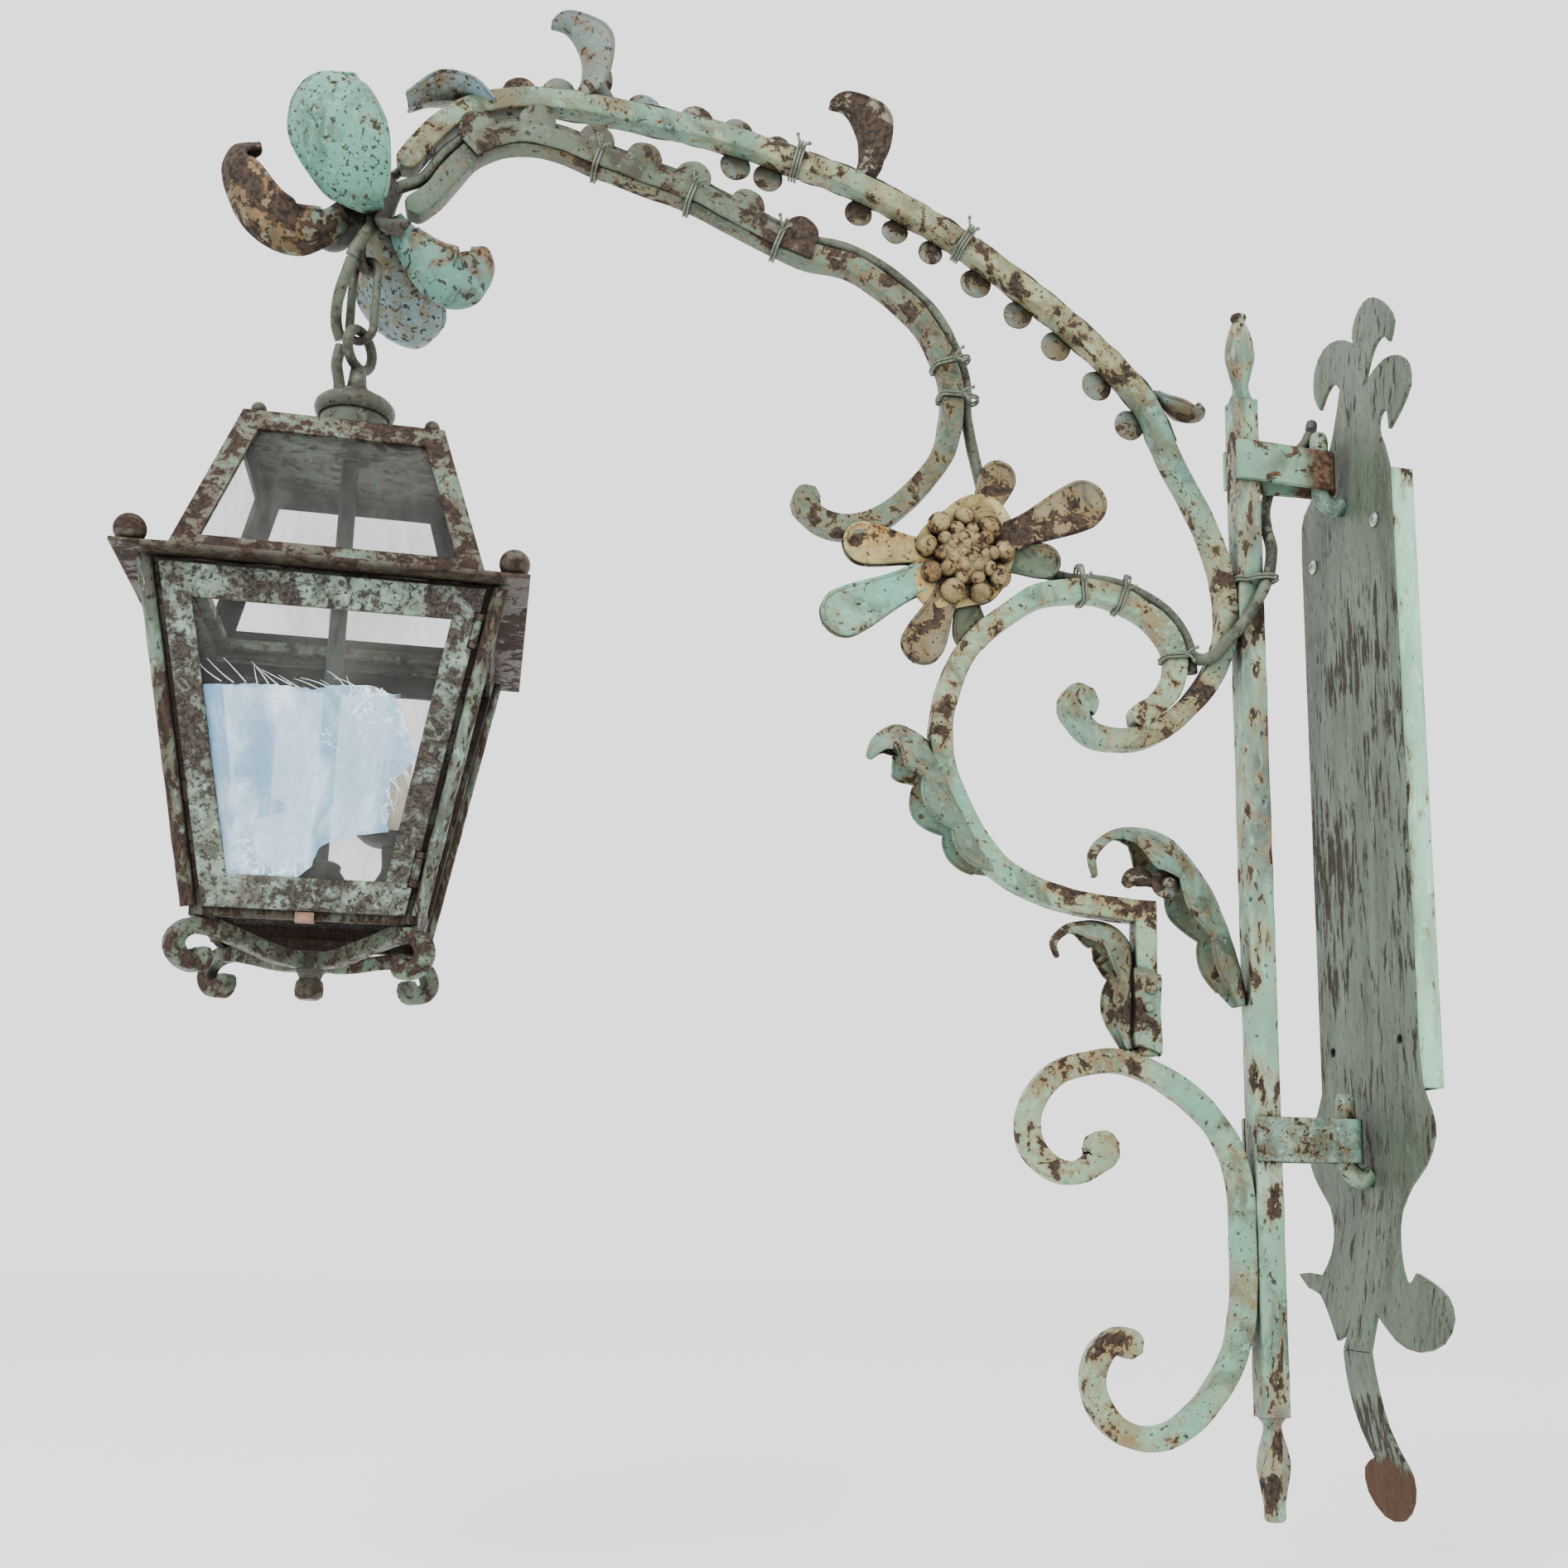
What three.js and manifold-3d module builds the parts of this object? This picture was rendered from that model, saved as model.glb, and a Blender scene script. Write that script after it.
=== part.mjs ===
import * as THREE from 'three';
import { mergeVertices } from 'three/addons/utils/BufferGeometryUtils.js';
import Module from 'manifold-3d';

const wasm = await Module();
wasm.setup();

// Frame: millimetres, +Z up. The wall is the plane y = 0 and the arm reaches out along -Y.
// The origin is the middle of the wall channel's back face.

// Driving dimensions of the whole lantern
const reach = 650;               // pintle-side post axis to the lantern's own axis
const postStandoff = 104;        // wall to the post axis
const armSpan = 900;             // height that the scrollwork is laid out in
const seat = 0.3;                // gap left between pieces that rest on each other
const overrun = 4;               // how far a cutter runs past what it cuts

// Wall channel, back plate and their screws
const channelWidth = 136;
const channelDepth = 19;
const channelLength = 456;
const channelWall = 2;
const channelLip = 28;
const blockWidth = 34;
const blockDepth = 12;
const blockHeight = 26;
const terminalHeight = 120;
const wallHoleDiameter = 7;
const wallHoleSpacing = 300;
const plateWidth = 142;
const plateThickness = 3;
const screwPitchAcross = 100;
const screwPitchHigh = 386;
const screwShank = 5;
const screwHead = 11;
const screwHeadHeight = 2.6;
const screwLength = 14;
const screwClearance = 1;
const upperLean = 4;             // degrees that the plate's upper leaves lean towards the wall
const lowerLean = 9;             // degrees that its lower end leans away from the wall
const tongueReturn = 18;         // degrees that its tongue turns back again
const upperFold = 242;           // height of the upper fold line above the plate's middle
const lowerFold = 305;           // depth of the lower fold line below it
const tongueFold = 408;
const foldLap = 0.4;

// Hook pintles and the straps that hang on them
const pintleStandoff = 40;       // wall to the swing axis
const pintleDiameter = 14;
const pintleClearance = 0.5;
const pintleRise = 34;           // pin above the middle of its strap
const pintleDrop = 24;           // bend below the middle of its strap
const pintleSteps = 6;
const pintleSides = 12;
const strapHeight = 31;
const strapThickness = 4;
const upperStrapHeight = 248;
const lowerStrapHeight = -262;

// Square bars
const postBar = 20;
const armBar = 16;
const scrollDepth = 16;
const mainBlob = 14;
const lowerBlob = 10.5;
const scrollBlob = 12;
const innerBlob = 10;
const barStepLength = 13;
const snubStep = 0.8;
const snubFlat = 1.2;
const depthKeepShare = 0.55;

// Turned ends of the post
const postTop = 300;
const postBottom = -450;
const topFinialHeight = 74;
const bottomFinialHeight = 68;
const finialRadius = 11.5;
const finialWaist = 6.5;
const turnedSides = 14;

// Rosette of two welded sheets and a cluster of berries
const rosetteSheet = 2.5;
const rosetteGap = 6;
const rosetteRadius = 48;         // unit of the lobes' lengths
const rosetteDisc = 36;
const berryInner = 6;
const berryOuter = 9.5;
const berryCore = 8;
const berryInnerRing = 14;
const berryOuterRing = 29;
const berrySides = 7;

// Sheet-metal flower that the hook hangs in
const flowerHeight = 362;        // height of the throat
const flowerTilt = 20;           // degrees that the outer petal is tipped up
const throatRadius = 17;
const petalSheet = 2.4;
const petalLength = 100;
const petalWidth = 62;
const petalRoot = 0.72;          // petal's root from the flower's axis, as a share of the throat's radius
const heartSheet = 2.4;

// Sheet leaves and garlands on the bars
const leafSheet = 2;
const leafWidth = 36;
const scrollLeafLength = 100;
const postLeafLength = 120;
const postLeafHeight = -167;
const cornerLeafLength = 98;
const cornerLeafRise = 60;
const garlandSheet = 2;
const garlandLobe = 11;
const garlandLeafLength = 58;
const garlandLeafWidth = 38;
const calyxLength = 58;
const calyxWidth = 40;
const calyxLap = 22;              // how far the calyx leaf runs back along the arm

// Supply cable
const cableDiameter = 9;
const cableSides = 8;
const cableStep = 15;
const cableGap = 1.2;

// Hook, link and ring
const hookBar = 7;
const hookRadius = 8;
const linkRod = 6;
const linkLength = 66;
const linkWidth = 25;
const ringRod = 7;
const ringWidth = 36;
const ringHeight = 34;
const chainTurn = -30;           // degrees that the link is turned about its own length
const hookAxisHeight = 318;

// Lantern body
const corniceOverhang = 18;
const corniceTop = 63;
const corniceThickness = 3;
const bodyTopHalf = 103;
const bodyBottomHalf = 66;
const bodyHeight = 204;
const faceBar = 17;
const faceSheet = 3;
const cornerRod = 9;
const glassThickness = 2.4;
const glassMargin = 6;
const doorSheet = 4;
const doorRail = 20;
const doorStile = 16;
const doorPin = 3;
const railDepth = 5;
const doorBarrel = 2.6;
const hingeGap = 0.6;
const barrelLength = 13;
const lugLength = 4;
const paneClearance = 1;
const catchSheet = 1.4;
const catchWidth = 11;

// Lantern roof
const roofInset = 9;
const roofTopHalf = 62;
const roofHeight = 115;
const roofBar = 15;
const roofSheet = 3;
const roofSill = 7;
const cornerBall = 9.5;
const topBall = 4.8;
const ballSides = 10;
const capRadius = 20;
const capRoll = 6.5;
const neckRadius = 22;
const neckHeight = 28;

// Foot of the lantern
const footBar = 10;
const footSnub = 7.5;
const finialDrop = 18;
const finialNut = 9;

// Light fitting inside
const stemDiameter = 11;
const hubHeight = -112;
const hubRadius = 17;
const hubDrop = 10;
const hubRise = 12;
const stemNut = 8;
const armRodRadius = 4.5;
const candleTurn = -137;
const candleOffset = 55;
const bobecheHeight = -78;
const bobecheRadius = 21;
const bobecheSheet = 2;
const sleeveRadius = 11.5;
const sleeveHeight = 56;
const sleeveWall = 1.2;
const bulbRadius = 8.5;
const bulbHeight = 23;

// Derived places
const plateBack = -channelDepth - seat;
const plateFront = -(channelDepth + plateThickness);
const postY = -postStandoff;
const postFront = postY - postBar / 2;
const lanternY = postY - reach;
const bodyTop = corniceTop - corniceThickness;
const corniceHalf = bodyTopHalf + corniceOverhang;
const roofBaseHalf = bodyTopHalf - roofInset;
const bodyBottom = bodyTop - bodyHeight;
const channelTop = channelLength / 2;

const colours = {
  greenPaint: 0x9fc4ae,
  greyGreen: 0x7f9384,
  verdigris: 0x86c2b0,
  rust: 0x5d4334,
  iron: 0x55534c,
  zinc: 0xb9bcc0,
  cable: 0x6f7a63,
  black: 0x1d1d1d,
  glass: 0xdfe9ee,
  copper: 0xb98563,
  ivory: 0xe8e2cc,
  ceramic: 0xd8d2c2,
};

function material(colour, roughness = 0.7, metalness = 0.3) {
  return new THREE.MeshStandardMaterial({ color: colour, roughness, metalness });
}

const group = new THREE.Group();
const wallParts = new THREE.Group();
const bracketParts = new THREE.Group();
const linkParts = new THREE.Group();
const lanternParts = new THREE.Group();
lanternParts.position.set(0, lanternY, 0);
group.add(wallParts, bracketParts, linkParts, lanternParts);

function addPiece(parent, name, geometry, colour, roughness, metalness) {
  const mesh = new THREE.Mesh(geometry, material(colour, roughness, metalness));
  mesh.name = name;
  parent.add(mesh);
  return mesh;
}

// Solids: three.js shapes in, three.js geometry out
function toSolid(geometry) {
  const bare = new THREE.BufferGeometry();
  bare.setAttribute('position', geometry.getAttribute('position').clone());
  if (geometry.index) bare.setIndex(geometry.index.clone());
  const merged = outward(mergeVertices(bare, 1e-4));
  const mesh = new wasm.Mesh({
    numProp: 3,
    vertProperties: new Float32Array(merged.getAttribute('position').array),
    triVerts: new Uint32Array(merged.index.array),
  });
  return new wasm.Manifold(mesh);
}

function fromSolid(solid) {
  const mesh = solid.getMesh();
  const geometry = new THREE.BufferGeometry();
  geometry.setAttribute('position', new THREE.BufferAttribute(new Float32Array(mesh.vertProperties), 3));
  geometry.setIndex(new THREE.BufferAttribute(new Uint32Array(mesh.triVerts), 1));
  return geometry;
}

function unite(geometries) {
  let solid = toSolid(geometries[0]);
  for (const geometry of geometries.slice(1)) solid = solid.add(toSolid(geometry));
  return fromSolid(solid);
}

function cutAway(geometry, cutters) {
  let solid = toSolid(geometry);
  for (const cutter of cutters) solid = solid.subtract(toSolid(cutter));
  return fromSolid(solid);
}

// A turned body about Z from [radius, height] pairs that run up the outside
function turned(profile, sides = turnedSides) {
  const points = profile.map(([radius, height]) => new THREE.Vector2(radius, height));
  return new THREE.LatheGeometry(points, sides).rotateX(Math.PI / 2);
}

function rod(from, to, radius, sides = 12) {
  const length = from.distanceTo(to);
  const shape = new THREE.CylinderGeometry(radius, radius, length, sides);
  const turn = new THREE.Quaternion().setFromUnitVectors(
    new THREE.Vector3(0, 1, 0),
    to.clone().sub(from).normalize(),
  );
  const middle = from.clone().add(to).multiplyScalar(0.5);
  return shape.applyQuaternion(turn).translate(middle.x, middle.y, middle.z);
}

function ball(radius, x, y, z, sides = ballSides) {
  return new THREE.SphereGeometry(radius, sides, Math.ceil(sides * 0.6)).rotateX(Math.PI / 2).translate(x, y, z);
}

function block(width, depth, height, x, y, z) {
  return new THREE.BoxGeometry(width, depth, height).translate(x, y, z);
}

function smooth(points, closed = false) {
  return new THREE.CatmullRomCurve3(points, closed, 'centripetal');
}

// A closed skin over rings of points that all have the same count
function skinRings(rings) {
  const count = rings[0].length;
  const positions = rings.flat().flatMap((point) => [point.x, point.y, point.z]);
  const index = [];
  for (let r = 0; r < rings.length - 1; r += 1) {
    for (let i = 0; i < count; i += 1) {
      const a = r * count + i;
      const b = r * count + ((i + 1) % count);
      const c = a + count;
      const d = b + count;
      index.push(a, b, d, a, d, c);
    }
  }
  const last = (rings.length - 1) * count;
  for (let i = 1; i < count - 1; i += 1) {
    index.push(0, i + 1, i);
    index.push(last, last + i, last + i + 1);
  }
  const geometry = new THREE.BufferGeometry();
  geometry.setAttribute('position', new THREE.Float32BufferAttribute(positions, 3));
  geometry.setIndex(index);
  return outward(geometry);
}

// Turns every face round when the skin was wound inside out
function outward(geometry) {
  const position = geometry.getAttribute('position');
  const index = geometry.index.array;
  const corner = [new THREE.Vector3(), new THREE.Vector3(), new THREE.Vector3()];
  let volume = 0;
  for (let i = 0; i < index.length; i += 3) {
    corner.forEach((point, k) => point.fromBufferAttribute(position, index[i + k]));
    volume += corner[0].dot(corner[1].clone().cross(corner[2]));
  }
  if (volume < 0) {
    for (let i = 0; i < index.length; i += 3) {
      const held = index[i + 1];
      index[i + 1] = index[i + 2];
      index[i + 2] = held;
    }
  }
  return geometry;
}

// A point of the bracket's plane from shares of the reach and of the layout height
function layout([acrossShare, heightShare]) {
  return new THREE.Vector3(0, postY - acrossShare * reach, heightShare * armSpan);
}

// Half thickness of a bar near an end: a round snub end of the given radius
function endHalf(distance, snub, half) {
  if (snub <= 0) return half;
  if (distance < snub) return Math.sqrt(Math.max(0, snub * snub - (snub - distance) ** 2));
  const fade = Math.min(1, (distance - snub) / (snub * 1.2));
  const ease = fade * fade * (3 - 2 * fade);
  return snub + (half - snub) * ease;
}

// A forged bar of rectangular section along a curve that lies in the bracket's plane
function forgedBar(curve, { width = armBar, depth = scrollDepth, startSnub = 0, endSnub = 0, taper = null } = {}) {
  const length = curve.getLength();
  const steps = Math.ceil(length / barStepLength);
  const distances = [];
  for (let i = 0; i <= steps; i += 1) distances.push((i / steps) * length);
  const extra = (snub, flip) => {
    if (snub <= 0) return;
    for (const share of [0.06, 0.3, 0.7, 1.2]) distances.push(flip ? length - snub * share : snub * share);
  };
  extra(startSnub, false);
  extra(endSnub, true);
  const sorted = distances.sort((a, b) => a - b);
  const spaced = sorted.filter((value, i) => i === 0 || value - sorted[i - 1] > snubStep);
  const rings = spaced.map((distance) => {
    const t = distance / length;
    const point = curve.getPointAt(t);
    const tangent = curve.getTangentAt(t);
    const side = new THREE.Vector3(0, -tangent.z, tangent.y).normalize();
    const atStart = endHalf(distance, startSnub, width / 2);
    const atEnd = endHalf(length - distance, endSnub, width / 2);
    let half = distance < length / 2 ? atStart : atEnd;
    if (taper) half *= taper(t);
    half = Math.max(half, snubFlat);
    const halfDepth = taper ? (depth / 2) * Math.max(taper(t), depthKeepShare) : depth / 2;
    return [[-1, -1], [-1, 1], [1, 1], [1, -1]].map(([inPlane, across]) =>
      point.clone().addScaledVector(side, inPlane * half).add(new THREE.Vector3(across * halfDepth, 0, 0)));
  });
  return skinRings(rings);
}

// A closed sheet: place(u, v) gives a point for u and v from 0 to 1
function sheet(place, across, along, thickness) {
  const grid = [];
  for (let j = 0; j <= along; j += 1) {
    for (let i = 0; i <= across; i += 1) grid.push(place(i / across, j / along));
  }
  const width = across + 1;
  const at = (i, j) => grid[j * width + i];
  const normals = grid.map((point, k) => {
    const i = k % width;
    const j = Math.floor(k / width);
    const du = at(Math.min(i + 1, across), j).clone().sub(at(Math.max(i - 1, 0), j));
    const dv = at(i, Math.min(j + 1, along)).clone().sub(at(i, Math.max(j - 1, 0)));
    return du.cross(dv).normalize();
  });
  const positions = [];
  const put = (point) => positions.push(point.x, point.y, point.z);
  grid.forEach((point, k) => put(point.clone().addScaledVector(normals[k], thickness / 2)));
  grid.forEach((point, k) => put(point.clone().addScaledVector(normals[k], -thickness / 2)));
  const under = grid.length;
  const index = [];
  for (let j = 0; j < along; j += 1) {
    for (let i = 0; i < across; i += 1) {
      const a = j * width + i;
      const b = a + 1;
      const c = a + width;
      const d = c + 1;
      index.push(a, b, d, a, d, c);
      index.push(under + a, under + d, under + b, under + a, under + c, under + d);
    }
  }
  const rim = [];
  for (let i = 0; i < across; i += 1) rim.push(i);
  for (let j = 0; j < along; j += 1) rim.push(j * width + across);
  for (let i = across; i > 0; i -= 1) rim.push(along * width + i);
  for (let j = along; j > 0; j -= 1) rim.push(j * width);
  rim.forEach((a, k) => {
    const b = rim[(k + 1) % rim.length];
    index.push(a, under + a, under + b, a, under + b, b);
  });
  const geometry = new THREE.BufferGeometry();
  geometry.setAttribute('position', new THREE.Float32BufferAttribute(positions, 3));
  geometry.setIndex(index);
  return outward(geometry);
}

// Wall channel: a folded trough with two lips towards the room and two wall-screw holes
function wallChannel() {
  const half = channelWidth / 2;
  const inner = half - channelWall;
  const lipEnd = half - channelLip;
  const lipBack = channelDepth - channelWall;
  const profile = new THREE.Shape([
    [-half, 0], [half, 0], [half, channelDepth], [lipEnd, channelDepth], [lipEnd, lipBack],
    [inner, lipBack], [inner, channelWall], [-inner, channelWall], [-inner, lipBack],
    [-lipEnd, lipBack], [-lipEnd, channelDepth], [-half, channelDepth],
  ].map(([x, y]) => new THREE.Vector2(x, y)));
  const trough = new THREE.ExtrudeGeometry(profile, { depth: channelLength, bevelEnabled: false });
  trough.rotateX(Math.PI).translate(0, 0, channelLength / 2);
  const holes = [];
  for (const side of [-1, 1]) {
    holes.push(drill(wallHoleDiameter, 0, -channelWall / 2, side * wallHoleSpacing / 2, channelWall));
    for (const end of [-1, 1]) {
      const place = channelWall / 2 - channelDepth;
      holes.push(drill(screwHole, side * screwPitchAcross / 2, place, end * screwPitchHigh / 2, channelWall));
    }
  }
  return cutAway(trough, holes);
}
const screwHole = screwShank + 2 * screwClearance;

// A cutter for a round hole through a wall of the given thickness, along Y
function drill(diameter, x, y, z, through) {
  const shape = new THREE.CylinderGeometry(diameter / 2, diameter / 2, through + 2 * overrun, 16);
  return shape.translate(x, y, z);
}

// Outline of the back plate, as shares of the plate's width from its own middle.
// The upper end is three leaves that lean to +X, the lower end two hooked lobes and a tongue.
const upperLeafShares = [
  ['line', [-0.5, -0.30]],
  ['curve', [-0.49, 0.04], [-0.40, 0.14], [-0.28, 0.22], [-0.18, 0.33], [-0.11, 0.47], [-0.05, 0.69]],
  ['curve', [-0.13, 0.77], [-0.22, 0.75], [-0.29, 0.68]],
  ['curve', [-0.37, 0.80], [-0.38, 0.96], [-0.27, 1.05], [-0.10, 1.02], [0.05, 0.93], [0.13, 0.84]],
  ['curve', [0.08, 0.94], [0.11, 1.04], [0.21, 1.09], [0.33, 1.05], [0.46, 0.93], [0.54, 0.80], [0.50, 0.70]],
  ['curve', [0.43, 0.77], [0.34, 0.76], [0.27, 0.67], [0.23, 0.57]],
  ['curve', [0.33, 0.61], [0.46, 0.62], [0.60, 0.57], [0.70, 0.47], [0.72, 0.34], [0.63, 0.25], [0.52, 0.19]],
  ['curve', [0.50, 0.29], [0.45, 0.33], [0.40, 0.29], [0.41, 0.21], [0.46, 0.12], [0.5, 0.0]],
];
const lowerLobeShares = [
  ['line', [0.5, 0.24]],
  ['curve', [0.52, 0.02], [0.60, -0.12], [0.62, -0.24], [0.53, -0.37], [0.38, -0.47], [0.29, -0.57],
    [0.28, -0.66]],
  ['curve', [0.30, -0.75], [0.35, -0.86], [0.43, -0.94], [0.50, -0.88]],
  ['curve', [0.64, -0.92], [0.78, -0.98], [0.85, -1.08], [0.78, -1.19], [0.58, -1.24], [0.37, -1.2],
    [0.15, -1.08]],
  ['curve', [0.12, -1.26], [0.12, -1.44], [0.16, -1.62], [0.25, -1.75]],
  ['curve', [0.31, -1.83], [0.28, -1.95], [0.15, -2.05], [-0.02, -2.05], [-0.15, -1.95], [-0.14, -1.83],
    [-0.02, -1.77]],
  ['curve', [-0.11, -1.64], [-0.16, -1.46], [-0.15, -1.28], [-0.09, -1.11]],
  ['curve', [-0.14, -1.19], [-0.22, -1.23]],
  ['curve', [-0.33, -1.12], [-0.46, -1.01], [-0.60, -0.98], [-0.73, -0.91]],
  ['curve', [-0.60, -0.90], [-0.46, -0.91]],
  ['curve', [-0.38, -0.80], [-0.38, -0.68], [-0.45, -0.56], [-0.56, -0.46], [-0.66, -0.34], [-0.66, -0.18],
    [-0.56, -0.06]],
  ['line', [-0.5, 0.04]],
  ['line', [-0.5, 0.24]],
];

// Runs straight and splined stretches, given in shares, into one outline
function outlineFrom(stretches, scale, baseX, baseY, path) {
  const place = ([x, y]) => new THREE.Vector2(baseX + x * scale, baseY + y * scale);
  for (const [kind, ...shares] of stretches) {
    const points = shares.map(place);
    if (kind === 'line') {
      points.forEach((point) => path.push(point));
    } else {
      const start = path[path.length - 1];
      const curve = new THREE.SplineCurve([start, ...points]);
      path.push(...curve.getPoints(points.length * 2).slice(1));
    }
  }
  return path;
}

function backPlate() {
  const path = [];
  outlineFrom(upperLeafShares, plateWidth, 0, channelTop, path);
  outlineFrom(lowerLobeShares, plateWidth, 0, -channelTop, path);
  const shape = new THREE.Shape(path);
  const flat = new THREE.ExtrudeGeometry(shape, { depth: plateThickness, bevelEnabled: false });
  flat.rotateX(Math.PI / 2).translate(0, plateBack, 0);
  const holes = [];
  for (const side of [-1, 1]) {
    for (const end of [-1, 1]) {
      const middle = plateBack - plateThickness / 2;
      holes.push(drill(screwHole, side * screwPitchAcross / 2, middle, end * screwPitchHigh / 2, plateThickness));
    }
  }
  const tongued = foldEnd(cutAway(flat, holes), -tongueFold, tongueReturn);
  return foldEnd(foldEnd(tongued, -lowerFold, -lowerLean), upperFold, -upperLean);
}

// Turns the plate beyond a fold line at the given height about that line
function foldEnd(plate, height, degrees) {
  const away = Math.sign(height);
  const half = (middle) => block(armSpan, armSpan, 2 * armSpan, 0, 0, middle);
  const rest = cutAway(plate, [half(height + away * armSpan)]);
  const end = cutAway(plate, [half(height - away * (armSpan + foldLap))]);
  end.translate(0, -plateBack, -height).rotateX(THREE.MathUtils.degToRad(degrees)).translate(0, plateBack, height);
  return unite([rest, end]);
}

// Pan-head screw along Y: head in front of the plate, shank through plate and lip
function plateScrew() {
  const headRound = [[0, 0], [screwHead / 2, 0], [screwHead / 2, screwHeadHeight * 0.45],
    [screwHead * 0.3, screwHeadHeight], [0, screwHeadHeight]];
  const head = turned(headRound, 14);
  const shank = turned([[0, -screwLength], [screwShank / 2, -screwLength], [screwShank / 2, seat], [0, seat]], 8);
  const slotWidth = screwHead * 0.12;
  const slotLength = screwHead * 0.55;
  const slotDepth = screwHeadHeight * 0.5;
  const slots = [0, 1].map((turn) => block(
    turn ? slotWidth : slotLength, turn ? slotLength : slotWidth, 2 * slotDepth, 0, 0, screwHeadHeight,
  ));
  return cutAway(unite([head, shank]), slots).rotateX(Math.PI / 2);
}

// Hook pintle: a forged bar riveted to the plate that turns up into the swing pin
function hookPintle() {
  const half = pintleDiameter / 2;
  const rootY = -channelDepth - plateThickness - 2 * seat;
  const bendZ = -pintleDrop;
  const run = -pintleStandoff - rootY;
  const path = smooth([
    new THREE.Vector3(0, rootY, bendZ),
    new THREE.Vector3(0, rootY + run * 0.45, bendZ - half * 0.3),
    new THREE.Vector3(0, -pintleStandoff, bendZ + half * 0.9),
    new THREE.Vector3(0, -pintleStandoff, -half),
  ]);
  const rings = [];
  for (let k = 0; k <= pintleSteps; k += 1) {
    const t = k / pintleSteps;
    const point = path.getPointAt(t);
    const tangent = path.getTangentAt(t);
    const up = new THREE.Vector3(0, -tangent.z, tangent.y);
    const ring = [];
    for (let i = 0; i < pintleSides; i += 1) {
      const angle = (i / pintleSides) * 2 * Math.PI;
      const round = half * (1 - 0.02 * k);
      ring.push(point.clone()
        .addScaledVector(new THREE.Vector3(1, 0, 0), Math.cos(angle) * round)
        .addScaledVector(up, Math.sin(angle) * round));
    }
    rings.push(ring);
  }
  const bend = skinRings(rings);
  const pin = turned([
    [0, -half - overrun], [half, -half - overrun], [half, pintleRise * 0.72],
    [half * 0.6, pintleRise], [0, pintleRise],
  ], pintleSides).translate(0, -pintleStandoff, 0);
  const behind = block(armBar * 2, armBar * 2, armBar * 2, 0, rootY + armBar, bendZ);
  return cutAway(unite([bend, pin]), [behind]);
}

// Strap: one flat bar bent round the pintle, its two legs along the sides of the post
function loopStrap() {
  const inner = pintleDiameter / 2 + pintleClearance;
  const outer = inner + strapThickness;
  const legInner = postBar / 2 + seat;
  const legOuter = legInner + strapThickness;
  const legEnd = postY - postBar / 2;
  const neckY = -pintleStandoff - outer * 1.1;
  const flareY = postY + postBar / 2 + strapThickness;
  const shape = new THREE.Shape();
  shape.moveTo(legOuter, legEnd);
  shape.lineTo(legOuter, flareY);
  shape.lineTo(outer, neckY);
  shape.lineTo(outer, -pintleStandoff);
  shape.absarc(0, -pintleStandoff, outer, 0, Math.PI, false);
  shape.lineTo(-outer, neckY);
  shape.lineTo(-legOuter, flareY);
  shape.lineTo(-legOuter, legEnd);
  shape.lineTo(-legInner, legEnd);
  shape.lineTo(-legInner, flareY);
  shape.lineTo(-inner, neckY);
  shape.lineTo(-inner, -pintleStandoff);
  shape.absarc(0, -pintleStandoff, inner, Math.PI, 0, true);
  shape.lineTo(inner, neckY);
  shape.lineTo(legInner, flareY);
  shape.lineTo(legInner, legEnd);
  shape.closePath();
  const strap = new THREE.ExtrudeGeometry(shape, { depth: strapHeight, bevelEnabled: false, curveSegments: 10 });
  return strap.translate(0, 0, -strapHeight / 2);
}

// Post: square bar with a turned finial at each end
function post() {
  const bar = block(postBar, postBar, postTop - postBottom, 0, 0, (postTop + postBottom) / 2);
  const upper = turned([
    [0, -overrun], [postBar * 0.48, -overrun], [postBar * 0.42, topFinialHeight * 0.06],
    [finialWaist * 0.95, topFinialHeight * 0.14], [finialWaist, topFinialHeight * 0.22],
    [finialRadius * 0.8, topFinialHeight * 0.38], [finialRadius, topFinialHeight * 0.5],
    [finialRadius * 0.97, topFinialHeight * 0.6], [finialRadius * 0.7, topFinialHeight * 0.8],
    [finialWaist * 0.72, topFinialHeight * 0.93], [finialWaist * 0.95, topFinialHeight * 0.95],
    [finialWaist * 0.9, topFinialHeight], [0, topFinialHeight],
  ]).translate(0, 0, postTop);
  const lower = turned([
    [0, -bottomFinialHeight], [finialWaist * 1.1, -bottomFinialHeight],
    [finialWaist * 1.15, -bottomFinialHeight * 0.86], [finialRadius * 0.8, -bottomFinialHeight * 0.68],
    [finialRadius, -bottomFinialHeight * 0.5], [finialRadius * 0.9, -bottomFinialHeight * 0.34],
    [finialWaist * 0.95, -bottomFinialHeight * 0.16], [finialWaist, -bottomFinialHeight * 0.06],
    [postBar * 0.46, 0], [postBar * 0.46, overrun], [0, overrun],
  ]).translate(0, 0, postBottom);
  return unite([bar, upper, lower]);
}

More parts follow.
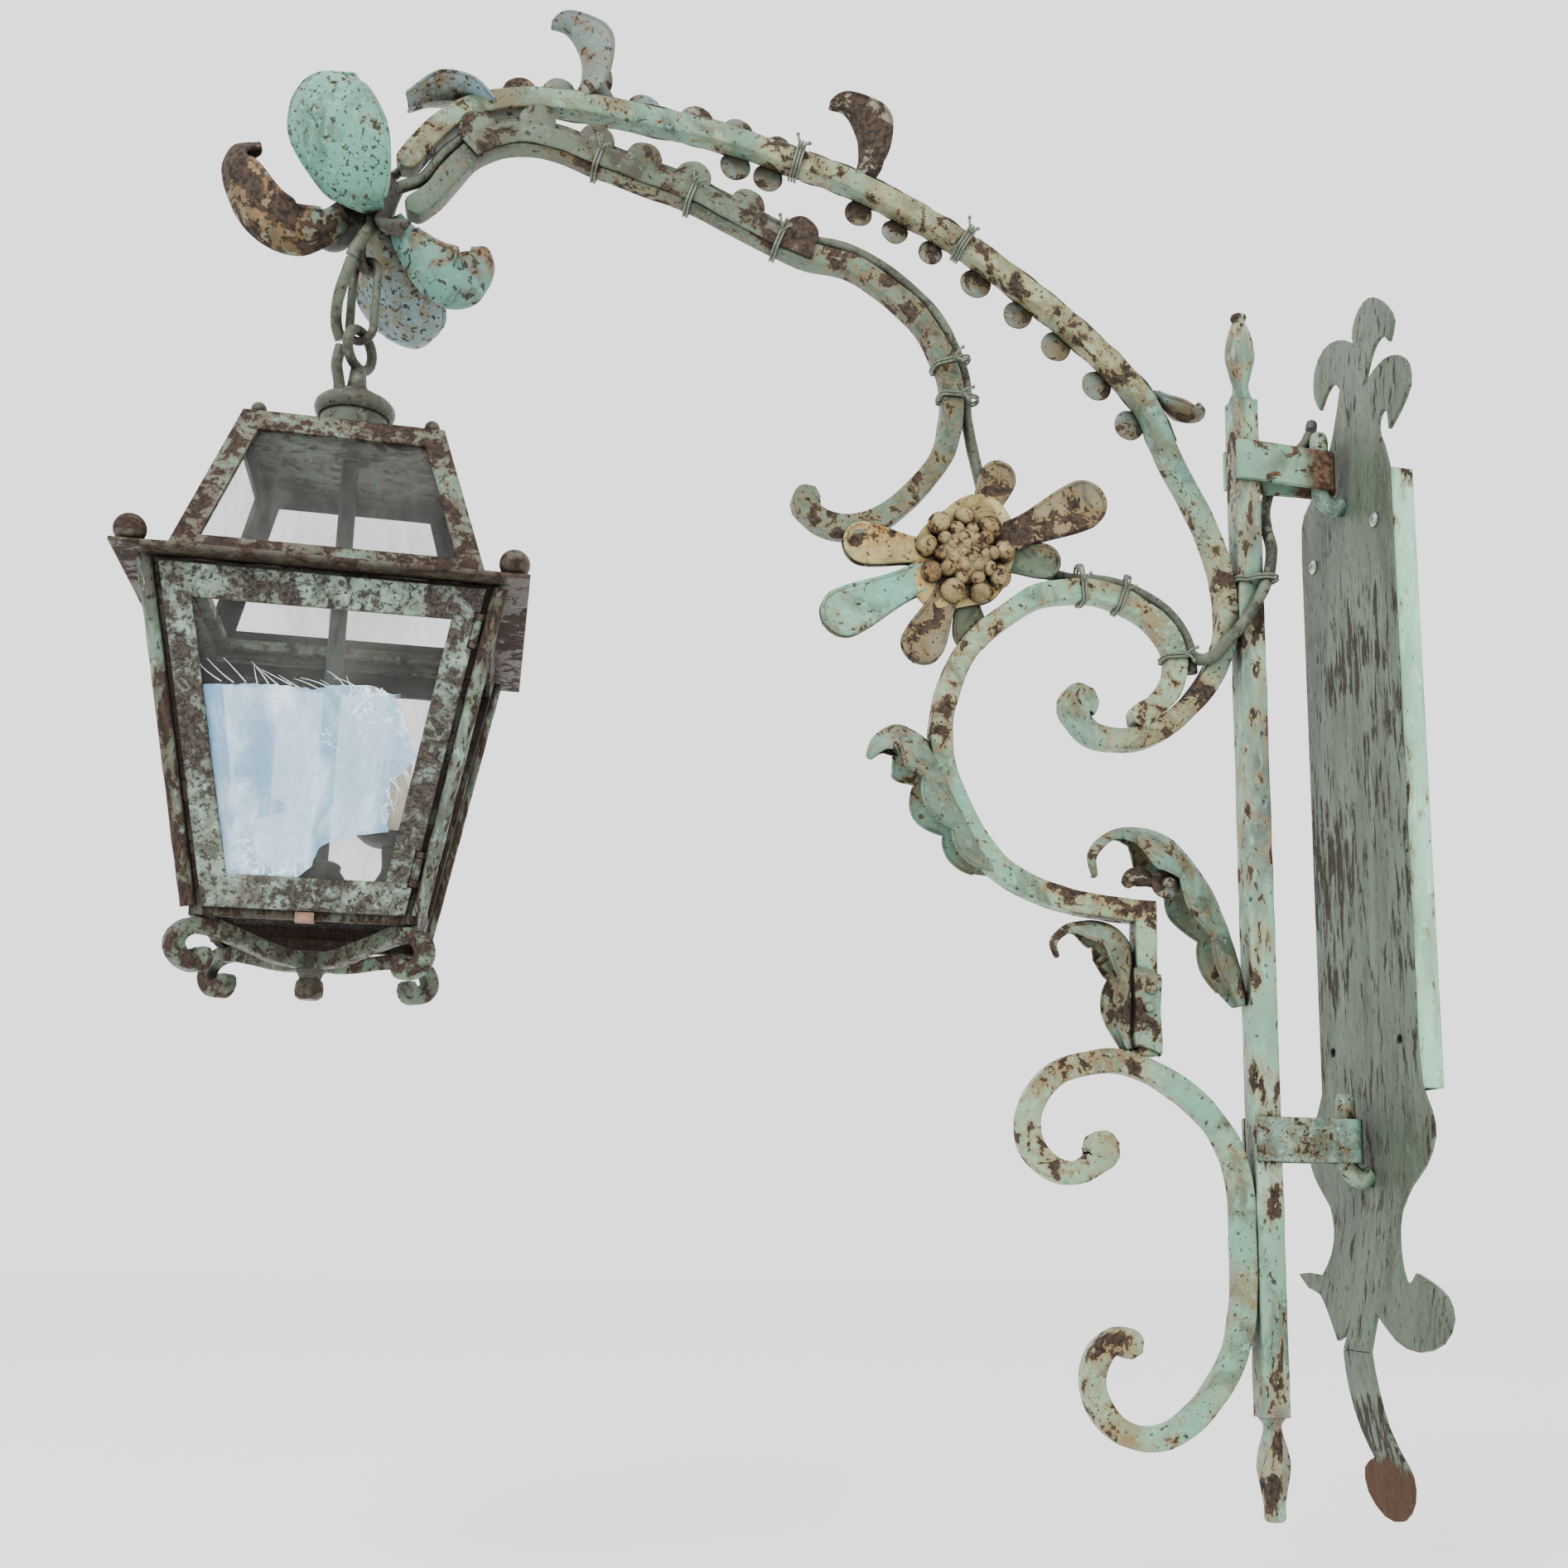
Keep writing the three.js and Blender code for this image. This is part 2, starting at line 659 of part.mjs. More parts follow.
addPiece(wallParts, 'wall_channel', wallChannel(), colours.greenPaint, 0.6, 0.2);
addPiece(wallParts, 'back_plate', backPlate(), colours.greyGreen, 0.65, 0.3);
for (const [name, side] of [['plate_screw_near', 1], ['plate_screw_far', -1]]) {
  const screw = addPiece(wallParts, name, plateScrew(), colours.zinc, 0.3, 0.9);
  screw.position.set(side * screwPitchAcross / 2, plateFront - 2 * seat, screwPitchHigh / 2);
}
for (const [name, height] of [['upper_pintle', upperStrapHeight], ['lower_pintle', lowerStrapHeight]]) {
  addPiece(wallParts, name, hookPintle(), colours.greenPaint, 0.7, 0.3).position.set(0, 0, height);
}
for (const [name, height] of [['upper_strap', upperStrapHeight], ['lower_strap', lowerStrapHeight]]) {
  addPiece(bracketParts, name, loopStrap(), colours.greenPaint, 0.7, 0.3).position.set(0, 0, height);
}
addPiece(bracketParts, 'post', post(), colours.greenPaint, 0.65, 0.3).position.set(0, postY, 0);

// Scrollwork centrelines, as shares of the reach outward and of the layout height upward
const mainArmShares = [
  [0.192, 0.064], [0.212, 0.047], [0.195, 0.029], [0.160, 0.025], [0.124, 0.031], [0.088, 0.050], [0.057, 0.075],
  [0.038, 0.100], [0.0280, 0.124], [0.0280, 0.152], [0.034, 0.180], [0.050, 0.214], [0.068, 0.240],
  [0.092, 0.272], [0.121, 0.320], [0.160, 0.351], [0.224, 0.389], [0.288, 0.421], [0.352, 0.449],
  [0.414, 0.471], [0.477, 0.488], [0.540, 0.499], [0.615, 0.511], [0.675, 0.516], [0.735, 0.519],
  [0.796, 0.521], [0.850, 0.517], [0.895, 0.506], [0.925, 0.490], [0.948, 0.470], [0.972, 0.442],
];
const lowerArmShares = [
  [0.512, 0.212], [0.521, 0.200], [0.508, 0.188], [0.486, 0.183], [0.463, 0.185], [0.434, 0.195], [0.408, 0.212],
  [0.385, 0.232], [0.365, 0.256], [0.356, 0.289], [0.357, 0.318], [0.371, 0.346], [0.397, 0.374], [0.436, 0.396],
  [0.474, 0.411], [0.528, 0.416], [0.562, 0.424], [0.613, 0.439], [0.659, 0.453], [0.713, 0.463], [0.764, 0.472],
  [0.804, 0.481], [0.838, 0.483], [0.875, 0.476], [0.900, 0.463], [0.920, 0.443], [0.936, 0.424], [0.962, 0.405],
];
const middleScrollShares = [
  [0.145, 0.040], [0.126, 0.0505], [0.100, 0.070], [0.091, 0.090], [0.095, 0.109], [0.112, 0.126], [0.135, 0.137],
  [0.160, 0.145], [0.194, 0.149], [0.228, 0.146], [0.257, 0.140], [0.288, 0.124], [0.317, 0.106], [0.337, 0.089],
  [0.351, 0.069], [0.362, 0.043], [0.366, 0.023], [0.365, 0.002], [0.358, -0.018], [0.345, -0.040],
  [0.328, -0.062], [0.303, -0.084], [0.268, -0.099], [0.222, -0.109], [0.175, -0.1135], [0.135, -0.1155],
];
const lowerScrollShares = [
  [0.200, -0.292], [0.186, -0.303], [0.205, -0.317], [0.226, -0.320], [0.249, -0.313], [0.265, -0.299],
  [0.268, -0.279], [0.257, -0.260], [0.235, -0.244], [0.203, -0.2365], [0.171, -0.2335], [0.138, -0.239],
  [0.106, -0.250], [0.074, -0.267], [0.048, -0.289], [0.035, -0.310], [0.0280, -0.337], [0.0280, -0.369],
  [0.0280, -0.401], [0.032, -0.429], [0.043, -0.457], [0.066, -0.483], [0.092, -0.502], [0.120, -0.513],
  [0.148, -0.514], [0.175, -0.506], [0.195, -0.487], [0.199, -0.468], [0.188, -0.450], [0.169, -0.443],
  [0.148, -0.452],
];

function scrollCurve(shares) {
  return smooth(shares.map(layout));
}

const mainArmCurve = scrollCurve(mainArmShares);
const lowerArmCurve = scrollCurve(lowerArmShares);
const middleScrollCurve = scrollCurve(middleScrollShares);
const lowerScrollCurve = scrollCurve(lowerScrollShares);

// The flower's own frame: its throat, tipped so that its outer petal rides high
function placeInFlower(geometry) {
  return geometry.rotateX(-THREE.MathUtils.degToRad(flowerTilt)).translate(0, lanternY, flowerHeight);
}

// A copy of a bar that is a little fuller, to cut its seat out of a neighbour
function barSeat(curve, options = {}) {
  return forgedBar(curve, { ...options, width: armBar + 2 * seat, depth: scrollDepth + 2 * overrun });
}

// Turns an outline drawn in (y, z) and extruded into the bracket's plane, middle at x = 0
function standUp(geometry, depth) {
  geometry.translate(0, 0, -depth / 2);
  const matrix = new THREE.Matrix4().set(0, 0, 1, 0, 1, 0, 0, 0, 0, 1, 0, 0, 0, 0, 0, 1);
  return geometry.applyMatrix4(matrix);
}

// Everything from the lower scroll's upper arch down, which the strut stands on
function scrollTopCutter() {
  const arch = lowerScrollCurve.getSpacedPoints(archSamples)
    .filter((point) => point.z > lowerStrapHeight);
  const outline = arch.map((point) => new THREE.Vector2(point.y, point.z + armBar / 2 + seat));
  const floor = lowerStrapHeight - armBar;
  const shape = new THREE.Shape([
    ...outline,
    new THREE.Vector2(outline[outline.length - 1].x, floor),
    new THREE.Vector2(outline[0].x, floor),
  ]);
  const depth = scrollDepth + 2 * overrun;
  return standUp(new THREE.ExtrudeGeometry(shape, { depth, bevelEnabled: false }), depth);
}
const archSamples = 60;

const postSeat = block(postBar + 2 * seat, postBar + 2 * seat, armSpan, 0, postY, 0);
const mainSeat = barSeat(mainArmCurve, { startSnub: mainBlob + seat });
const lowerSeat = barSeat(lowerArmCurve, { startSnub: lowerBlob + seat });
const middleSeat = barSeat(middleScrollCurve, { startSnub: innerBlob + seat });

// Middle scroll: from the main arm's curl over and round to a forged corner, then the strut down
function middleScroll() {
  const end = middleScrollCurve.getPointAt(1);
  const strutTop = end.z + armBar / 2;
  const strut = block(
    scrollDepth, armBar, strutTop - lowerStrapHeight, 0, end.y, (strutTop + lowerStrapHeight) / 2,
  );
  const bar = unite([forgedBar(middleScrollCurve, { startSnub: innerBlob }), strut]);
  return cutAway(bar, [mainSeat, scrollTopCutter(), barSeat(lowerScrollCurve)]);
}

// Bell at the heart of the flower, as [radius, height] down its outside, and the room that the bars leave for it
const bellTop = throatRadius * 1.5;
const bellMouth = -throatRadius * 0.35;
const bellOutside = [
  [throatRadius * 0.75, bellTop], [throatRadius * 0.78, bellTop * 0.6], [throatRadius * 0.86, bellTop * 0.25],
  [throatRadius, bellMouth],
];
const bellSeat = turned([
  [0, bellMouth], ...bellOutside.slice().reverse().map(([radius, height]) => [radius + seat, height]),
  [throatRadius * 0.75 + seat, bellTop * 2], [0, bellTop * 2],
]);
placeInFlower(bellSeat);

const lowerArm = cutAway(forgedBar(lowerArmCurve, { startSnub: lowerBlob }), [mainSeat, bellSeat]);
const lowerScroll = cutAway(
  forgedBar(lowerScrollCurve, { startSnub: scrollBlob, endSnub: innerBlob }),
  [postSeat],
);
addPiece(bracketParts, 'lower_arm', lowerArm, colours.verdigris);
addPiece(bracketParts, 'middle_scroll', middleScroll(), colours.greenPaint);
addPiece(bracketParts, 'lower_scroll', lowerScroll, colours.greenPaint);

// Rosette lobes as [angle in degrees from the outward direction, length share, end share] of its radius
const rosetteFrontLobes = [[151, 2.5, 0.35], [-30, 2.45, 0.34], [2, 1.85, 0.3], [-66, 1.85, 0.3]];
const rosetteBackLobes = [
  [151, 2.5, 0.35], [-30, 2.45, 0.34], [2, 1.85, 0.3], [-66, 1.85, 0.3], [112, 1.72, 0.26],
  [176, 1.52, 0.26], [-96, 1.46, 0.26],
];
const rosetteShares = [0.3415, 0.1665];

// One sheet of the rosette: a round middle with tongues that swell to round ends
function rosetteSheetAt(lobes, x) {
  const middle = layout(rosetteShares);
  const disc = new THREE.CylinderGeometry(rosetteDisc, rosetteDisc, rosetteSheet, 20).rotateZ(Math.PI / 2);
  const pieces = [disc];
  for (const [degrees, lengthShare, endShare] of lobes) {
    const length = rosetteRadius * lengthShare;
    const end = rosetteRadius * endShare;
    const waist = end * 0.62;
    const points = [
      new THREE.Vector2(0, -waist),
      new THREE.Vector2(length * 0.55, -waist),
      new THREE.Vector2(length - end * 1.2, -end * 0.9),
    ];
    for (let k = 0; k <= 6; k += 1) {
      const angle = -Math.PI / 2 + (k / 6) * Math.PI;
      points.push(new THREE.Vector2(length - end + end * Math.cos(angle), end * Math.sin(angle)));
    }
    points.push(new THREE.Vector2(length - end * 1.2, end * 0.9));
    points.push(new THREE.Vector2(length * 0.55, waist));
    points.push(new THREE.Vector2(0, waist));
    const lobe = new THREE.ExtrudeGeometry(new THREE.Shape(points), { depth: rosetteSheet, bevelEnabled: false });
    lobe.rotateZ(Math.PI - THREE.MathUtils.degToRad(degrees));
    pieces.push(standUp(lobe, rosetteSheet));
  }
  const whole = unite(pieces).translate(x, middle.y, middle.z);
  return cutAway(whole, [lowerSeat, middleSeat]);
}

// Cluster of pressed berries on a small disc
function rosetteBerries() {
  const disc = new THREE.CylinderGeometry(berryOuterRing, berryOuterRing, rosetteSheet, 16).rotateZ(Math.PI / 2);
  const pieces = [disc];
  const ring = (count, radius, size, lift, phase) => {
    for (let k = 0; k < count; k += 1) {
      const angle = (k / count) * 2 * Math.PI + phase;
      pieces.push(ball(size, lift, radius * Math.cos(angle), radius * Math.sin(angle), berrySides));
    }
  };
  ring(berryOuterCount, berryOuterRing, berryOuter, 0, 0.2);
  ring(berryInnerCount, berryInnerRing, berryInner, berryInner, 0);
  pieces.push(ball(berryCore, berryCore, 0, 0, berrySides));
  const middle = layout(rosetteShares);
  const base = rosetteSheet / 2 + seat;
  const room = 4 * rosetteRadius;
  const behind = block(4 * berryOuter, room, room, -2 * berryOuter - rosetteSheet / 2, 0, 0);
  const cluster = cutAway(unite(pieces), [behind]);
  return cluster.translate(rosetteFrontX + rosetteSheet / 2 + base, middle.y, middle.z);
}
const berryOuterCount = 9;
const berryInnerCount = 8;
const rosetteFrontX = scrollDepth / 2 - rosetteSheet;
const rosetteBackX = rosetteFrontX - rosetteGap;

// A flower petal or leaf: a cupped sheet along a keel drawn as [out, up] shares of its length
function cuppedLeaf(keelShares, { length, width, cup, thickness, base = 0.3, tip = 0.16, peak = 0.5, along = 11 }) {
  const keel = new THREE.SplineCurve(
    keelShares.map(([outShare, upShare]) => new THREE.Vector2(outShare * length, upShare * length)),
  );
  return sheet((u, v) => {
    const point = keel.getPointAt(v);
    const tangent = keel.getTangentAt(v);
    const quarter = v < peak ? v / peak : 1 + (v - peak) / (1 - peak);
    const rise = Math.sin(quarter * Math.PI / 2);
    const low = v < peak ? base : tip;
    const half = (width / 2) * (low + (1 - low) * rise);
    const turn = (u * 2 - 1);
    const lift = cup * half * turn * turn;
    return new THREE.Vector3(half * turn, point.x - tangent.y * lift, point.y + tangent.x * lift);
  }, 4, along, thickness);
}

// Petals of the flower: [name, keel, turn about the axis, width share, cup, tip share]
const leftKeelShares = [
  [0, 0.02], [0.08, -0.2], [0.30, -0.36], [0.50, -0.34], [0.68, -0.22], [0.80, 0], [0.86, 0.20],
  [0.80, 0.36], [0.65, 0.41],
];
const rightKeelShares = [
  [0, -0.05], [0.10, -0.30], [0.26, -0.52], [0.45, -0.62], [0.60, -0.58], [0.69, -0.44], [0.72, -0.27],
  [0.67, -0.16], [0.58, -0.17],
];
const nearKeelShares = [
  [0, -0.08], [0.15, -0.10], [0.32, 0.02], [0.45, 0.20], [0.52, 0.40], [0.54, 0.56], [0.50, 0.66],
];
const farKeelShares = [
  [0, -0.05], [0.15, -0.25], [0.33, -0.42], [0.52, -0.52], [0.70, -0.56], [0.84, -0.5], [0.9, -0.4],
];
const petals = [
  ['petal_left', leftKeelShares, 180, 0.8, 1.1, 0.16],
  ['petal_right', rightKeelShares, 0, 0.84, 1.1, 0.16],
  ['petal_near', nearKeelShares, -110, 1.08, 0.4, 0.5],
  ['petal_far', farKeelShares, 70, 1, 0.5, 0.2],
];
for (const [name, keelShares, degrees, widthShare, cup, tip] of petals) {
  const petal = cuppedLeaf(keelShares, {
    length: petalLength, width: petalWidth * widthShare, cup, tip, thickness: petalSheet,
  });
  petal.translate(0, throatRadius * petalRoot, 0).rotateZ(THREE.MathUtils.degToRad(degrees));
  petal.translate(0, lanternY, flowerHeight);
  addPiece(bracketParts, name, cutAway(petal, [bellSeat, lowerSeat]), colours.verdigris);
}

// Heart of the flower: an open bell with small petals between the large ones
function flowerHeart() {
  const profile = [
    ...bellOutside.map(([radius, height]) => new THREE.Vector2(radius - heartSheet, height)),
    ...bellOutside.slice().reverse().map(([radius, height]) => new THREE.Vector2(radius, height)),
  ];
  profile.push(profile[0].clone());
  const bell = outward(indexed(new THREE.LatheGeometry(profile, turnedSides).rotateX(Math.PI / 2)));
  const small = smallPetalDegrees.map((degrees) => cuppedLeaf(smallKeelShares, {
    length: petalLength * 0.42, width: petalWidth * 0.26, cup: 0.5, thickness: heartSheet, base: 0.5, along: 4,
  }).translate(0, throatRadius - heartSheet * 0.6, bellMouth + heartSheet * 0.6)
    .rotateZ(THREE.MathUtils.degToRad(degrees)));
  return cutAway(placeInFlower(unite([bell, ...small])), [cable(armCableCurve, 3 * seat)]);
}

// Cable's run on the bracket: down behind the strap, across the post, round the middle scroll,
// behind the rosette, up the lower arm and into the bell
function throughPoints(points) {
  return smooth(points.map(([x, y, z]) => new THREE.Vector3(x, y, z)));
}
const cableOff = armBar / 2 + cableDiameter / 2 + cableGap;
function besideBar(curve, from, to, count, across) {
  const points = [];
  for (let k = 0; k < count; k += 1) {
    const t = from + ((to - from) * k) / (count - 1);
    const point = curve.getPointAt(t).addScaledVector(barSide(curve, t), cableOff);
    points.push([across[Math.min(k, across.length - 1)] * cableDiameter, point.y, point.z]);
  }
  return points;
}
// Route points as [x, y, z] in cable diameters from a place that the cable passes
function routeFrom(x, y, z, steps) {
  return steps.map(([across, out, up]) => [
    x + across * cableDiameter, y + out * cableDiameter, z + up * cableDiameter,
  ]);
}
const besidePost = postBar / 2 + cableDiameter / 2 + cableGap;
const crossingHeight = armSpan * 0.1;
const armCableCurve = throughPoints([
  ...routeFrom(0, -pintleStandoff, upperStrapHeight, [
    [-0.89, -0.31, 4.11], [-1.06, -0.72, 3.28], [-1.72, -1.56, 2.28], [-2.22, -3.33, -0.22],
    [-1.89, -4.33, -2.89], [-0.44, -4.89, -5.33], [1, -5.22, -7.89],
  ]),
  ...routeFrom(besidePost, postY, crossingHeight, [
    [0, 1, 6.67], [0, -0.67, 3.56], [-0.03, -2.44, 1.33], [-0.12, -3.78, -0.17], [-0.74, -4.83, -0.44],
    [-1.63, -5.17, 0.22],
  ]),
  ...besideBar(middleScrollCurve, 0.105, 0.30, 7, [0, 0, 0, -0.11, -0.44, -0.94, -1]),
  ...[[-0.28, 0.1755], [-0.3015, 0.2022]].map(([out, up]) => [-cableDiameter, postY + out * reach, up * armSpan]),
  ...besideBar(lowerArmCurve, 0.27, 0.955, 20, [-0.78, -0.56, -0.22, 0]),
  ...routeFrom(0, lanternY, flowerHeight, [
    [0.44, 1.67, 2], [0.76, 0.78, 0.56], [0.85, 0.3, -0.67], [1.28, 0.33, -1.67], [1.72, -0.06, -2.78],
    [1.78, -0.67, -4], [1.66, -0.96, -4.76],
  ]),
]);

// The same geometry with its shared corners merged
function indexed(geometry) {
  const bare = new THREE.BufferGeometry();
  bare.setAttribute('position', geometry.getAttribute('position').clone());
  if (geometry.index) bare.setIndex(geometry.index.clone());
  return mergeVertices(bare, 1e-4);
}
const smallPetalDegrees = [125, 310];
const smallKeelShares = [[0, 0], [0.22, -0.3], [0.6, -0.4], [1, -0.28]];
addPiece(bracketParts, 'flower_heart', flowerHeart(), colours.iron);

// A strip beside or along a bar: offsets in the bracket's plane and across it, between two shares of the curve
function stripAlong(curve, from, to, inPlane, across) {
  const length = curve.getLength() * (to - from);
  const steps = Math.max(2, Math.ceil(length / (barStepLength * 1.4)));
  const rings = [];
  for (let k = 0; k <= steps; k += 1) {
    const t = from + ((to - from) * k) / steps;
    const point = curve.getPointAt(t);
    const side = barSide(curve, t);
    rings.push([[0, 0], [0, 1], [1, 1], [1, 0]].map(([a, b]) =>
      point.clone().addScaledVector(side, inPlane[a]).add(new THREE.Vector3(across[b], 0, 0))));
  }
  return skinRings(rings);
}

// Upward side of a bar that runs outward
function barSide(curve, t) {
  const tangent = curve.getTangentAt(t);
  return new THREE.Vector3(0, tangent.z, -tangent.y).normalize();
}

// Share of a curve's length that lies nearest to a given reach share
function shareAtReach(curve, reachShare, minHeight = -Infinity) {
  const wanted = postY - reachShare * reach;
  let best = 0;
  let bestGap = Infinity;
  for (let k = 0; k <= archSamples * 8; k += 1) {
    const point = curve.getPointAt(k / (archSamples * 8));
    const gap = Math.abs(point.y - wanted);
    if (point.z > minHeight && gap < bestGap) {
      best = k / (archSamples * 8);
      bestGap = gap;
    }
  }
  return best;
}

// Garland: a sheet strip behind or before a bar with round lobes, and for some a curled leaf at its end
function garland(curve, { from, to, lobes, side, fold, leaf = null }) {
  const half = armBar / 2;
  const near = side * (scrollDepth / 2 + seat);
  const far = near + side * garlandSheet;
  const across = [Math.min(near, far), Math.max(near, far)];
  const pieces = [stripAlong(curve, from, to, [-half * 0.8, half + seat + garlandSheet], across)];
  if (fold) {
    const top = [half + seat, half + seat + garlandSheet];
    const over = side > 0 ? [-half * 0.5, across[1]] : [across[0], half * 0.5];
    pieces.push(stripAlong(curve, from, to, top, over));
  }
  for (const [share, offsetShare, sizeShare] of lobes) {
    const t = from + (to - from) * share;
    const radius = garlandLobe * sizeShare;
    const point = curve.getPointAt(t).addScaledVector(barSide(curve, t), half * offsetShare);
    const disc = new THREE.CylinderGeometry(radius, radius, garlandSheet, 10).rotateZ(Math.PI / 2);
    pieces.push(disc.translate((across[0] + across[1]) / 2, point.y, point.z));
  }
  if (leaf) {
    const rise = half + seat + garlandSheet / 2;
    const point = curve.getPointAt(leaf.at).addScaledVector(barSide(curve, leaf.at), rise);
    const blade = cuppedLeaf(leaf.keelShares, { ...leaf, along: 6, thickness: garlandSheet });
    pieces.push(blade.rotateX(THREE.MathUtils.degToRad(leaf.turn)).translate(point.x, point.y, point.z));
  }
  return cutAway(unite(pieces), [snugSeat(curve), postSeat]);
}
const standingKeelShares = [
  [0, -0.06], [0.06, 0.2], [0.05, 0.45], [-0.03, 0.7], [-0.16, 0.86], [-0.33, 0.88],
];
const trailingKeelShares = [
  [0, 0], [0.3, 0.0], [0.62, 0.03], [0.85, 0.2], [0.86, 0.42], [0.7, 0.46],
];
const standingLeaf = {
  keelShares: standingKeelShares, length: garlandLeafLength, width: garlandLeafWidth, turn: 0, cup: -1.2,
};
const mainAt = (share) => shareAtReach(mainArmCurve, share, armSpan * 0.2);
const lowerAt = (share) => shareAtReach(lowerArmCurve, share, armSpan * 0.3);
addPiece(bracketParts, 'arm_garland_outer', garland(mainArmCurve, {
  from: mainAt(0.54), to: mainAt(0.868), side: -1, fold: true,
  lobes: [[0.08, -1.6, 0.95], [0.2, -1.6, 0.95], [0.36, 1.5, 0.9], [0.54, 1.4, 1], [0.08, 1.2, 0.8],
    [0.22, 1.4, 0.9], [0.7, 1.5, 0.9], [0.82, 1.5, 0.9], [0.94, 1.4, 0.9]],
  leaf: { ...standingLeaf, at: mainAt(0.79) },
}), colours.greyGreen);
addPiece(bracketParts, 'arm_garland_middle', garland(mainArmCurve, {
  from: mainAt(0.345), to: mainAt(0.53), side: -1, fold: true,
  lobes: [[0.14, -1.7, 0.8], [0.38, -1.7, 0.85], [0.62, -1.7, 0.9]],
  leaf: { ...standingLeaf, at: mainAt(0.478) },
}), colours.greyGreen);
addPiece(bracketParts, 'arm_garland_inner', garland(mainArmCurve, {
  from: mainAt(0.1), to: mainAt(0.335), side: -1, fold: true,
  lobes: [[0.13, -1.8, 1], [0.34, -1.8, 1], [0.55, -1.7, 1], [0.73, -1.7, 0.95], [0.92, -1.7, 1], [0.2, 1.1, 0.8]],
  leaf: {
    at: mainAt(0.125), keelShares: trailingKeelShares, turn: -38, cup: 0.5,
    length: garlandLeafLength * 0.8, width: garlandLeafWidth * 0.7,
  },
}), colours.greyGreen);
addPiece(bracketParts, 'lower_garland', garland(lowerArmCurve, {
  from: lowerAt(0.52), to: lowerAt(0.9), side: 1, fold: false,
  lobes: [[0.05, 1.5, 1.1], [0.22, 1.5, 1.1], [0.38, 1.5, 1.1], [0.52, 1.5, 1.1], [0.66, 1.5, 1.1],
    [0.81, 1.5, 1.1], [0.95, 1.5, 1.1]],
}), colours.greyGreen);

// Leaf that stands on the outer end of the main arm
const calyxKeelShares = [[0, 0], [0.3, 0.16], [0.62, 0.24], [1, 0.14]];
function calyxLeaf() {
  const at = mainAt(0.925);
  const rise = armBar / 2 + seat + leafSheet;
  const point = mainArmCurve.getPointAt(at).addScaledVector(barSide(mainArmCurve, at), rise);
  const blade = cuppedLeaf(calyxKeelShares, {
    length: calyxLength, width: calyxWidth, cup: 0.35, thickness: leafSheet, base: 0.5, tip: 0.5, along: 6,
  });
  return cutAway(blade.translate(point.x, point.y - calyxLap, point.z), [snugSeat(mainArmCurve)]);
}
addPiece(bracketParts, 'calyx_leaf', calyxLeaf(), colours.verdigris);

// Acanthus leaf: a cupped blade with scalloped edges whose end curls free
function acanthus(keelShares, { length, width, cup, lobes, along = 16, at }) {
  const keel = new THREE.SplineCurve(
    keelShares.map(([outShare, upShare]) => new THREE.Vector2(outShare * length, upShare * length)),
  );
  const blade = sheet((u, v) => {
    const point = keel.getPointAt(v);
    const tangent = keel.getTangentAt(v);
    const scallop = 0.78 + 0.22 * Math.abs(Math.sin(v * lobes * Math.PI));
    const narrowing = v > 0.72 ? 1 - (v - 0.72) / 0.28 * 0.84 : 1;
    const taper = Math.sin(Math.min(1, v * 1.6 + 0.3) * Math.PI / 2) * narrowing;
    const half = (width / 2) * scallop * taper;
    const side = u * 2 - 1;
    const lift = cup * half * side * side;
    return new THREE.Vector3(half * side, -(point.x - tangent.y * lift), point.y + tangent.x * lift);
  }, 4, along, leafSheet);
  return blade.translate(at.x, at.y, at.z);
}

// Hook, link and ring share one turned frame about the lantern's axis
const chainAngle = THREE.MathUtils.degToRad(chainTurn);
const linkAcross = new THREE.Vector3(-Math.sin(chainAngle), Math.cos(chainAngle), 0);
const linkNormal = new THREE.Vector3(Math.cos(chainAngle), Math.sin(chainAngle), 0);
const linkTop = hookAxisHeight + (hookBar + linkRod) / 2 + seat;
const linkBottom = linkTop - (linkLength - linkRod);
const ringTop = linkBottom + (linkRod + ringRod) / 2 + seat;
const ringMiddle = ringTop - (ringHeight - ringRod) / 2;
const chainPoint = (across, normal, height) => new THREE.Vector3(0, lanternY, height)
  .addScaledVector(linkAcross, across).addScaledVector(linkNormal, normal);

function circleSection(radius, sides) {
  const points = [];
  for (let k = 0; k < sides; k += 1) {
    const angle = (k / sides) * 2 * Math.PI;
    points.push(new THREE.Vector2(radius * Math.cos(angle), radius * Math.sin(angle)));
  }
  return new THREE.Shape(points);
}

function tubeAlong(curve, diameter, sides, steps) {
  return new THREE.ExtrudeGeometry(circleSection(diameter / 2, sides), {
    steps, bevelEnabled: false, extrudePath: curve,
  });
}

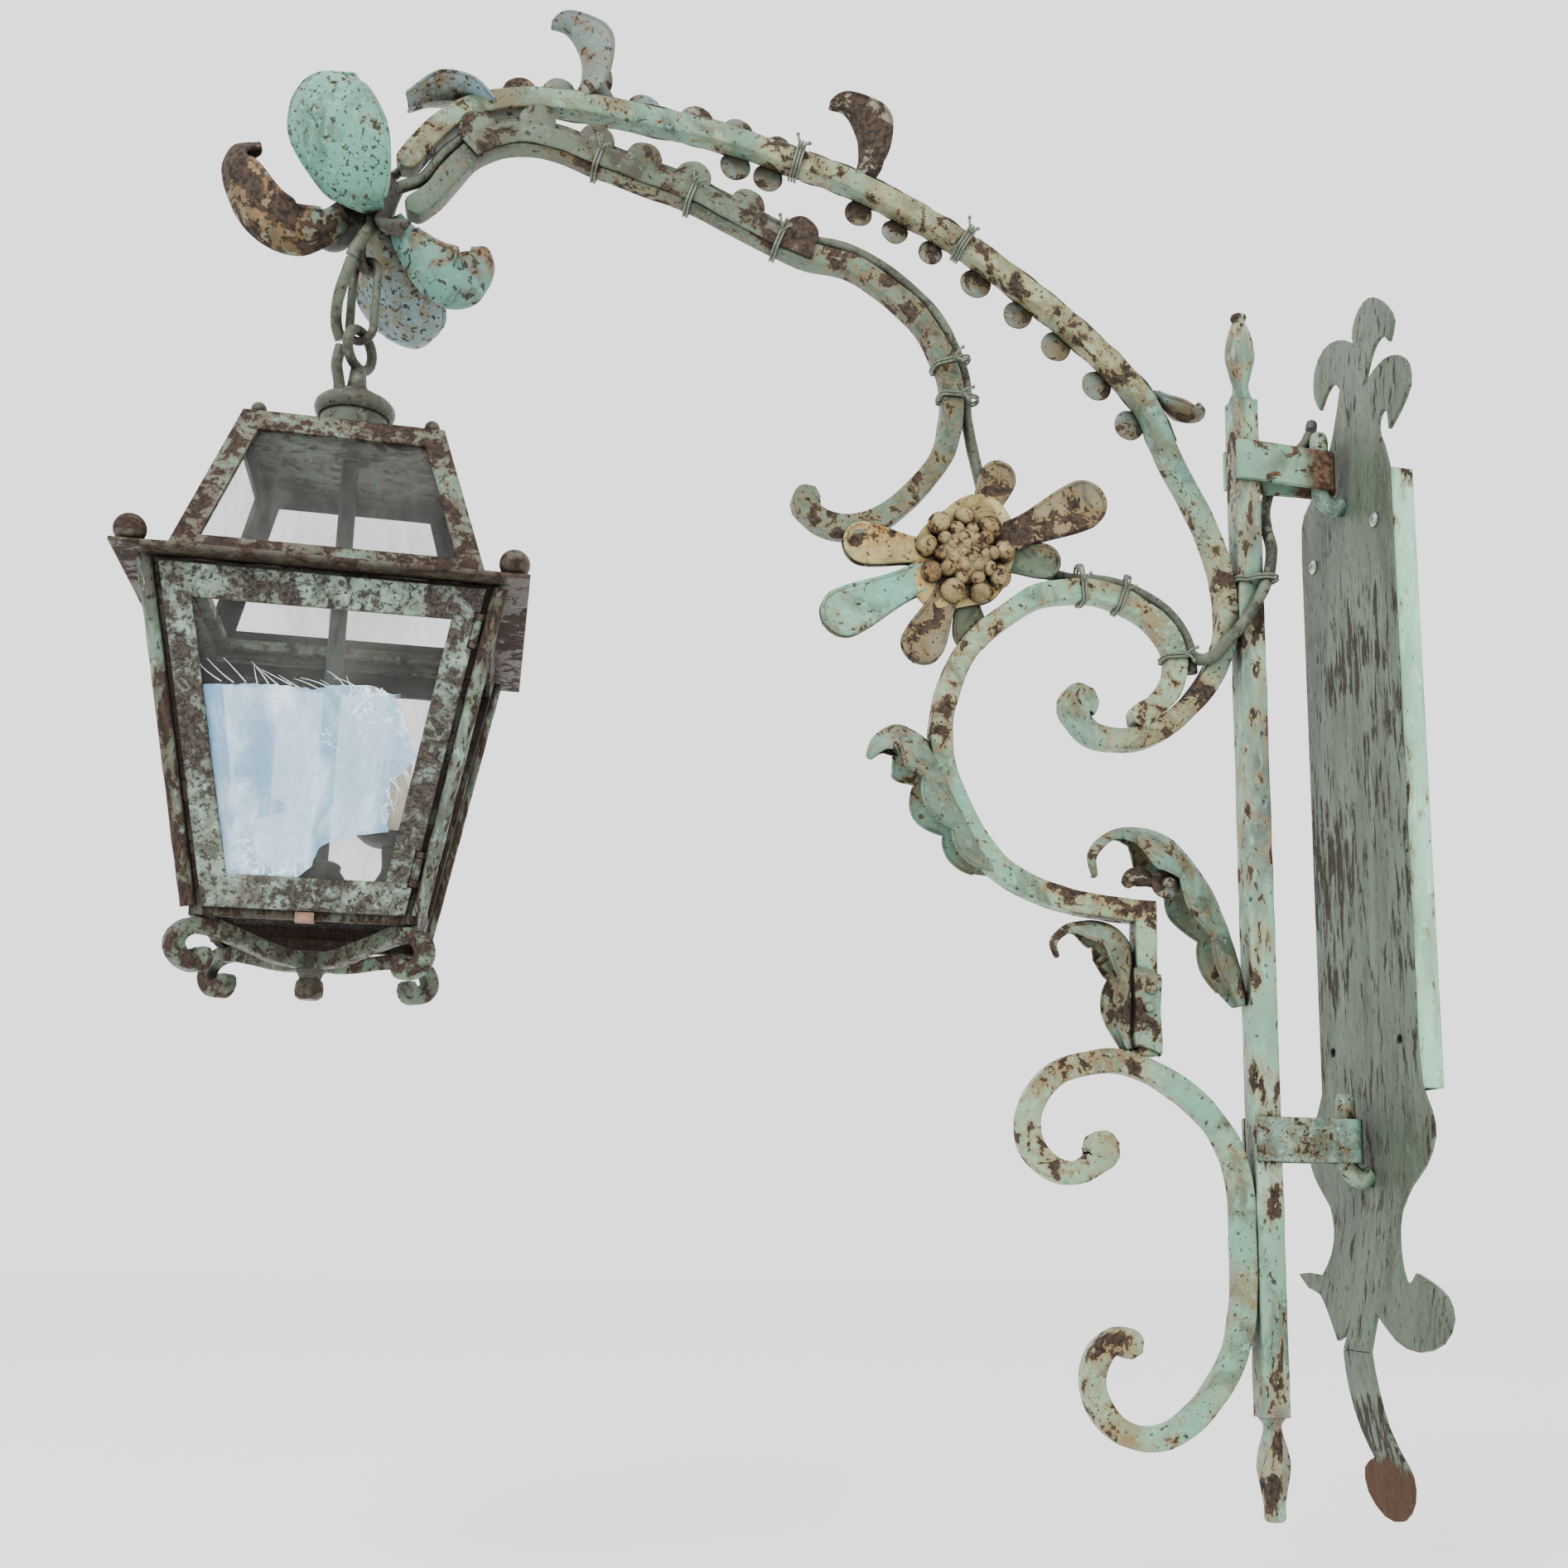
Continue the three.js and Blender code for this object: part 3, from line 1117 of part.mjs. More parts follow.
// Hook: a bar along the hidden side of the main arm's end that drops through the flower and turns up
function hook(fuller = 0) {
  const beside = armBar / 2 + hookBar / 2 + seat;
  const points = [0.93, 0.955, 0.975].map((t) => mainArmCurve.getPointAt(t).add(new THREE.Vector3(-beside, 0, 0)));
  points.push(new THREE.Vector3(-hookBar * 0.8, lanternY + hookRadius * 0.7, flowerHeight + throatRadius * 1.45));
  points.push(new THREE.Vector3(-hookBar * 0.5, lanternY + hookRadius * 0.25, flowerHeight + throatRadius * 0.5));
  points.push(new THREE.Vector3(0, lanternY - hookRadius * 0.2, flowerHeight - throatRadius * 0.35));
  points.push(chainPoint(0, hookRadius, hookAxisHeight + hookRadius * 2.5));
  points.push(chainPoint(0, hookRadius, hookAxisHeight + hookRadius * 1.4));
  for (let k = 0; k <= 6; k += 1) {
    const angle = (k / 6) * Math.PI;
    points.push(chainPoint(0, hookRadius * Math.cos(angle), hookAxisHeight + hookRadius * (1 - Math.sin(angle))));
  }
  points.push(chainPoint(0, -hookRadius * 1.05, hookAxisHeight + hookRadius * 1.5));
  return tubeAlong(smooth(points), hookBar + fuller, 8, 34);
}

// Main arm, seated against the post, the bell and the hook
const mainArm = cutAway(forgedBar(mainArmCurve, { startSnub: mainBlob }), [postSeat, bellSeat, hook(3 * seat)]);
addPiece(bracketParts, 'main_arm', mainArm, colours.greenPaint);

// A closed loop of round rod in an upright plane
function rodLoop(points, diameter, sides, steps) {
  const curve = smooth(points, true);
  const frames = [];
  const middle = new THREE.Vector3();
  points.forEach((point) => middle.add(point));
  middle.divideScalar(points.length);
  const quarter = points[Math.floor(points.length / 4)].clone().sub(middle);
  const flat = points[0].clone().sub(middle).cross(quarter).normalize();
  for (let k = 0; k < steps; k += 1) {
    const t = k / steps;
    const centre = curve.getPointAt(t);
    const inward = curve.getTangentAt(t).cross(flat).normalize();
    const ring = [];
    for (let i = 0; i < sides; i += 1) {
      const angle = (i / sides) * 2 * Math.PI;
      ring.push(centre.clone()
        .addScaledVector(inward, Math.cos(angle) * diameter / 2)
        .addScaledVector(flat, Math.sin(angle) * diameter / 2));
    }
    frames.push(ring);
  }
  const positions = frames.flat().flatMap((point) => [point.x, point.y, point.z]);
  const index = [];
  for (let r = 0; r < steps; r += 1) {
    for (let i = 0; i < sides; i += 1) {
      const a = r * sides + i;
      const b = r * sides + ((i + 1) % sides);
      const c = ((r + 1) % steps) * sides + i;
      const d = ((r + 1) % steps) * sides + ((i + 1) % sides);
      index.push(a, b, d, a, d, c);
    }
  }
  const geometry = new THREE.BufferGeometry();
  geometry.setAttribute('position', new THREE.Float32BufferAttribute(positions, 3));
  geometry.setIndex(index);
  return outward(geometry);
}

function hangingLink() {
  const half = (linkWidth - linkRod) / 2;
  const points = [];
  for (const [middle, sign] of [[linkTop - half, 1], [linkBottom + half, -1]]) {
    for (let k = 0; k <= 6; k += 1) {
      const angle = (k / 6) * Math.PI;
      points.push(chainPoint(sign * half * Math.cos(angle), 0, middle + sign * half * Math.sin(angle)));
    }
  }
  return rodLoop(points, linkRod, 8, 28);
}

function lanternRing() {
  const halfWide = (ringWidth - ringRod) / 2;
  const halfHigh = (ringHeight - ringRod) / 2;
  const points = [];
  for (let k = 0; k < 16; k += 1) {
    const angle = (k / 16) * 2 * Math.PI;
    points.push(chainPoint(0, halfWide * Math.cos(angle), ringMiddle + halfHigh * Math.sin(angle)));
  }
  const eye = rodLoop(points, ringRod, 8, 24);
  const stemTop = ringMiddle - halfHigh;
  const stem = turned([
    [0, capTop - neckHeight * 0.5], [ringStem, capTop - neckHeight * 0.5], [ringStem, capTop + seat],
    [ringCollar, capTop + seat], [ringCollar, capTop + seat + ringRod * 0.5], [ringStem, stemTop], [0, stemTop],
  ], 12).translate(0, lanternY, 0);
  return unite([eye, stem]).translate(0, -lanternY, 0);
}
const capBase = corniceTop + roofHeight + seat;
const rollHeight = capBase + neckHeight + capRoll;
const capTop = rollHeight + capRoll * 2.1;
const ringStem = 5;
const ringCollar = 8;
const capWall = 2.5;
const cableEntryAcross = 7.8;
const cableEntryOut = 10.8;
const cableEntryDepth = 13;

// Cap: neck, rolled rim and a low dome, hollow below, with holes for the ring's stem and the cable
function cap() {
  const roll = [];
  for (let k = 0; k <= 5; k += 1) {
    const angle = -Math.PI * 0.42 + (k / 5) * Math.PI * 0.95;
    roll.push([capRadius + capRoll * Math.cos(angle), rollHeight + capRoll * Math.sin(angle)]);
  }
  const stemHole = ringStem + pintleClearance;
  const profile = [
    [neckRadius - capWall, capBase], [neckRadius, capBase], [neckRadius, rollHeight - capRoll * 0.8],
    ...roll, [ringCollar * 1.3, capTop - capWall * 0.4], [stemHole, capTop],
    [stemHole, capTop - capWall], [neckRadius - capWall, rollHeight + capRoll * 0.4],
  ].map(([radius, height]) => new THREE.Vector2(radius, height));
  profile.push(profile[0].clone());
  const shell = outward(indexed(new THREE.LatheGeometry(profile, 20).rotateX(Math.PI / 2)));
  const bore = new THREE.CylinderGeometry(cableDiameter / 2 + seat, cableDiameter / 2 + seat, capRadius, 12)
    .rotateX(Math.PI / 2).translate(cableEntryAcross, -cableEntryOut, capTop - capWall);
  return cutAway(shell, [bore]);
}

// A slanted face of the lantern as a matrix: x across it, y up its slope, z outward from its lower edge
function faceMatrix(side, lowHalf, lowHeight, highHalf, highHeight) {
  const lean = Math.atan2(lowHalf - highHalf, highHeight - lowHeight);
  const matrix = new THREE.Matrix4().makeRotationZ((side * Math.PI) / 2);
  matrix.multiply(new THREE.Matrix4().makeTranslation(lowHalf, 0, lowHeight));
  matrix.multiply(new THREE.Matrix4().makeRotationY(-lean));
  matrix.multiply(new THREE.Matrix4().set(0, 0, 1, 0, 1, 0, 0, 0, 0, 1, 0, 0, 0, 0, 0, 1));
  return matrix;
}

// A trapezoid plate with an optional opening, drawn upright
function trapezoid(lowHalf, highHalf, from, to, height, depth, opening = null) {
  const halfAt = (y) => lowHalf + (highHalf - lowHalf) * (y / height);
  const corners = (a, b, low, high) => [
    new THREE.Vector2(-a, low), new THREE.Vector2(a, low), new THREE.Vector2(b, high), new THREE.Vector2(-b, high),
  ];
  const shape = new THREE.Shape(corners(halfAt(from), halfAt(to), from, to));
  if (opening) {
    const [low, high, inset] = opening;
    shape.holes.push(new THREE.Path(corners(halfAt(low) - inset, halfAt(high) - inset, low, high)));
  }
  return new THREE.ExtrudeGeometry(shape, { depth, bevelEnabled: false });
}

// Roof: a sill ring, four leaning faces with openings, and a top plate with four small balls
const roofBase = corniceTop + seat;
const roofTopZ = corniceTop + roofHeight;
const roofSlope = Math.hypot(roofBaseHalf - roofTopHalf, roofHeight - roofSill);
const roofFaceLow = corniceTop + roofSill;
const roofFace = (side) => faceMatrix(side, roofBaseHalf, roofFaceLow, roofTopHalf, roofTopZ);

function squareRing(half, inner, low, height) {
  const shape = new THREE.Shape([[-half, -half], [half, -half], [half, half], [-half, half]]
    .map(([x, y]) => new THREE.Vector2(x, y)));
  if (inner > 0) {
    shape.holes.push(new THREE.Path([[-inner, -inner], [inner, -inner], [inner, inner], [-inner, inner]]
      .map(([x, y]) => new THREE.Vector2(x, y))));
  }
  return new THREE.ExtrudeGeometry(shape, { depth: height, bevelEnabled: false }).translate(0, 0, low);
}

function roofFrame() {
  const pieces = [squareRing(roofBaseHalf + roofSheet, roofBaseHalf - roofBar, roofBase, roofSill)];
  const bottomBar = roofBar * 0.7;
  for (let side = 0; side < 4; side += 1) {
    const face = trapezoid(roofBaseHalf, roofTopHalf, 0, roofSlope, roofSlope, roofSheet,
      [bottomBar, roofSlope - roofBar, roofBar]);
    pieces.push(face.translate(0, 0, -roofSheet).applyMatrix4(roofFace(side)));
  }
  const plate = squareRing(roofTopHalf, 0, roofTopZ - roofSheet, roofSheet);
  const hole = new THREE.CylinderGeometry(stemHoleRadius, stemHoleRadius, 4 * roofSheet, 14)
    .rotateX(Math.PI / 2).translate(0, 0, roofTopZ);
  pieces.push(plate);
  for (const x of [-1, 1]) {
    for (const y of [-1, 1]) {
      const inset = roofTopHalf - topBall * 1.7;
      pieces.push(ball(topBall, x * inset, y * inset, roofTopZ + topBall * 0.8, 8));
    }
  }
  return cutAway(unite(pieces), [hole]);
}
const stemHoleRadius = stemDiameter / 2 + seat;

// Roof pane: glass behind a face's opening, lapped by its margins
function roofPane(side) {
  const low = roofBar * 0.7 - glassMargin;
  const high = roofSlope - roofBar + glassMargin;
  const inset = roofBar - glassMargin;
  const pane = trapezoid(roofBaseHalf - inset, roofTopHalf - inset, low, high, roofSlope, glassThickness);
  return pane.translate(0, 0, -roofSheet - glassThickness - seat).applyMatrix4(roofFace(side));
}

// Cornice: a flat overhanging plate with a ball at each corner
function cornice() {
  const pieces = [squareRing(corniceHalf, bodyTopHalf - faceBar, bodyTop, corniceThickness)];
  const inset = corniceHalf - cornerBall - seat;
  for (const x of [-1, 1]) {
    for (const y of [-1, 1]) {
      pieces.push(ball(cornerBall, x * inset, y * inset, corniceTop + cornerBall * 0.9, ballSides));
    }
  }
  return unite(pieces);
}

// Body: four leaning faces, round corner rods, and a deep bottom rail
const bodyFaceTop = bodyTop - 3 * seat;
const bodySlope = Math.hypot(bodyTopHalf - bodyBottomHalf, bodyFaceTop - bodyBottom);
const bodyFace = (side) => faceMatrix(side, bodyBottomHalf, bodyBottom, bodyTopHalf, bodyFaceTop);

function bodyFrame() {
  const pieces = [];
  for (let side = 0; side < 4; side += 1) {
    const face = trapezoid(bodyBottomHalf, bodyTopHalf, 0, bodySlope, bodySlope, faceSheet,
      [faceBar, bodySlope - faceBar, faceBar]);
    pieces.push(face.translate(0, 0, -faceSheet).applyMatrix4(bodyFace(side)));
  }
  const rodRadius = cornerRod / 2;
  for (const x of [-1, 1]) {
    for (const y of [-1, 1]) {
      pieces.push(rod(
        new THREE.Vector3(x * bodyBottomHalf, y * bodyBottomHalf, bodyBottom),
        new THREE.Vector3(x * bodyTopHalf, y * bodyTopHalf, bodyFaceTop - rodRadius * 0.3),
        rodRadius,
        8,
      ));
    }
  }
  pieces.push(squareRing(bodyBottomHalf, bodyBottomHalf - railDepth, bodyBottom - railDepth, railDepth + faceSheet));
  return unite(pieces);
}

function bodyPane(side, outset, margins) {
  const inset = faceBar - margins;
  const pane = trapezoid(bodyBottomHalf - inset, bodyTopHalf - inset, faceBar - margins,
    bodySlope - faceBar + margins, bodySlope, glassThickness);
  return pane.translate(0, 0, outset).applyMatrix4(bodyFace(side));
}
const faces = ['near', 'right', 'far', 'left'];

// Door hinge line: just inside the near face's right-hand corner rod, parallel to it
const hingeInset = cornerRod / 2 + doorBarrel + hingeGap;
const hingeLift = seat + doorBarrel;
const faceTaper = (bodyTopHalf - bodyBottomHalf) / bodySlope;
const hingePoint = (y) => new THREE.Vector3(bodyBottomHalf + faceTaper * y - hingeInset, y, hingeLift);
const hingeHeights = [bodySlope * 0.14, bodySlope * 0.86];

// Lugs on the body that hold the door's pins
function hingeLugs() {
  const pieces = [];
  for (const middle of hingeHeights) {
    for (const end of [-1, 1]) {
      const near = middle + end * (barrelLength / 2 + seat);
      const lug = rod(hingePoint(near), hingePoint(near + end * lugLength), doorBarrel, 12);
      const at = hingePoint(near + end * lugLength / 2);
      const low = at.z - doorBarrel * 0.6;
      const foot = block(hingeInset, lugLength * 0.9, doorBarrel, at.x + hingeInset / 2, at.y, low);
      pieces.push(lug, foot);
    }
  }
  return pieces;
}

function bodyWithLugs() {
  const lugs = unite(hingeLugs());
  const bores = hingeHeights.map((middle) => {
    const span = barrelLength / 2 + lugLength + overrun;
    return rod(hingePoint(middle - span), hingePoint(middle + span), doorPin / 2 + seat, 12);
  });
  const bored = cutAway(lugs, bores).applyMatrix4(bodyFace(0));
  return unite([bodyFrame(), bored]);
}

// Door: an overlaid frame with barrels and pins along its hinge stile
function doorFrame() {
  const low = seat;
  const high = bodySlope - doorBarrel;
  const inset = hingeInset;
  const halfAt = (y) => bodyBottomHalf + faceTaper * y - inset;
  const shape = new THREE.Shape([
    new THREE.Vector2(-halfAt(low), low), new THREE.Vector2(halfAt(low), low),
    new THREE.Vector2(halfAt(high), high), new THREE.Vector2(-halfAt(high), high),
  ]);
  const holeLow = low + doorRail;
  const holeHigh = high - doorRail;
  const holeHalf = (y) => halfAt(y) - doorStile;
  shape.holes.push(new THREE.Path([
    new THREE.Vector2(-holeHalf(holeLow), holeLow), new THREE.Vector2(-holeHalf(holeHigh), holeHigh),
    new THREE.Vector2(holeHalf(holeHigh), holeHigh), new THREE.Vector2(holeHalf(holeLow), holeLow),
  ]));
  const frame = new THREE.ExtrudeGeometry(shape, { depth: doorSheet, bevelEnabled: false }).translate(0, 0, seat);
  const clear = hingeHeights.map((middle) => {
    const span = barrelLength / 2 + lugLength + 3 * seat;
    const cutter = rod(hingePoint(middle - span), hingePoint(middle + span), doorBarrel + 2 * seat, 12);
    return cutter;
  });
  const barrels = [];
  for (const middle of hingeHeights) {
    const half = barrelLength / 2;
    const pinHalf = half + lugLength + seat;
    barrels.push(rod(hingePoint(middle - half), hingePoint(middle + half), doorBarrel, 12));
    barrels.push(rod(hingePoint(middle - pinHalf), hingePoint(middle + pinHalf), doorPin / 2, 12));
    const at = hingePoint(middle);
    barrels.push(block(2 * doorBarrel + 2, barrelLength * 0.9, doorSheet * 0.6,
      at.x - doorBarrel - 1, at.y, seat + doorSheet / 2));
  }
  return unite([cutAway(frame, clear), ...barrels]).applyMatrix4(bodyFace(0));
}

function doorGlass() {
  const inset = faceBar + paneClearance;
  const pane = trapezoid(bodyBottomHalf - inset, bodyTopHalf - inset, faceBar + paneClearance,
    bodySlope - faceBar - paneClearance, bodySlope, glassThickness);
  return pane.translate(0, 0, -glassThickness).applyMatrix4(bodyFace(0));
}

// Foot: two crossed bars under the body's corners whose ends curl into scroll feet
const cornerReach = bodyBottomHalf * Math.SQRT2;
const railBottom = bodyBottom - railDepth;
const footHalfShares = [
  [0, -0.122], [0.3, -0.105], [0.6, -0.042], [0.84, 0], [0.97, -0.014], [1.06, -0.072], [1.085, -0.15],
  [1.03, -0.222], [0.945, -0.242], [0.885, -0.195], [0.9, -0.14],
];
function baseCross() {
  const place = ([outShare, downShare]) => new THREE.Vector3(
    0, outShare * cornerReach, railBottom - footBar / 2 - seat + downShare * cornerReach,
  );
  const right = footHalfShares.map(place);
  const left = footHalfShares.slice(1).reverse().map(place)
    .map((point) => new THREE.Vector3(0, -point.y, point.z));
  const curve = smooth([...left, ...right]);
  const bars = [1, -1].map((side) => forgedBar(curve, {
    width: footBar, depth: footBar, startSnub: footSnub, endSnub: footSnub,
  }).rotateZ(side * Math.PI / 4));
  const middle = place(footHalfShares[0]).z;
  const nutTop = middle - footBar * 0.55;
  const finial = turned([
    [0, nutTop - finialDrop], [finialNut * 0.68, nutTop - finialDrop],
    [finialNut * 0.96, nutTop - finialDrop * 0.82],
    [finialNut, nutTop - finialDrop * 0.55], [finialNut * 0.74, nutTop - finialDrop * 0.28],
    [finialNut * 0.9, nutTop], [footBar, nutTop], [footBar, middle + footBar * 0.6], [0, middle + footBar * 0.6],
  ]);
  return unite([...bars, finial]);
}

// Stem: tube from the cap down through the hub, with the nut that holds the hub up
function stemTube() {
  const radius = stemDiameter / 2;
  const hubLow = hubHeight - hubDrop - seat;
  return turned([
    [0, hubLow - stemNut], [radius * 1.3, hubLow - stemNut], [radius * 1.6, hubLow - stemNut * 0.7],
    [radius * 1.6, hubLow], [radius, hubLow], [radius, stemTopZ], [radius * 0.6, stemTopZ],
    [radius * 0.6, stemTopZ - neckHeight], [0, stemTopZ - neckHeight],
  ]);
}
const stemTopZ = capTop - neckHeight * 0.5 - seat;

// Hub with two swept arms that carry the candles
function candleHub() {
  const bore = stemHoleRadius;
  const profile = [
    [bore, hubHeight - hubDrop], [bore * 1.5, hubHeight - hubDrop], [hubRadius * 0.9, hubHeight - hubDrop * 0.6],
    [hubRadius, hubHeight], [hubRadius * 0.8, hubHeight + hubRise * 0.5],
    [hubRadius * 0.82, hubHeight + hubRise * 0.75],
    [bore * 1.5, hubHeight + hubRise], [bore, hubHeight + hubRise],
  ].map(([radius, height]) => new THREE.Vector2(radius, height));
  profile.push(profile[0].clone());
  const hub = outward(indexed(new THREE.LatheGeometry(profile, turnedSides).rotateX(Math.PI / 2)));
  const pieces = [hub];
  for (const side of [0, 1]) {
    const arm = tubeAlong(smooth([
      new THREE.Vector3(0, hubRadius * 0.7, hubHeight),
      new THREE.Vector3(0, candleOffset * 0.45, hubHeight - armRodRadius * 1.6),
      new THREE.Vector3(0, candleOffset * 0.8, hubHeight),
      new THREE.Vector3(0, candleOffset, hubHeight + armRodRadius * 3),
      new THREE.Vector3(0, candleOffset, bobecheHeight - bobecheSheet - seat),
    ]), armRodRadius * 2, 8, 9);
    pieces.push(arm.rotateZ(candleAngle + side * Math.PI));
  }
  return unite(pieces);
}
const candleAngle = THREE.MathUtils.degToRad(candleTurn);

// Drip pan under a candle
function bobeche() {
  const profile = [
    [bobecheRadius * 0.15, -bobecheSheet], [bobecheRadius * 0.4, -bobecheSheet],
    [bobecheRadius * 0.8, bobecheSheet * 0.4], [bobecheRadius, bobecheSheet * 2],
    [bobecheRadius * 0.97, bobecheSheet * 2.8], [bobecheRadius * 0.75, bobecheSheet * 1.3],
    [bobecheRadius * 0.4, 0], [bobecheRadius * 0.15, 0],
  ].map(([radius, height]) => new THREE.Vector2(radius, height));
  profile.push(profile[0].clone());
  return outward(indexed(new THREE.LatheGeometry(profile, turnedSides).rotateX(Math.PI / 2)));
}

// Candle sleeve: a tube that stands on the pan
function candleSleeve() {
  const inner = sleeveRadius - sleeveWall;
  const profile = [
    [inner * 0.4, seat], [sleeveRadius * 0.62, seat], [sleeveRadius * 0.62, sleeveWall * 3],
    [sleeveRadius, sleeveWall * 3], [sleeveRadius, sleeveHeight], [inner, sleeveHeight],
    [inner, sleeveWall * 4.5], [inner * 0.4, sleeveWall * 4.5],
  ].map(([radius, height]) => new THREE.Vector2(radius, height));
  profile.push(profile[0].clone());
  return outward(indexed(new THREE.LatheGeometry(profile, turnedSides).rotateX(Math.PI / 2)));
}

// Slim bulb with its cap down in the sleeve
function bulb() {
  const capR = sleeveRadius - sleeveWall - seat;
  const low = sleeveHeight * 0.55;
  const bottom = sleeveHeight + seat;
  return turned([
    [0, low], [capR, low], [capR, bottom], [bulbRadius, bottom + bulbRadius * 0.5],
    [bulbRadius, bottom + bulbHeight * 0.7], [bulbRadius * 0.85, bottom + bulbHeight * 0.86],
    [bulbRadius * 0.45, bottom + bulbHeight * 0.97], [0, bottom + bulbHeight],
  ], 12);
}

addPiece(lanternParts, 'lantern_ring', lanternRing(), colours.iron);
addPiece(lanternParts, 'cap', cap(), colours.greyGreen);
addPiece(lanternParts, 'roof_frame', roofFrame(), colours.greyGreen);
addPiece(lanternParts, 'cornice', cornice(), colours.rust);
addPiece(lanternParts, 'body_frame', bodyWithLugs(), colours.greyGreen);
faces.forEach((face, side) => {
  addPiece(lanternParts, `roof_glass_${face}`, roofPane(side), colours.glass, 0.05, 0);
  if (side > 0) {
    const pane = bodyPane(side, -faceSheet - glassThickness - seat, glassMargin);
    addPiece(lanternParts, `glass_${face}`, pane, colours.glass, 0.05, 0);
  }
});
addPiece(lanternParts, 'door_frame', doorFrame(), colours.greyGreen);
addPiece(lanternParts, 'door_glass', doorGlass(), colours.glass, 0.05, 0);
addPiece(lanternParts, 'base_cross', baseCross(), colours.greyGreen);
addPiece(lanternParts, 'stem_tube', stemTube(), colours.iron);
addPiece(lanternParts, 'candle_hub', candleHub(), colours.iron);
for (const [place, side] of [['near', 0], ['far', 1]]) {
  const angle = candleAngle + side * Math.PI;
  const x = -Math.sin(angle) * candleOffset;
  const y = Math.cos(angle) * candleOffset;
  addPiece(lanternParts, `drip_pan_${place}`, bobeche(), colours.iron).position.set(x, y, bobecheHeight);
  addPiece(lanternParts, `candle_sleeve_${place}`, candleSleeve(), colours.ivory)
    .position.set(x, y, bobecheHeight);
  addPiece(lanternParts, `bulb_${place}`, bulb(), colours.glass, 0.1, 0).position.set(x, y, bobecheHeight);
}

// Copper spring catch under the body's near bottom rail
function doorCatch() {
  const inner = bodyBottomHalf + seat;
  const outer = inner + catchSheet;
  const low = railBottom - seat - catchSheet;
  const high = railBottom - seat;
  const shape = new THREE.Shape([
    [inner - railDepth, low], [outer, low], [outer, bodyBottom - 2 * seat], [inner, bodyBottom - 2 * seat],
    [inner, high], [inner - railDepth, high],
  ].map(([x, z]) => new THREE.Vector2(x, z)));
  return new THREE.ExtrudeGeometry(shape, { depth: catchWidth, bevelEnabled: false })
    .rotateX(Math.PI / 2).translate(0, catchWidth / 2, 0);
}
addPiece(lanternParts, 'door_catch', doorCatch(), colours.copper, 0.35, 0.9);

addPiece(bracketParts, 'rosette_front', rosetteSheetAt(rosetteFrontLobes, rosetteFrontX), colours.ivory);
addPiece(bracketParts, 'rosette_back', rosetteSheetAt(rosetteBackLobes, rosetteBackX), colours.verdigris);
addPiece(bracketParts, 'rosette_berries', rosetteBerries(), colours.ivory);
addPiece(bracketParts, 'hook', hook(), colours.rust);
addPiece(linkParts, 'hanging_link', hangingLink(), colours.greyGreen);

// Terminal block inside the wall channel
function terminalBlock() {
  const body = block(blockWidth, blockDepth, blockHeight, 0, 0, 0);
  const well = blockDepth * 0.22;
  const wells = [-1, 0, 1].map((k) => new THREE.CylinderGeometry(well, well, blockDepth, 10)
    .translate(k * blockWidth * 0.3, -blockDepth * 0.6, 0));
  return cutAway(body, wells);
}
addPiece(wallParts, 'terminal_block', terminalBlock(), colours.ceramic, 0.5, 0)
  .position.set(0, -channelWall - seat - blockDepth / 2, terminalHeight);

// Acanthus leaves of the scrolls, keels as [out, up] shares of each leaf's length
const scrollLeafShares = [
  [0.06, 0], [0.18, 0.12], [0.29, 0.3], [0.41, 0.52], [0.53, 0.76], [0.66, 0.9], [0.84, 0.96],
  [0.98, 0.86], [1.03, 0.73],
];
const postLeafShares = [
  [0, 0], [0.05, 0.23], [0.125, 0.47], [0.21, 0.67], [0.32, 0.83], [0.475, 0.98], [0.68, 1.03],
  [0.87, 0.98], [0.97, 0.86], [0.95, 0.73],
];
const cornerLeafShares = [
  [0, 0], [0, 0.3], [0, 0.56], [0.04, 0.78], [0.18, 0.89], [0.36, 0.9], [0.52, 0.85], [0.6, 0.75], [0.57, 0.65],
];

// A seat as deep as the bar itself, for leaves that wrap it
function snugSeat(curve, options = {}) {
  return forgedBar(curve, { ...options, width: armBar + 2 * seat, depth: scrollDepth + 2 * seat });
}
const strutY = middleScrollCurve.getPointAt(1).y;
const strutSeat = block(
  scrollDepth + 2 * seat, armBar + 2 * seat, armSpan * 0.2, 0, strutY,
  middleScrollCurve.getPointAt(1).z + armBar / 2 + seat - armSpan * 0.1,
);
const middleSnug = snugSeat(middleScrollCurve, { startSnub: innerBlob + seat });
const leafLow = armBar / 2 + leafSheet;

const scrollLeafBase = middleScrollCurve.getPointAt(0.79)
  .addScaledVector(barSide(middleScrollCurve, 0.79), -leafLow - seat);
addPiece(bracketParts, 'scroll_leaf', cutAway(acanthus(scrollLeafShares, {
  length: scrollLeafLength, width: leafWidth, cup: -1.2, lobes: 4, at: scrollLeafBase,
}), [middleSnug]), colours.verdigris);
const postLeafBase = new THREE.Vector3(0, postFront - seat, postLeafHeight);
addPiece(bracketParts, 'post_leaf', cutAway(acanthus(postLeafShares, {
  length: postLeafLength, width: leafWidth, cup: -1.1, lobes: 4, at: postLeafBase,
}), [postSeat]), colours.greyGreen);
const cornerLeafBase = new THREE.Vector3(0, strutY - armBar / 2 - leafSheet, lowerStrapHeight + cornerLeafRise);
addPiece(bracketParts, 'corner_leaf', cutAway(acanthus(cornerLeafShares, {
  length: cornerLeafLength, width: leafWidth * 0.85, cup: -1, lobes: 3, at: cornerLeafBase,
}), [middleSnug, strutSeat]), colours.greyGreen);

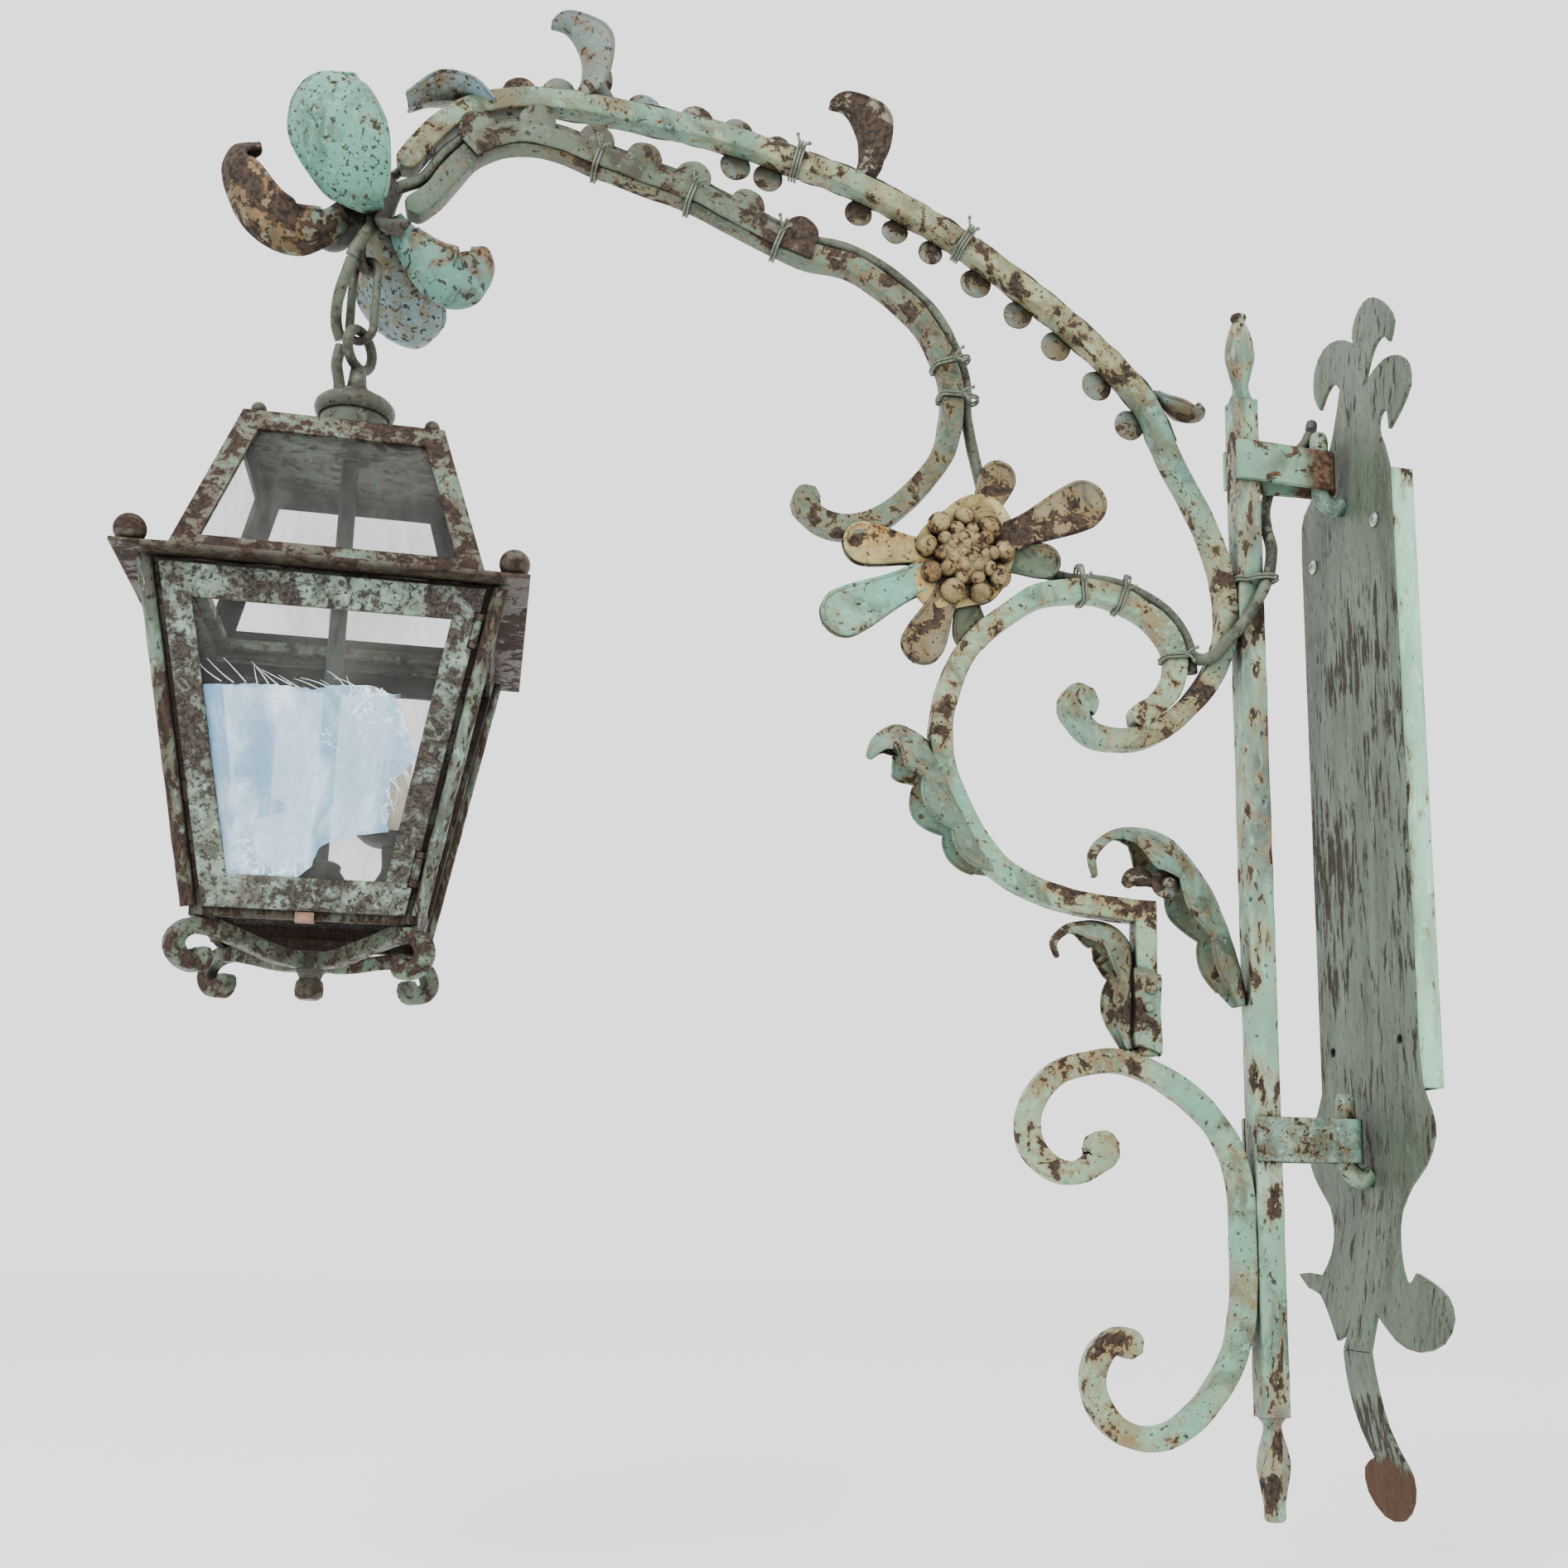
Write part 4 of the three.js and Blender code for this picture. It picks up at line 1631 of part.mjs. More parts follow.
// Supply cable, one length from the terminal block to the cap, in four pieces that meet where the work swings
const wallCableCurve = throughPoints([
  ...routeFrom(
    -blockWidth * 0.3, -channelWall - seat - blockDepth / 2, terminalHeight + blockHeight / 2 + 2 * seat,
    [[0, 0, 0], [0, 0, 1]],
  ),
  ...routeFrom(0, -pintleStandoff, upperStrapHeight, [
    [-1.9, 3.48, -9.6], [-2.8, 3.4, -5.33], [-3.9, 3.28, -1.3], [-4.8, 3.1, 1], [-4.7, 2.0, 3.2],
    [-3.3, 0.95, 4.5], [-1.8, 0.3, 5.2], [-0.94, -0.11, 5.06], [-0.89, -0.22, 4.56],
  ]),
]);
const linkCableCurve = throughPoints(routeFrom(0, lanternY, hookAxisHeight, [
  [1.66, -0.96, -0.11], [1.39, -1.39, -1.56], [0.67, -1.83, -3.22], [-0.5, -1.89, -4.56], [-0.82, -1.54, -5.56],
]));
const lanternCableCurve = throughPoints([
  ...routeFrom(0, lanternY, linkBottom, [
    [-0.82, -1.49, -0.22], [-0.67, -1.61, -1.2], [0, -1.56, -2.42], [0.67, -1.31, -3.53],
  ]),
  [cableEntryAcross, lanternY - cableEntryOut, capTop - seat],
  [cableEntryAcross, lanternY - cableEntryOut, capTop - cableEntryDepth],
]);
addPiece(wallParts, 'wall_cable', cable(wallCableCurve), colours.black);
addPiece(bracketParts, 'arm_cable', cable(armCableCurve), colours.cable);
addPiece(linkParts, 'link_cable', cable(linkCableCurve), colours.cable);
addPiece(lanternParts, 'lantern_cable', cable(lanternCableCurve).translate(0, -lanternY, 0), colours.cable);

function cable(curve, fuller = 0) {
  return tubeAlong(curve, cableDiameter + fuller, cableSides, Math.ceil(curve.getLength() / cableStep));
}

export default group;
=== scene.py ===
import math

import bpy
import bmesh
import numpy as np
from mathutils import Matrix, Vector, noise


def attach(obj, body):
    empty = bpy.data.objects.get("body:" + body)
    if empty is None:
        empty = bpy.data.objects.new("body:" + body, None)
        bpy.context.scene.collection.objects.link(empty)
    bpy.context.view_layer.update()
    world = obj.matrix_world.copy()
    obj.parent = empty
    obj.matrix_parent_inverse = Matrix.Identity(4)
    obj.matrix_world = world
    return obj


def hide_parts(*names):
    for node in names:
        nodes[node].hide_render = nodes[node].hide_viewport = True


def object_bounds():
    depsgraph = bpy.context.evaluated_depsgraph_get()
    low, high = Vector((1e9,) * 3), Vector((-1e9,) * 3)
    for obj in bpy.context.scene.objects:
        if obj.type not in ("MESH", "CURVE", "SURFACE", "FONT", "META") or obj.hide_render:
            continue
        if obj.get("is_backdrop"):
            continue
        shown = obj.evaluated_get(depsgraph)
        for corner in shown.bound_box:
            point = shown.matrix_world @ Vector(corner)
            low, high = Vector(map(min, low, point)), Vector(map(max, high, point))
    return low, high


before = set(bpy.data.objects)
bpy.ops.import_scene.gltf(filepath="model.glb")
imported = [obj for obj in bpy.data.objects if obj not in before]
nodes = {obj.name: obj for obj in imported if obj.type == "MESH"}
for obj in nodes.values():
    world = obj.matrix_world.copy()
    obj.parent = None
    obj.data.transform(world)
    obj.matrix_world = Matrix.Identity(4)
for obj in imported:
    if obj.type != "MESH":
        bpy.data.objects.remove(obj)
cad_low, cad_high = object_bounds()
MM = 0.001

# Camera at the photograph's viewing angle: focal length, sight line and frame in the photo's pixels
PHOTO_SIZE = 1893
FOCAL = 2156.55
SIGHT = (1086.52, 1042.68)
camera = bpy.data.objects.new("camera", bpy.data.cameras.new("camera"))
bpy.context.scene.collection.objects.link(camera)
right = Vector((0.23147709, 0.9727808, 0.01076444))
up = Vector((0.19791229, -0.05792183, 0.97850692))
forward = Vector((-0.95249624, 0.22437152, 0.20593285))
camera.matrix_world = Matrix((
    (right.x, up.x, -forward.x, 1.18106),
    (right.y, up.y, -forward.y, -0.64827),
    (right.z, up.z, -forward.z, -0.33379),
    (0, 0, 0, 1),
))
camera.data.sensor_width = 36
camera.data.lens = 36 * FOCAL / PHOTO_SIZE
camera.data.shift_x = -(SIGHT[0] - PHOTO_SIZE / 2) / PHOTO_SIZE
camera.data.shift_y = (SIGHT[1] - PHOTO_SIZE / 2) / PHOTO_SIZE
camera.data.clip_start = 0.01
camera.data.clip_end = 60
bpy.context.scene.camera = camera


MATERIALS = {}
SHARP = math.radians(40)


# ---- meshes

def make(name, parts, body, material, replaces=()):
    """One object from a list of (vertices in mm, faces), which rides on a body."""
    vertices, faces = [], []
    for some_vertices, some_faces in parts:
        base = len(vertices)
        vertices += [tuple(float(c) * MM for c in v) for v in some_vertices]
        faces += [tuple(base + i for i in f) for f in some_faces]
    mesh = bpy.data.meshes.new(name)
    mesh.from_pydata(vertices, [], faces)
    work = bmesh.new()
    work.from_mesh(mesh)
    bmesh.ops.recalc_face_normals(work, faces=work.faces)
    work.to_mesh(mesh)
    work.free()
    mesh.update()
    piece = bpy.data.objects.new(name, mesh)
    bpy.context.scene.collection.objects.link(piece)
    mesh.materials.append(MATERIALS[material])
    mesh.polygons.foreach_set("use_smooth", [True] * len(mesh.polygons))
    mesh.set_sharp_from_angle(angle=SHARP)
    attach(piece, body)
    if replaces:
        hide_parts(*replaces)


def unit(vectors):
    """The same directions with length one."""
    return vectors / np.linalg.norm(vectors, axis=-1, keepdims=True)


def run_of(points):
    """Length of a line up to each of its points."""
    return np.concatenate([[0], np.cumsum(np.linalg.norm(np.diff(points, axis=0), axis=1))])


def spline(points, per=16):
    """Centripetal Catmull-Rom through the points, as many samples in each span."""
    p = np.array(points, float)
    p = np.vstack([2 * p[0] - p[1], p, 2 * p[-1] - p[-2]])
    out = []
    for i in range(len(p) - 3):
        p0, p1, p2, p3 = p[i:i + 4]
        d0, d1, d2 = (max(np.linalg.norm(b - a), 1e-6) ** 0.5 for a, b in ((p0, p1), (p1, p2), (p2, p3)))
        t1 = ((p1 - p0) / d0 - (p2 - p0) / (d0 + d1) + (p2 - p1) / d1) * d1
        t2 = ((p2 - p1) / d1 - (p3 - p1) / (d1 + d2) + (p3 - p2) / d2) * d1
        for k in range(per):
            t = k / per
            out.append(p1 + t1 * t + (-3 * p1 + 3 * p2 - 2 * t1 - t2) * t * t
                       + (2 * p1 - 2 * p2 + t1 + t2) * t ** 3)
    out.append(p[-2])
    return np.array(out)


def spaced(points, step=None, count=None):
    """The same line with even steps."""
    p = np.array(points, float)
    run = run_of(p)
    if count is None:
        count = max(2, int(round(run[-1] / step)) + 1)
    at = np.linspace(0, run[-1], count)
    return np.stack([np.interp(at, run, p[:, k]) for k in range(p.shape[1])], 1)


def share(line, t):
    """Point and tangent at a share of a line's length."""
    p = np.array(line)
    run = run_of(p)
    d = t * run[-1]
    reach = 1.5
    point, before, after = (np.array([np.interp(at, run, p[:, k]) for k in range(3)])
                            for at in (d, max(d - reach, 0), min(d + reach, run[-1])))
    return point, unit(after - before)


def skin(rings, closed=False):
    """Faces over rings that all have the same count, with capped ends."""
    count = len(rings[0])
    vertices = [v for ring in rings for v in ring]
    faces = []
    total = len(rings)
    for r in range(total if closed else total - 1):
        for i in range(count):
            j = (i + 1) % count
            s = (r + 1) % total
            faces.append((r * count + i, r * count + j, s * count + j, s * count + i))
    if not closed:
        faces.append(tuple(range(count))[::-1])
        faces.append(tuple((total - 1) * count + i for i in range(count)))
    return vertices, faces


def tube(points, radius, sides, closed=False, bump=0.0, seed=0.0):
    """Round rod along a line; radius is a number or a function of the share of the length."""
    p = np.array(points, float)
    n = len(p)
    tangents = np.roll(p, -1, 0) - np.roll(p, 1, 0) if closed else np.gradient(p, axis=0)
    tangents = unit(tangents)
    ref = np.array([1.0, 0, 0]) if abs(tangents[0][0]) < 0.8 else np.array([0, 0, 1.0])
    side = unit(np.cross(tangents[0], ref))
    rings = []
    for k in range(n):
        side = unit(side - tangents[k] * np.dot(side, tangents[k]))
        other = np.cross(tangents[k], side)
        r = radius(k / (n - 1)) if callable(radius) else radius
        ring = []
        for i in range(sides):
            a = 2 * math.pi * i / sides
            rr = r
            if bump:
                rr += bump * noise.noise(Vector(p[k]) * 0.09 + Vector((seed, a, 0)))
            ring.append(p[k] + (side * math.cos(a) + other * math.sin(a)) * rr)
        rings.append(ring)
    return skin(rings, closed)


def hoop(points, radius, sides, per=6, step=1.6, bump=0.0):
    """Closed rod through the points."""
    return tube(spaced(spline(points + points[:1], per=per), step)[:-1], radius, sides, closed=True, bump=bump)


def bar(line, half_width, depth, wobble, corner=1.6):
    """Forged bar of round-cornered section along a line in the bracket's plane, depth to either side of it."""
    p = np.array(line, float)
    tangents = unit(np.gradient(p, axis=0))
    run = run_of(p)
    rings = []
    for k in range(len(p)):
        side = np.array([0, -tangents[k][2], tangents[k][1]])
        w = half_width(run[k], run[-1]) + wobble * noise.noise(Vector(p[k]) * 0.05)
        d = min(depth, depth - 0.2 + wobble * noise.noise(Vector(p[k]) * 0.04 + Vector((9, 0, 0))))
        c = min(corner, w * 0.6, d * 0.6)
        ring = []
        for sy, sx, start in ((1, 1, 0), (-1, 1, 90), (-1, -1, 180), (1, -1, 270)):
            for m in range(4):
                a = math.radians(start + 30 * m)
                across = sy * (w - c) + c * math.cos(a)
                out = sx * (d - c) + c * math.sin(a)
                ring.append(p[k] + side * across + np.array([out, 0, 0]))
        rings.append(ring)
    return skin(rings)


def snub_half(distance, snub, half):
    """Half width at a distance from a bar's end, where the end is a round snub of its own radius."""
    if snub <= 0:
        return half
    if distance < snub:
        return math.sqrt(max(0.3, snub * snub - (snub - distance) ** 2))
    fade = min(1, (distance - snub) / (snub * 1.2))
    return snub + (half - snub) * fade * fade * (3 - 2 * fade)


def ends(start, end, half):
    """Half width of a bar with round snub ends."""
    def width(run, length):
        return snub_half(run, start, half) if run < length / 2 else snub_half(length - run, end, half)
    return width


def lathe(profile, centre, sides, closed=False, bump=0.0):
    """Turned body about Z from (radius, height) pairs."""
    rings = []
    for r, z in profile:
        ring = []
        for i in range(sides):
            a = 2 * math.pi * i / sides
            rr = max(r, 0.02)
            if bump and r > 0.5:
                rr += bump * noise.noise(Vector((math.cos(a) * 2 + centre[0], math.sin(a) * 2, z * 0.12)))
            ring.append((centre[0] + rr * math.cos(a), centre[1] + rr * math.sin(a), centre[2] + z))
        rings.append(ring)
    return skin(rings, closed)


def curved(profile, per=5):
    """Smooth profile through a turned body's (radius, height) pairs."""
    return spline([(r, z, 0) for r, z in profile], per=per)[:, :2]


def globe(radius, centre, sides, squash=1.0):
    """Ball, or a flattened one."""
    rows = [(radius * math.sin(math.pi * k / 12), -radius * squash * math.cos(math.pi * k / 12)) for k in range(13)]
    return lathe(rows, centre, sides)


def blade(place, across, along, thickness, ripple=0.0, seed=0.0):
    """A closed sheet: place(u, v) gives a point for u and v from 0 to 1."""
    grid = np.array([[place(i / across, j / along) for i in range(across + 1)] for j in range(along + 1)], float)
    du = np.gradient(grid, axis=1)
    dv = np.gradient(grid, axis=0)
    normal = np.cross(du, dv)
    normal /= np.maximum(np.linalg.norm(normal, axis=2), 1e-9)[:, :, None]
    if ripple:
        for j in range(along + 1):
            for i in range(across + 1):
                grid[j, i] += normal[j, i] * ripple * noise.noise(Vector(grid[j, i]) * 0.08 + Vector((seed, 0, 0)))
    width = across + 1
    count = width * (along + 1)
    rim_thin = np.ones((along + 1, width))
    rim_thin[0] = rim_thin[-1] = 0.6
    rim_thin[:, 0] = rim_thin[:, -1] = 0.6
    top = grid + normal * (thickness / 2) * rim_thin[:, :, None]
    under = grid - normal * (thickness / 2) * rim_thin[:, :, None]
    vertices = list(top.reshape(-1, 3)) + list(under.reshape(-1, 3))
    faces = []
    for j in range(along):
        for i in range(across):
            a = j * width + i
            faces.append((a, a + 1, a + width + 1, a + width))
            faces.append((count + a, count + a + width, count + a + width + 1, count + a + 1))
    rim = list(range(across)) + [j * width + across for j in range(along)]
    rim += [along * width + i for i in range(across, 0, -1)] + [j * width for j in range(along, 0, -1)]
    for k, a in enumerate(rim):
        b = rim[(k + 1) % len(rim)]
        faces.append((a, count + a, count + b, b))
    return vertices, faces


def moved(part, matrix):
    """The same vertices through a matrix, with the same faces."""
    vertices, faces = part
    return [tuple(matrix @ Vector(v)) for v in vertices], faces


# ---- the same driving sizes as the CAD

REACH, POST_Y, SPAN = 650.0, -104.0, 900.0
LANTERN_Y = POST_Y - REACH
AXIS = (0, LANTERN_Y, 0)
FLOWER = (0, LANTERN_Y, 362)
HOOK_BEND = 318
PINTLE = (0, -40, 248)
# Half a bar, a sheet's and a leaf's distance from a bar's middle, and the cable's thickness and distance
BAR, ON_BAR, LEAF_ON_BAR, CABLE, CABLE_ON_BAR = 8, 9.3, 10.3, 9, 13.7
# Foot of the leaning lantern body, half its width there, how much wider it gets, and over what rise
BODY_LOW, BODY_HALF, BODY_SPREAD, BODY_RISE = -144, 66, 37, 203.1
CORNICE_LOW, CORNICE_TOP, ROOF_RISE, SEAT_GAP = 60, 63, 115, 0.3
CAP_BASE = CORNICE_TOP + ROOF_RISE + SEAT_GAP


def laid(shares):
    """Line in the bracket's plane through shares of its reach and height."""
    return spline([(0, POST_Y - a * REACH, h * SPAN) for a, h in shares], per=14)


MAIN = laid([
    (0.192, 0.064), (0.212, 0.047), (0.195, 0.029), (0.160, 0.025), (0.124, 0.031), (0.088, 0.050), (0.057, 0.075),
    (0.038, 0.100), (0.0280, 0.124), (0.0280, 0.152), (0.034, 0.180), (0.050, 0.214), (0.068, 0.240),
    (0.092, 0.272), (0.121, 0.320), (0.160, 0.351), (0.224, 0.389), (0.288, 0.421), (0.352, 0.449),
    (0.414, 0.471), (0.477, 0.488), (0.540, 0.499), (0.615, 0.511), (0.675, 0.516), (0.735, 0.519),
    (0.796, 0.521), (0.850, 0.517), (0.895, 0.506), (0.925, 0.490), (0.948, 0.470), (0.972, 0.442)])
LOWER = laid([
    (0.512, 0.212), (0.521, 0.200), (0.508, 0.188), (0.486, 0.183), (0.463, 0.185), (0.434, 0.195), (0.408, 0.212),
    (0.385, 0.232), (0.365, 0.256), (0.356, 0.289), (0.357, 0.318), (0.371, 0.346), (0.397, 0.374), (0.436, 0.396),
    (0.474, 0.411), (0.528, 0.416), (0.562, 0.424), (0.613, 0.439), (0.659, 0.453), (0.713, 0.463), (0.764, 0.472),
    (0.804, 0.481), (0.838, 0.483), (0.875, 0.476), (0.900, 0.463), (0.920, 0.443), (0.936, 0.424), (0.962, 0.405)])
MIDDLE = laid([
    (0.145, 0.040), (0.126, 0.0505), (0.100, 0.070), (0.091, 0.090), (0.095, 0.109), (0.112, 0.126), (0.135, 0.137),
    (0.160, 0.145), (0.194, 0.149), (0.228, 0.146), (0.257, 0.140), (0.288, 0.124), (0.317, 0.106), (0.337, 0.089),
    (0.351, 0.069), (0.362, 0.043), (0.366, 0.023), (0.365, 0.002), (0.358, -0.018), (0.345, -0.040),
    (0.328, -0.062), (0.303, -0.084), (0.268, -0.099), (0.222, -0.109), (0.175, -0.1135), (0.135, -0.1155)])
FOOT = laid([
    (0.200, -0.292), (0.186, -0.303), (0.205, -0.317), (0.226, -0.320), (0.249, -0.313), (0.265, -0.299),
    (0.268, -0.279), (0.257, -0.260), (0.235, -0.244), (0.203, -0.2365), (0.171, -0.2335), (0.138, -0.239),
    (0.106, -0.250), (0.074, -0.267), (0.048, -0.289), (0.035, -0.310), (0.0280, -0.337), (0.0280, -0.369),
    (0.0280, -0.401), (0.032, -0.429), (0.043, -0.457), (0.066, -0.483), (0.092, -0.502), (0.120, -0.513),
    (0.148, -0.514), (0.175, -0.506), (0.195, -0.487), (0.199, -0.468), (0.188, -0.450), (0.169, -0.443),
    (0.148, -0.452)])


def side_of(tangent):
    """Upward side of a bar that runs outward."""
    return unit(np.array([0, tangent[2], -tangent[1]]))


def at_reach(line, reach_share, low):
    """Share of a line's length nearest to a reach share, above a height."""
    p = np.array(line)
    run = run_of(p)
    gap = np.abs(p[:, 1] - (POST_Y - reach_share * REACH))
    gap[p[:, 2] <= low] = 1e9
    return run[int(gap.argmin())] / run[-1]


# ---- materials

class Shader:
    """A Principled material that is built node by node."""

    def __init__(self, name):
        material = MATERIALS[name] = bpy.data.materials.new(name)
        material.use_nodes = True
        self.tree = material.node_tree
        self.surface = self.tree.nodes["Principled BSDF"]
        self.place = self.tree.nodes.new("ShaderNodeTexCoord").outputs["Object"]
        self.rounded = None

    def feed(self, node, inputs):
        """Link each input to a socket, or set it to a value."""
        for key, value in inputs.items():
            if isinstance(value, bpy.types.NodeSocket):
                self.tree.links.new(value, node.inputs[key])
            else:
                node.inputs[key].default_value = value

    def node(self, kind, inputs, **settings):
        """Outputs of a new node with these settings and inputs."""
        made = self.tree.nodes.new(kind)
        for key, value in settings.items():
            setattr(made, key, value)
        self.feed(made, inputs)
        return made.outputs

    def stretched(self, streak):
        """Object coordinates drawn out along Z."""
        return self.node("ShaderNodeMapping", {"Scale": (1.0, 1.0, 1.0 / streak), "Vector": self.place})["Vector"]

    def noise(self, scale, detail=6.0, rough=0.6, distort=0.0, place=None, shift=0.0):
        """Noise in four dimensions; shift gives another pattern of the same kind."""
        return self.node("ShaderNodeTexNoise", {
            "W": shift, "Scale": scale, "Detail": detail, "Roughness": rough, "Distortion": distort,
            "Vector": place or self.place}, noise_dimensions="4D")["Fac"]

    def ramp(self, source, low, high, out_low=0.0, out_high=1.0):
        """Smooth step of a value from one range to another."""
        return self.node("ShaderNodeMapRange", {
            "From Min": low, "From Max": high, "To Min": out_low, "To Max": out_high, "Value": source},
            clamp=True, interpolation_type="SMOOTHSTEP")["Result"]

    def math(self, what, a, b):
        return self.node("ShaderNodeMath", {0: a, 1: b}, operation=what)[0]

    def mix(self, factor, a, b):
        a, b = ((*c, 1.0) if isinstance(c, tuple) else c for c in (a, b))
        return self.node("ShaderNodeMix", {0: factor, 6: a, 7: b}, data_type="RGBA")[2]

    def above(self, axis, scale, detail, amount, *more):
        """Object coordinate along an axis, made ragged by noise."""
        split = self.node("ShaderNodeSeparateXYZ", {0: self.place})
        return self.math("ADD", split[axis], self.math("MULTIPLY", self.noise(scale, detail, *more), amount))

    def edges(self, radius):
        """One on outer edges, zero on faces; bump then rounds the edges by the same radius."""
        self.rounded = self.node("ShaderNodeBevel", {"Radius": radius}, samples=4)["Normal"]
        flat = self.node("ShaderNodeNewGeometry", {})["Normal"]
        dot = self.node("ShaderNodeVectorMath", {0: self.rounded, 1: flat}, operation="DOT_PRODUCT")["Value"]
        return self.ramp(self.math("SUBTRACT", 1.0, dot), 0.01, 0.16)

    def painted_corner_shade(self, distance):
        """Zero in corners and folds, one on open faces: the mask for painted shade in corners and folds."""
        made = self.node("ShaderNodeAmbientOcclusion", {"Distance": distance}, samples=4)
        return self.ramp(made["AO"], 0.25, 0.85)

    def finish(self, colour, rough, **more):
        """Colour, roughness and any other input of the surface; an underscore stands for a blank."""
        self.feed(self.surface, {"Base Color": colour, "Roughness": rough,
                                 **{key.replace("_", " "): value for key, value in more.items()}})

    def bump(self, height, strength, distance):
        inputs = {"Height": height, "Strength": strength, "Distance": distance}
        if self.rounded:
            inputs["Normal"] = self.rounded
        self.feed(self.surface, {"Normal": self.node("ShaderNodeBump", inputs)["Normal"]})


RUST = ((0.013, 0.010, 0.008), (0.052, 0.034, 0.023))
DARK = ((0.012, 0.011, 0.008), (0.040, 0.035, 0.026))
BARE = ((0.013, 0.009, 0.007), (0.046, 0.027, 0.019))
DULL, GLOSSY = 0.18, 0.25
EDGE = RELIEF = 0.0016


def aged(name, tones, stain, cover, size, seed, rust=RUST, streak=1.0, edge=0.6, patch=9, spots=0.5,
         stain_reach=0.10, grime=0.75, shade_reach=0.02, rust_under=None):
    """Old brushed paint over iron: tones drift, dirt lies in patches, painted shade darkens folds and corners, rust
    shows in chips and on edges.

    cover is how much is chipped, size the scale of the chips and patch that of the drift. The occlusion
    distance is how far painted shade reaches out of a corner. Below the height rust_under it is rust all over.
    """
    s = Shader(name)
    tones = [tuple(1.05 * c + 0.012 for c in tone) for tone in tones]
    along = s.stretched(streak) if streak != 1.0 else s.place
    wide = s.noise(patch, 4, 0.55, 0.6, None, seed)
    middle = s.noise(size * 0.33, 6, 0.62, 0.3, along, seed + 1)
    fine = s.noise(size * 4.5, 5, 0.65, 0.0, along, seed + 2)
    paint = s.mix(s.ramp(wide, 0.40, 0.60), tones[0], tones[1])
    paint = s.mix(s.ramp(middle, 0.45, 0.66), paint, tones[2])
    soil = s.noise(patch * 3.1, 7, 0.66, 0.8, along, seed + 6)
    dirt = tuple(0.40 * c for c in tones[2])
    paint = s.mix(s.ramp(soil, 0.48, 0.64, 0.0, grime), paint, dirt)
    chalk = tuple(min(1.0, 1.35 * c + 0.02) for c in tones[0])
    paint = s.mix(s.ramp(s.noise(size * 2.1, 5, 0.6, 0.1, along, seed + 7), 0.56, 0.64, 0.0, 0.6), paint, chalk)
    chips = s.math("ADD", s.noise(size, 10, 0.68, 0.5, along, seed + 3), s.math("MULTIPLY", wide, 0.60))
    chips = s.math("ADD", chips, s.math("MULTIPLY", fine, 0.10))
    low = 1.06 - 0.42 * cover
    chip = s.ramp(chips, low, low + 0.02)
    around = s.ramp(chips, low - stain_reach, low + 0.01, 0.0, 0.75)
    pits = s.ramp(s.noise(size * 3.4, 6, 0.62, 0.3, along, seed + 4), 0.655 - 0.10 * spots, 0.675 - 0.10 * spots)
    worn = s.math("MULTIPLY", s.edges(EDGE), s.ramp(middle, 0.40, 0.60, 0.12, 1.0))
    bare = s.math("MAXIMUM", s.math("MAXIMUM", chip, s.math("MULTIPLY", pits, 0.9)), s.math("MULTIPLY", worn, edge))
    metal_colour = s.mix(s.ramp(fine, 0.40, 0.60), rust[0], rust[1])
    if rust_under:
        foot = s.ramp(s.above("Z", 45, 7, 0.05, 0.65, 0.4, None, 9.0), rust_under, rust_under - 0.008)
        bare = s.math("MAXIMUM", bare, s.math("MULTIPLY", foot, 0.92))
        orange = s.mix(s.ramp(fine, 0.35, 0.65), (0.028, 0.011, 0.006), (0.080, 0.034, 0.016))
        metal_colour = s.mix(foot, metal_colour, orange)
    paint = s.mix(around, paint, stain)
    paint = s.mix(bare, paint, metal_colour)
    shade = tuple(0.22 * c for c in rust[1])
    rough = s.math("ADD", s.math("MULTIPLY", fine, 0.5), s.math("MULTIPLY", bare, 0.5))
    # Painted shade: paint turns to a dark shade colour in corners and folds, as far out as the occlusion distance.
    s.finish(s.mix(s.painted_corner_shade(shade_reach), shade, paint), s.ramp(rough, 0.2, 0.8, 0.42, 0.85), Specular_IOR_Level=DULL)
    height = s.math("ADD", s.math("MULTIPLY", s.noise(size * 0.45, 3, 0.5, 0.0, None, seed + 5), 1.1),
                    s.math("MULTIPLY", fine, 0.35))
    height = s.math("SUBTRACT", height, s.math("MULTIPLY", bare, 0.45))
    s.bump(height, 0.9, RELIEF)


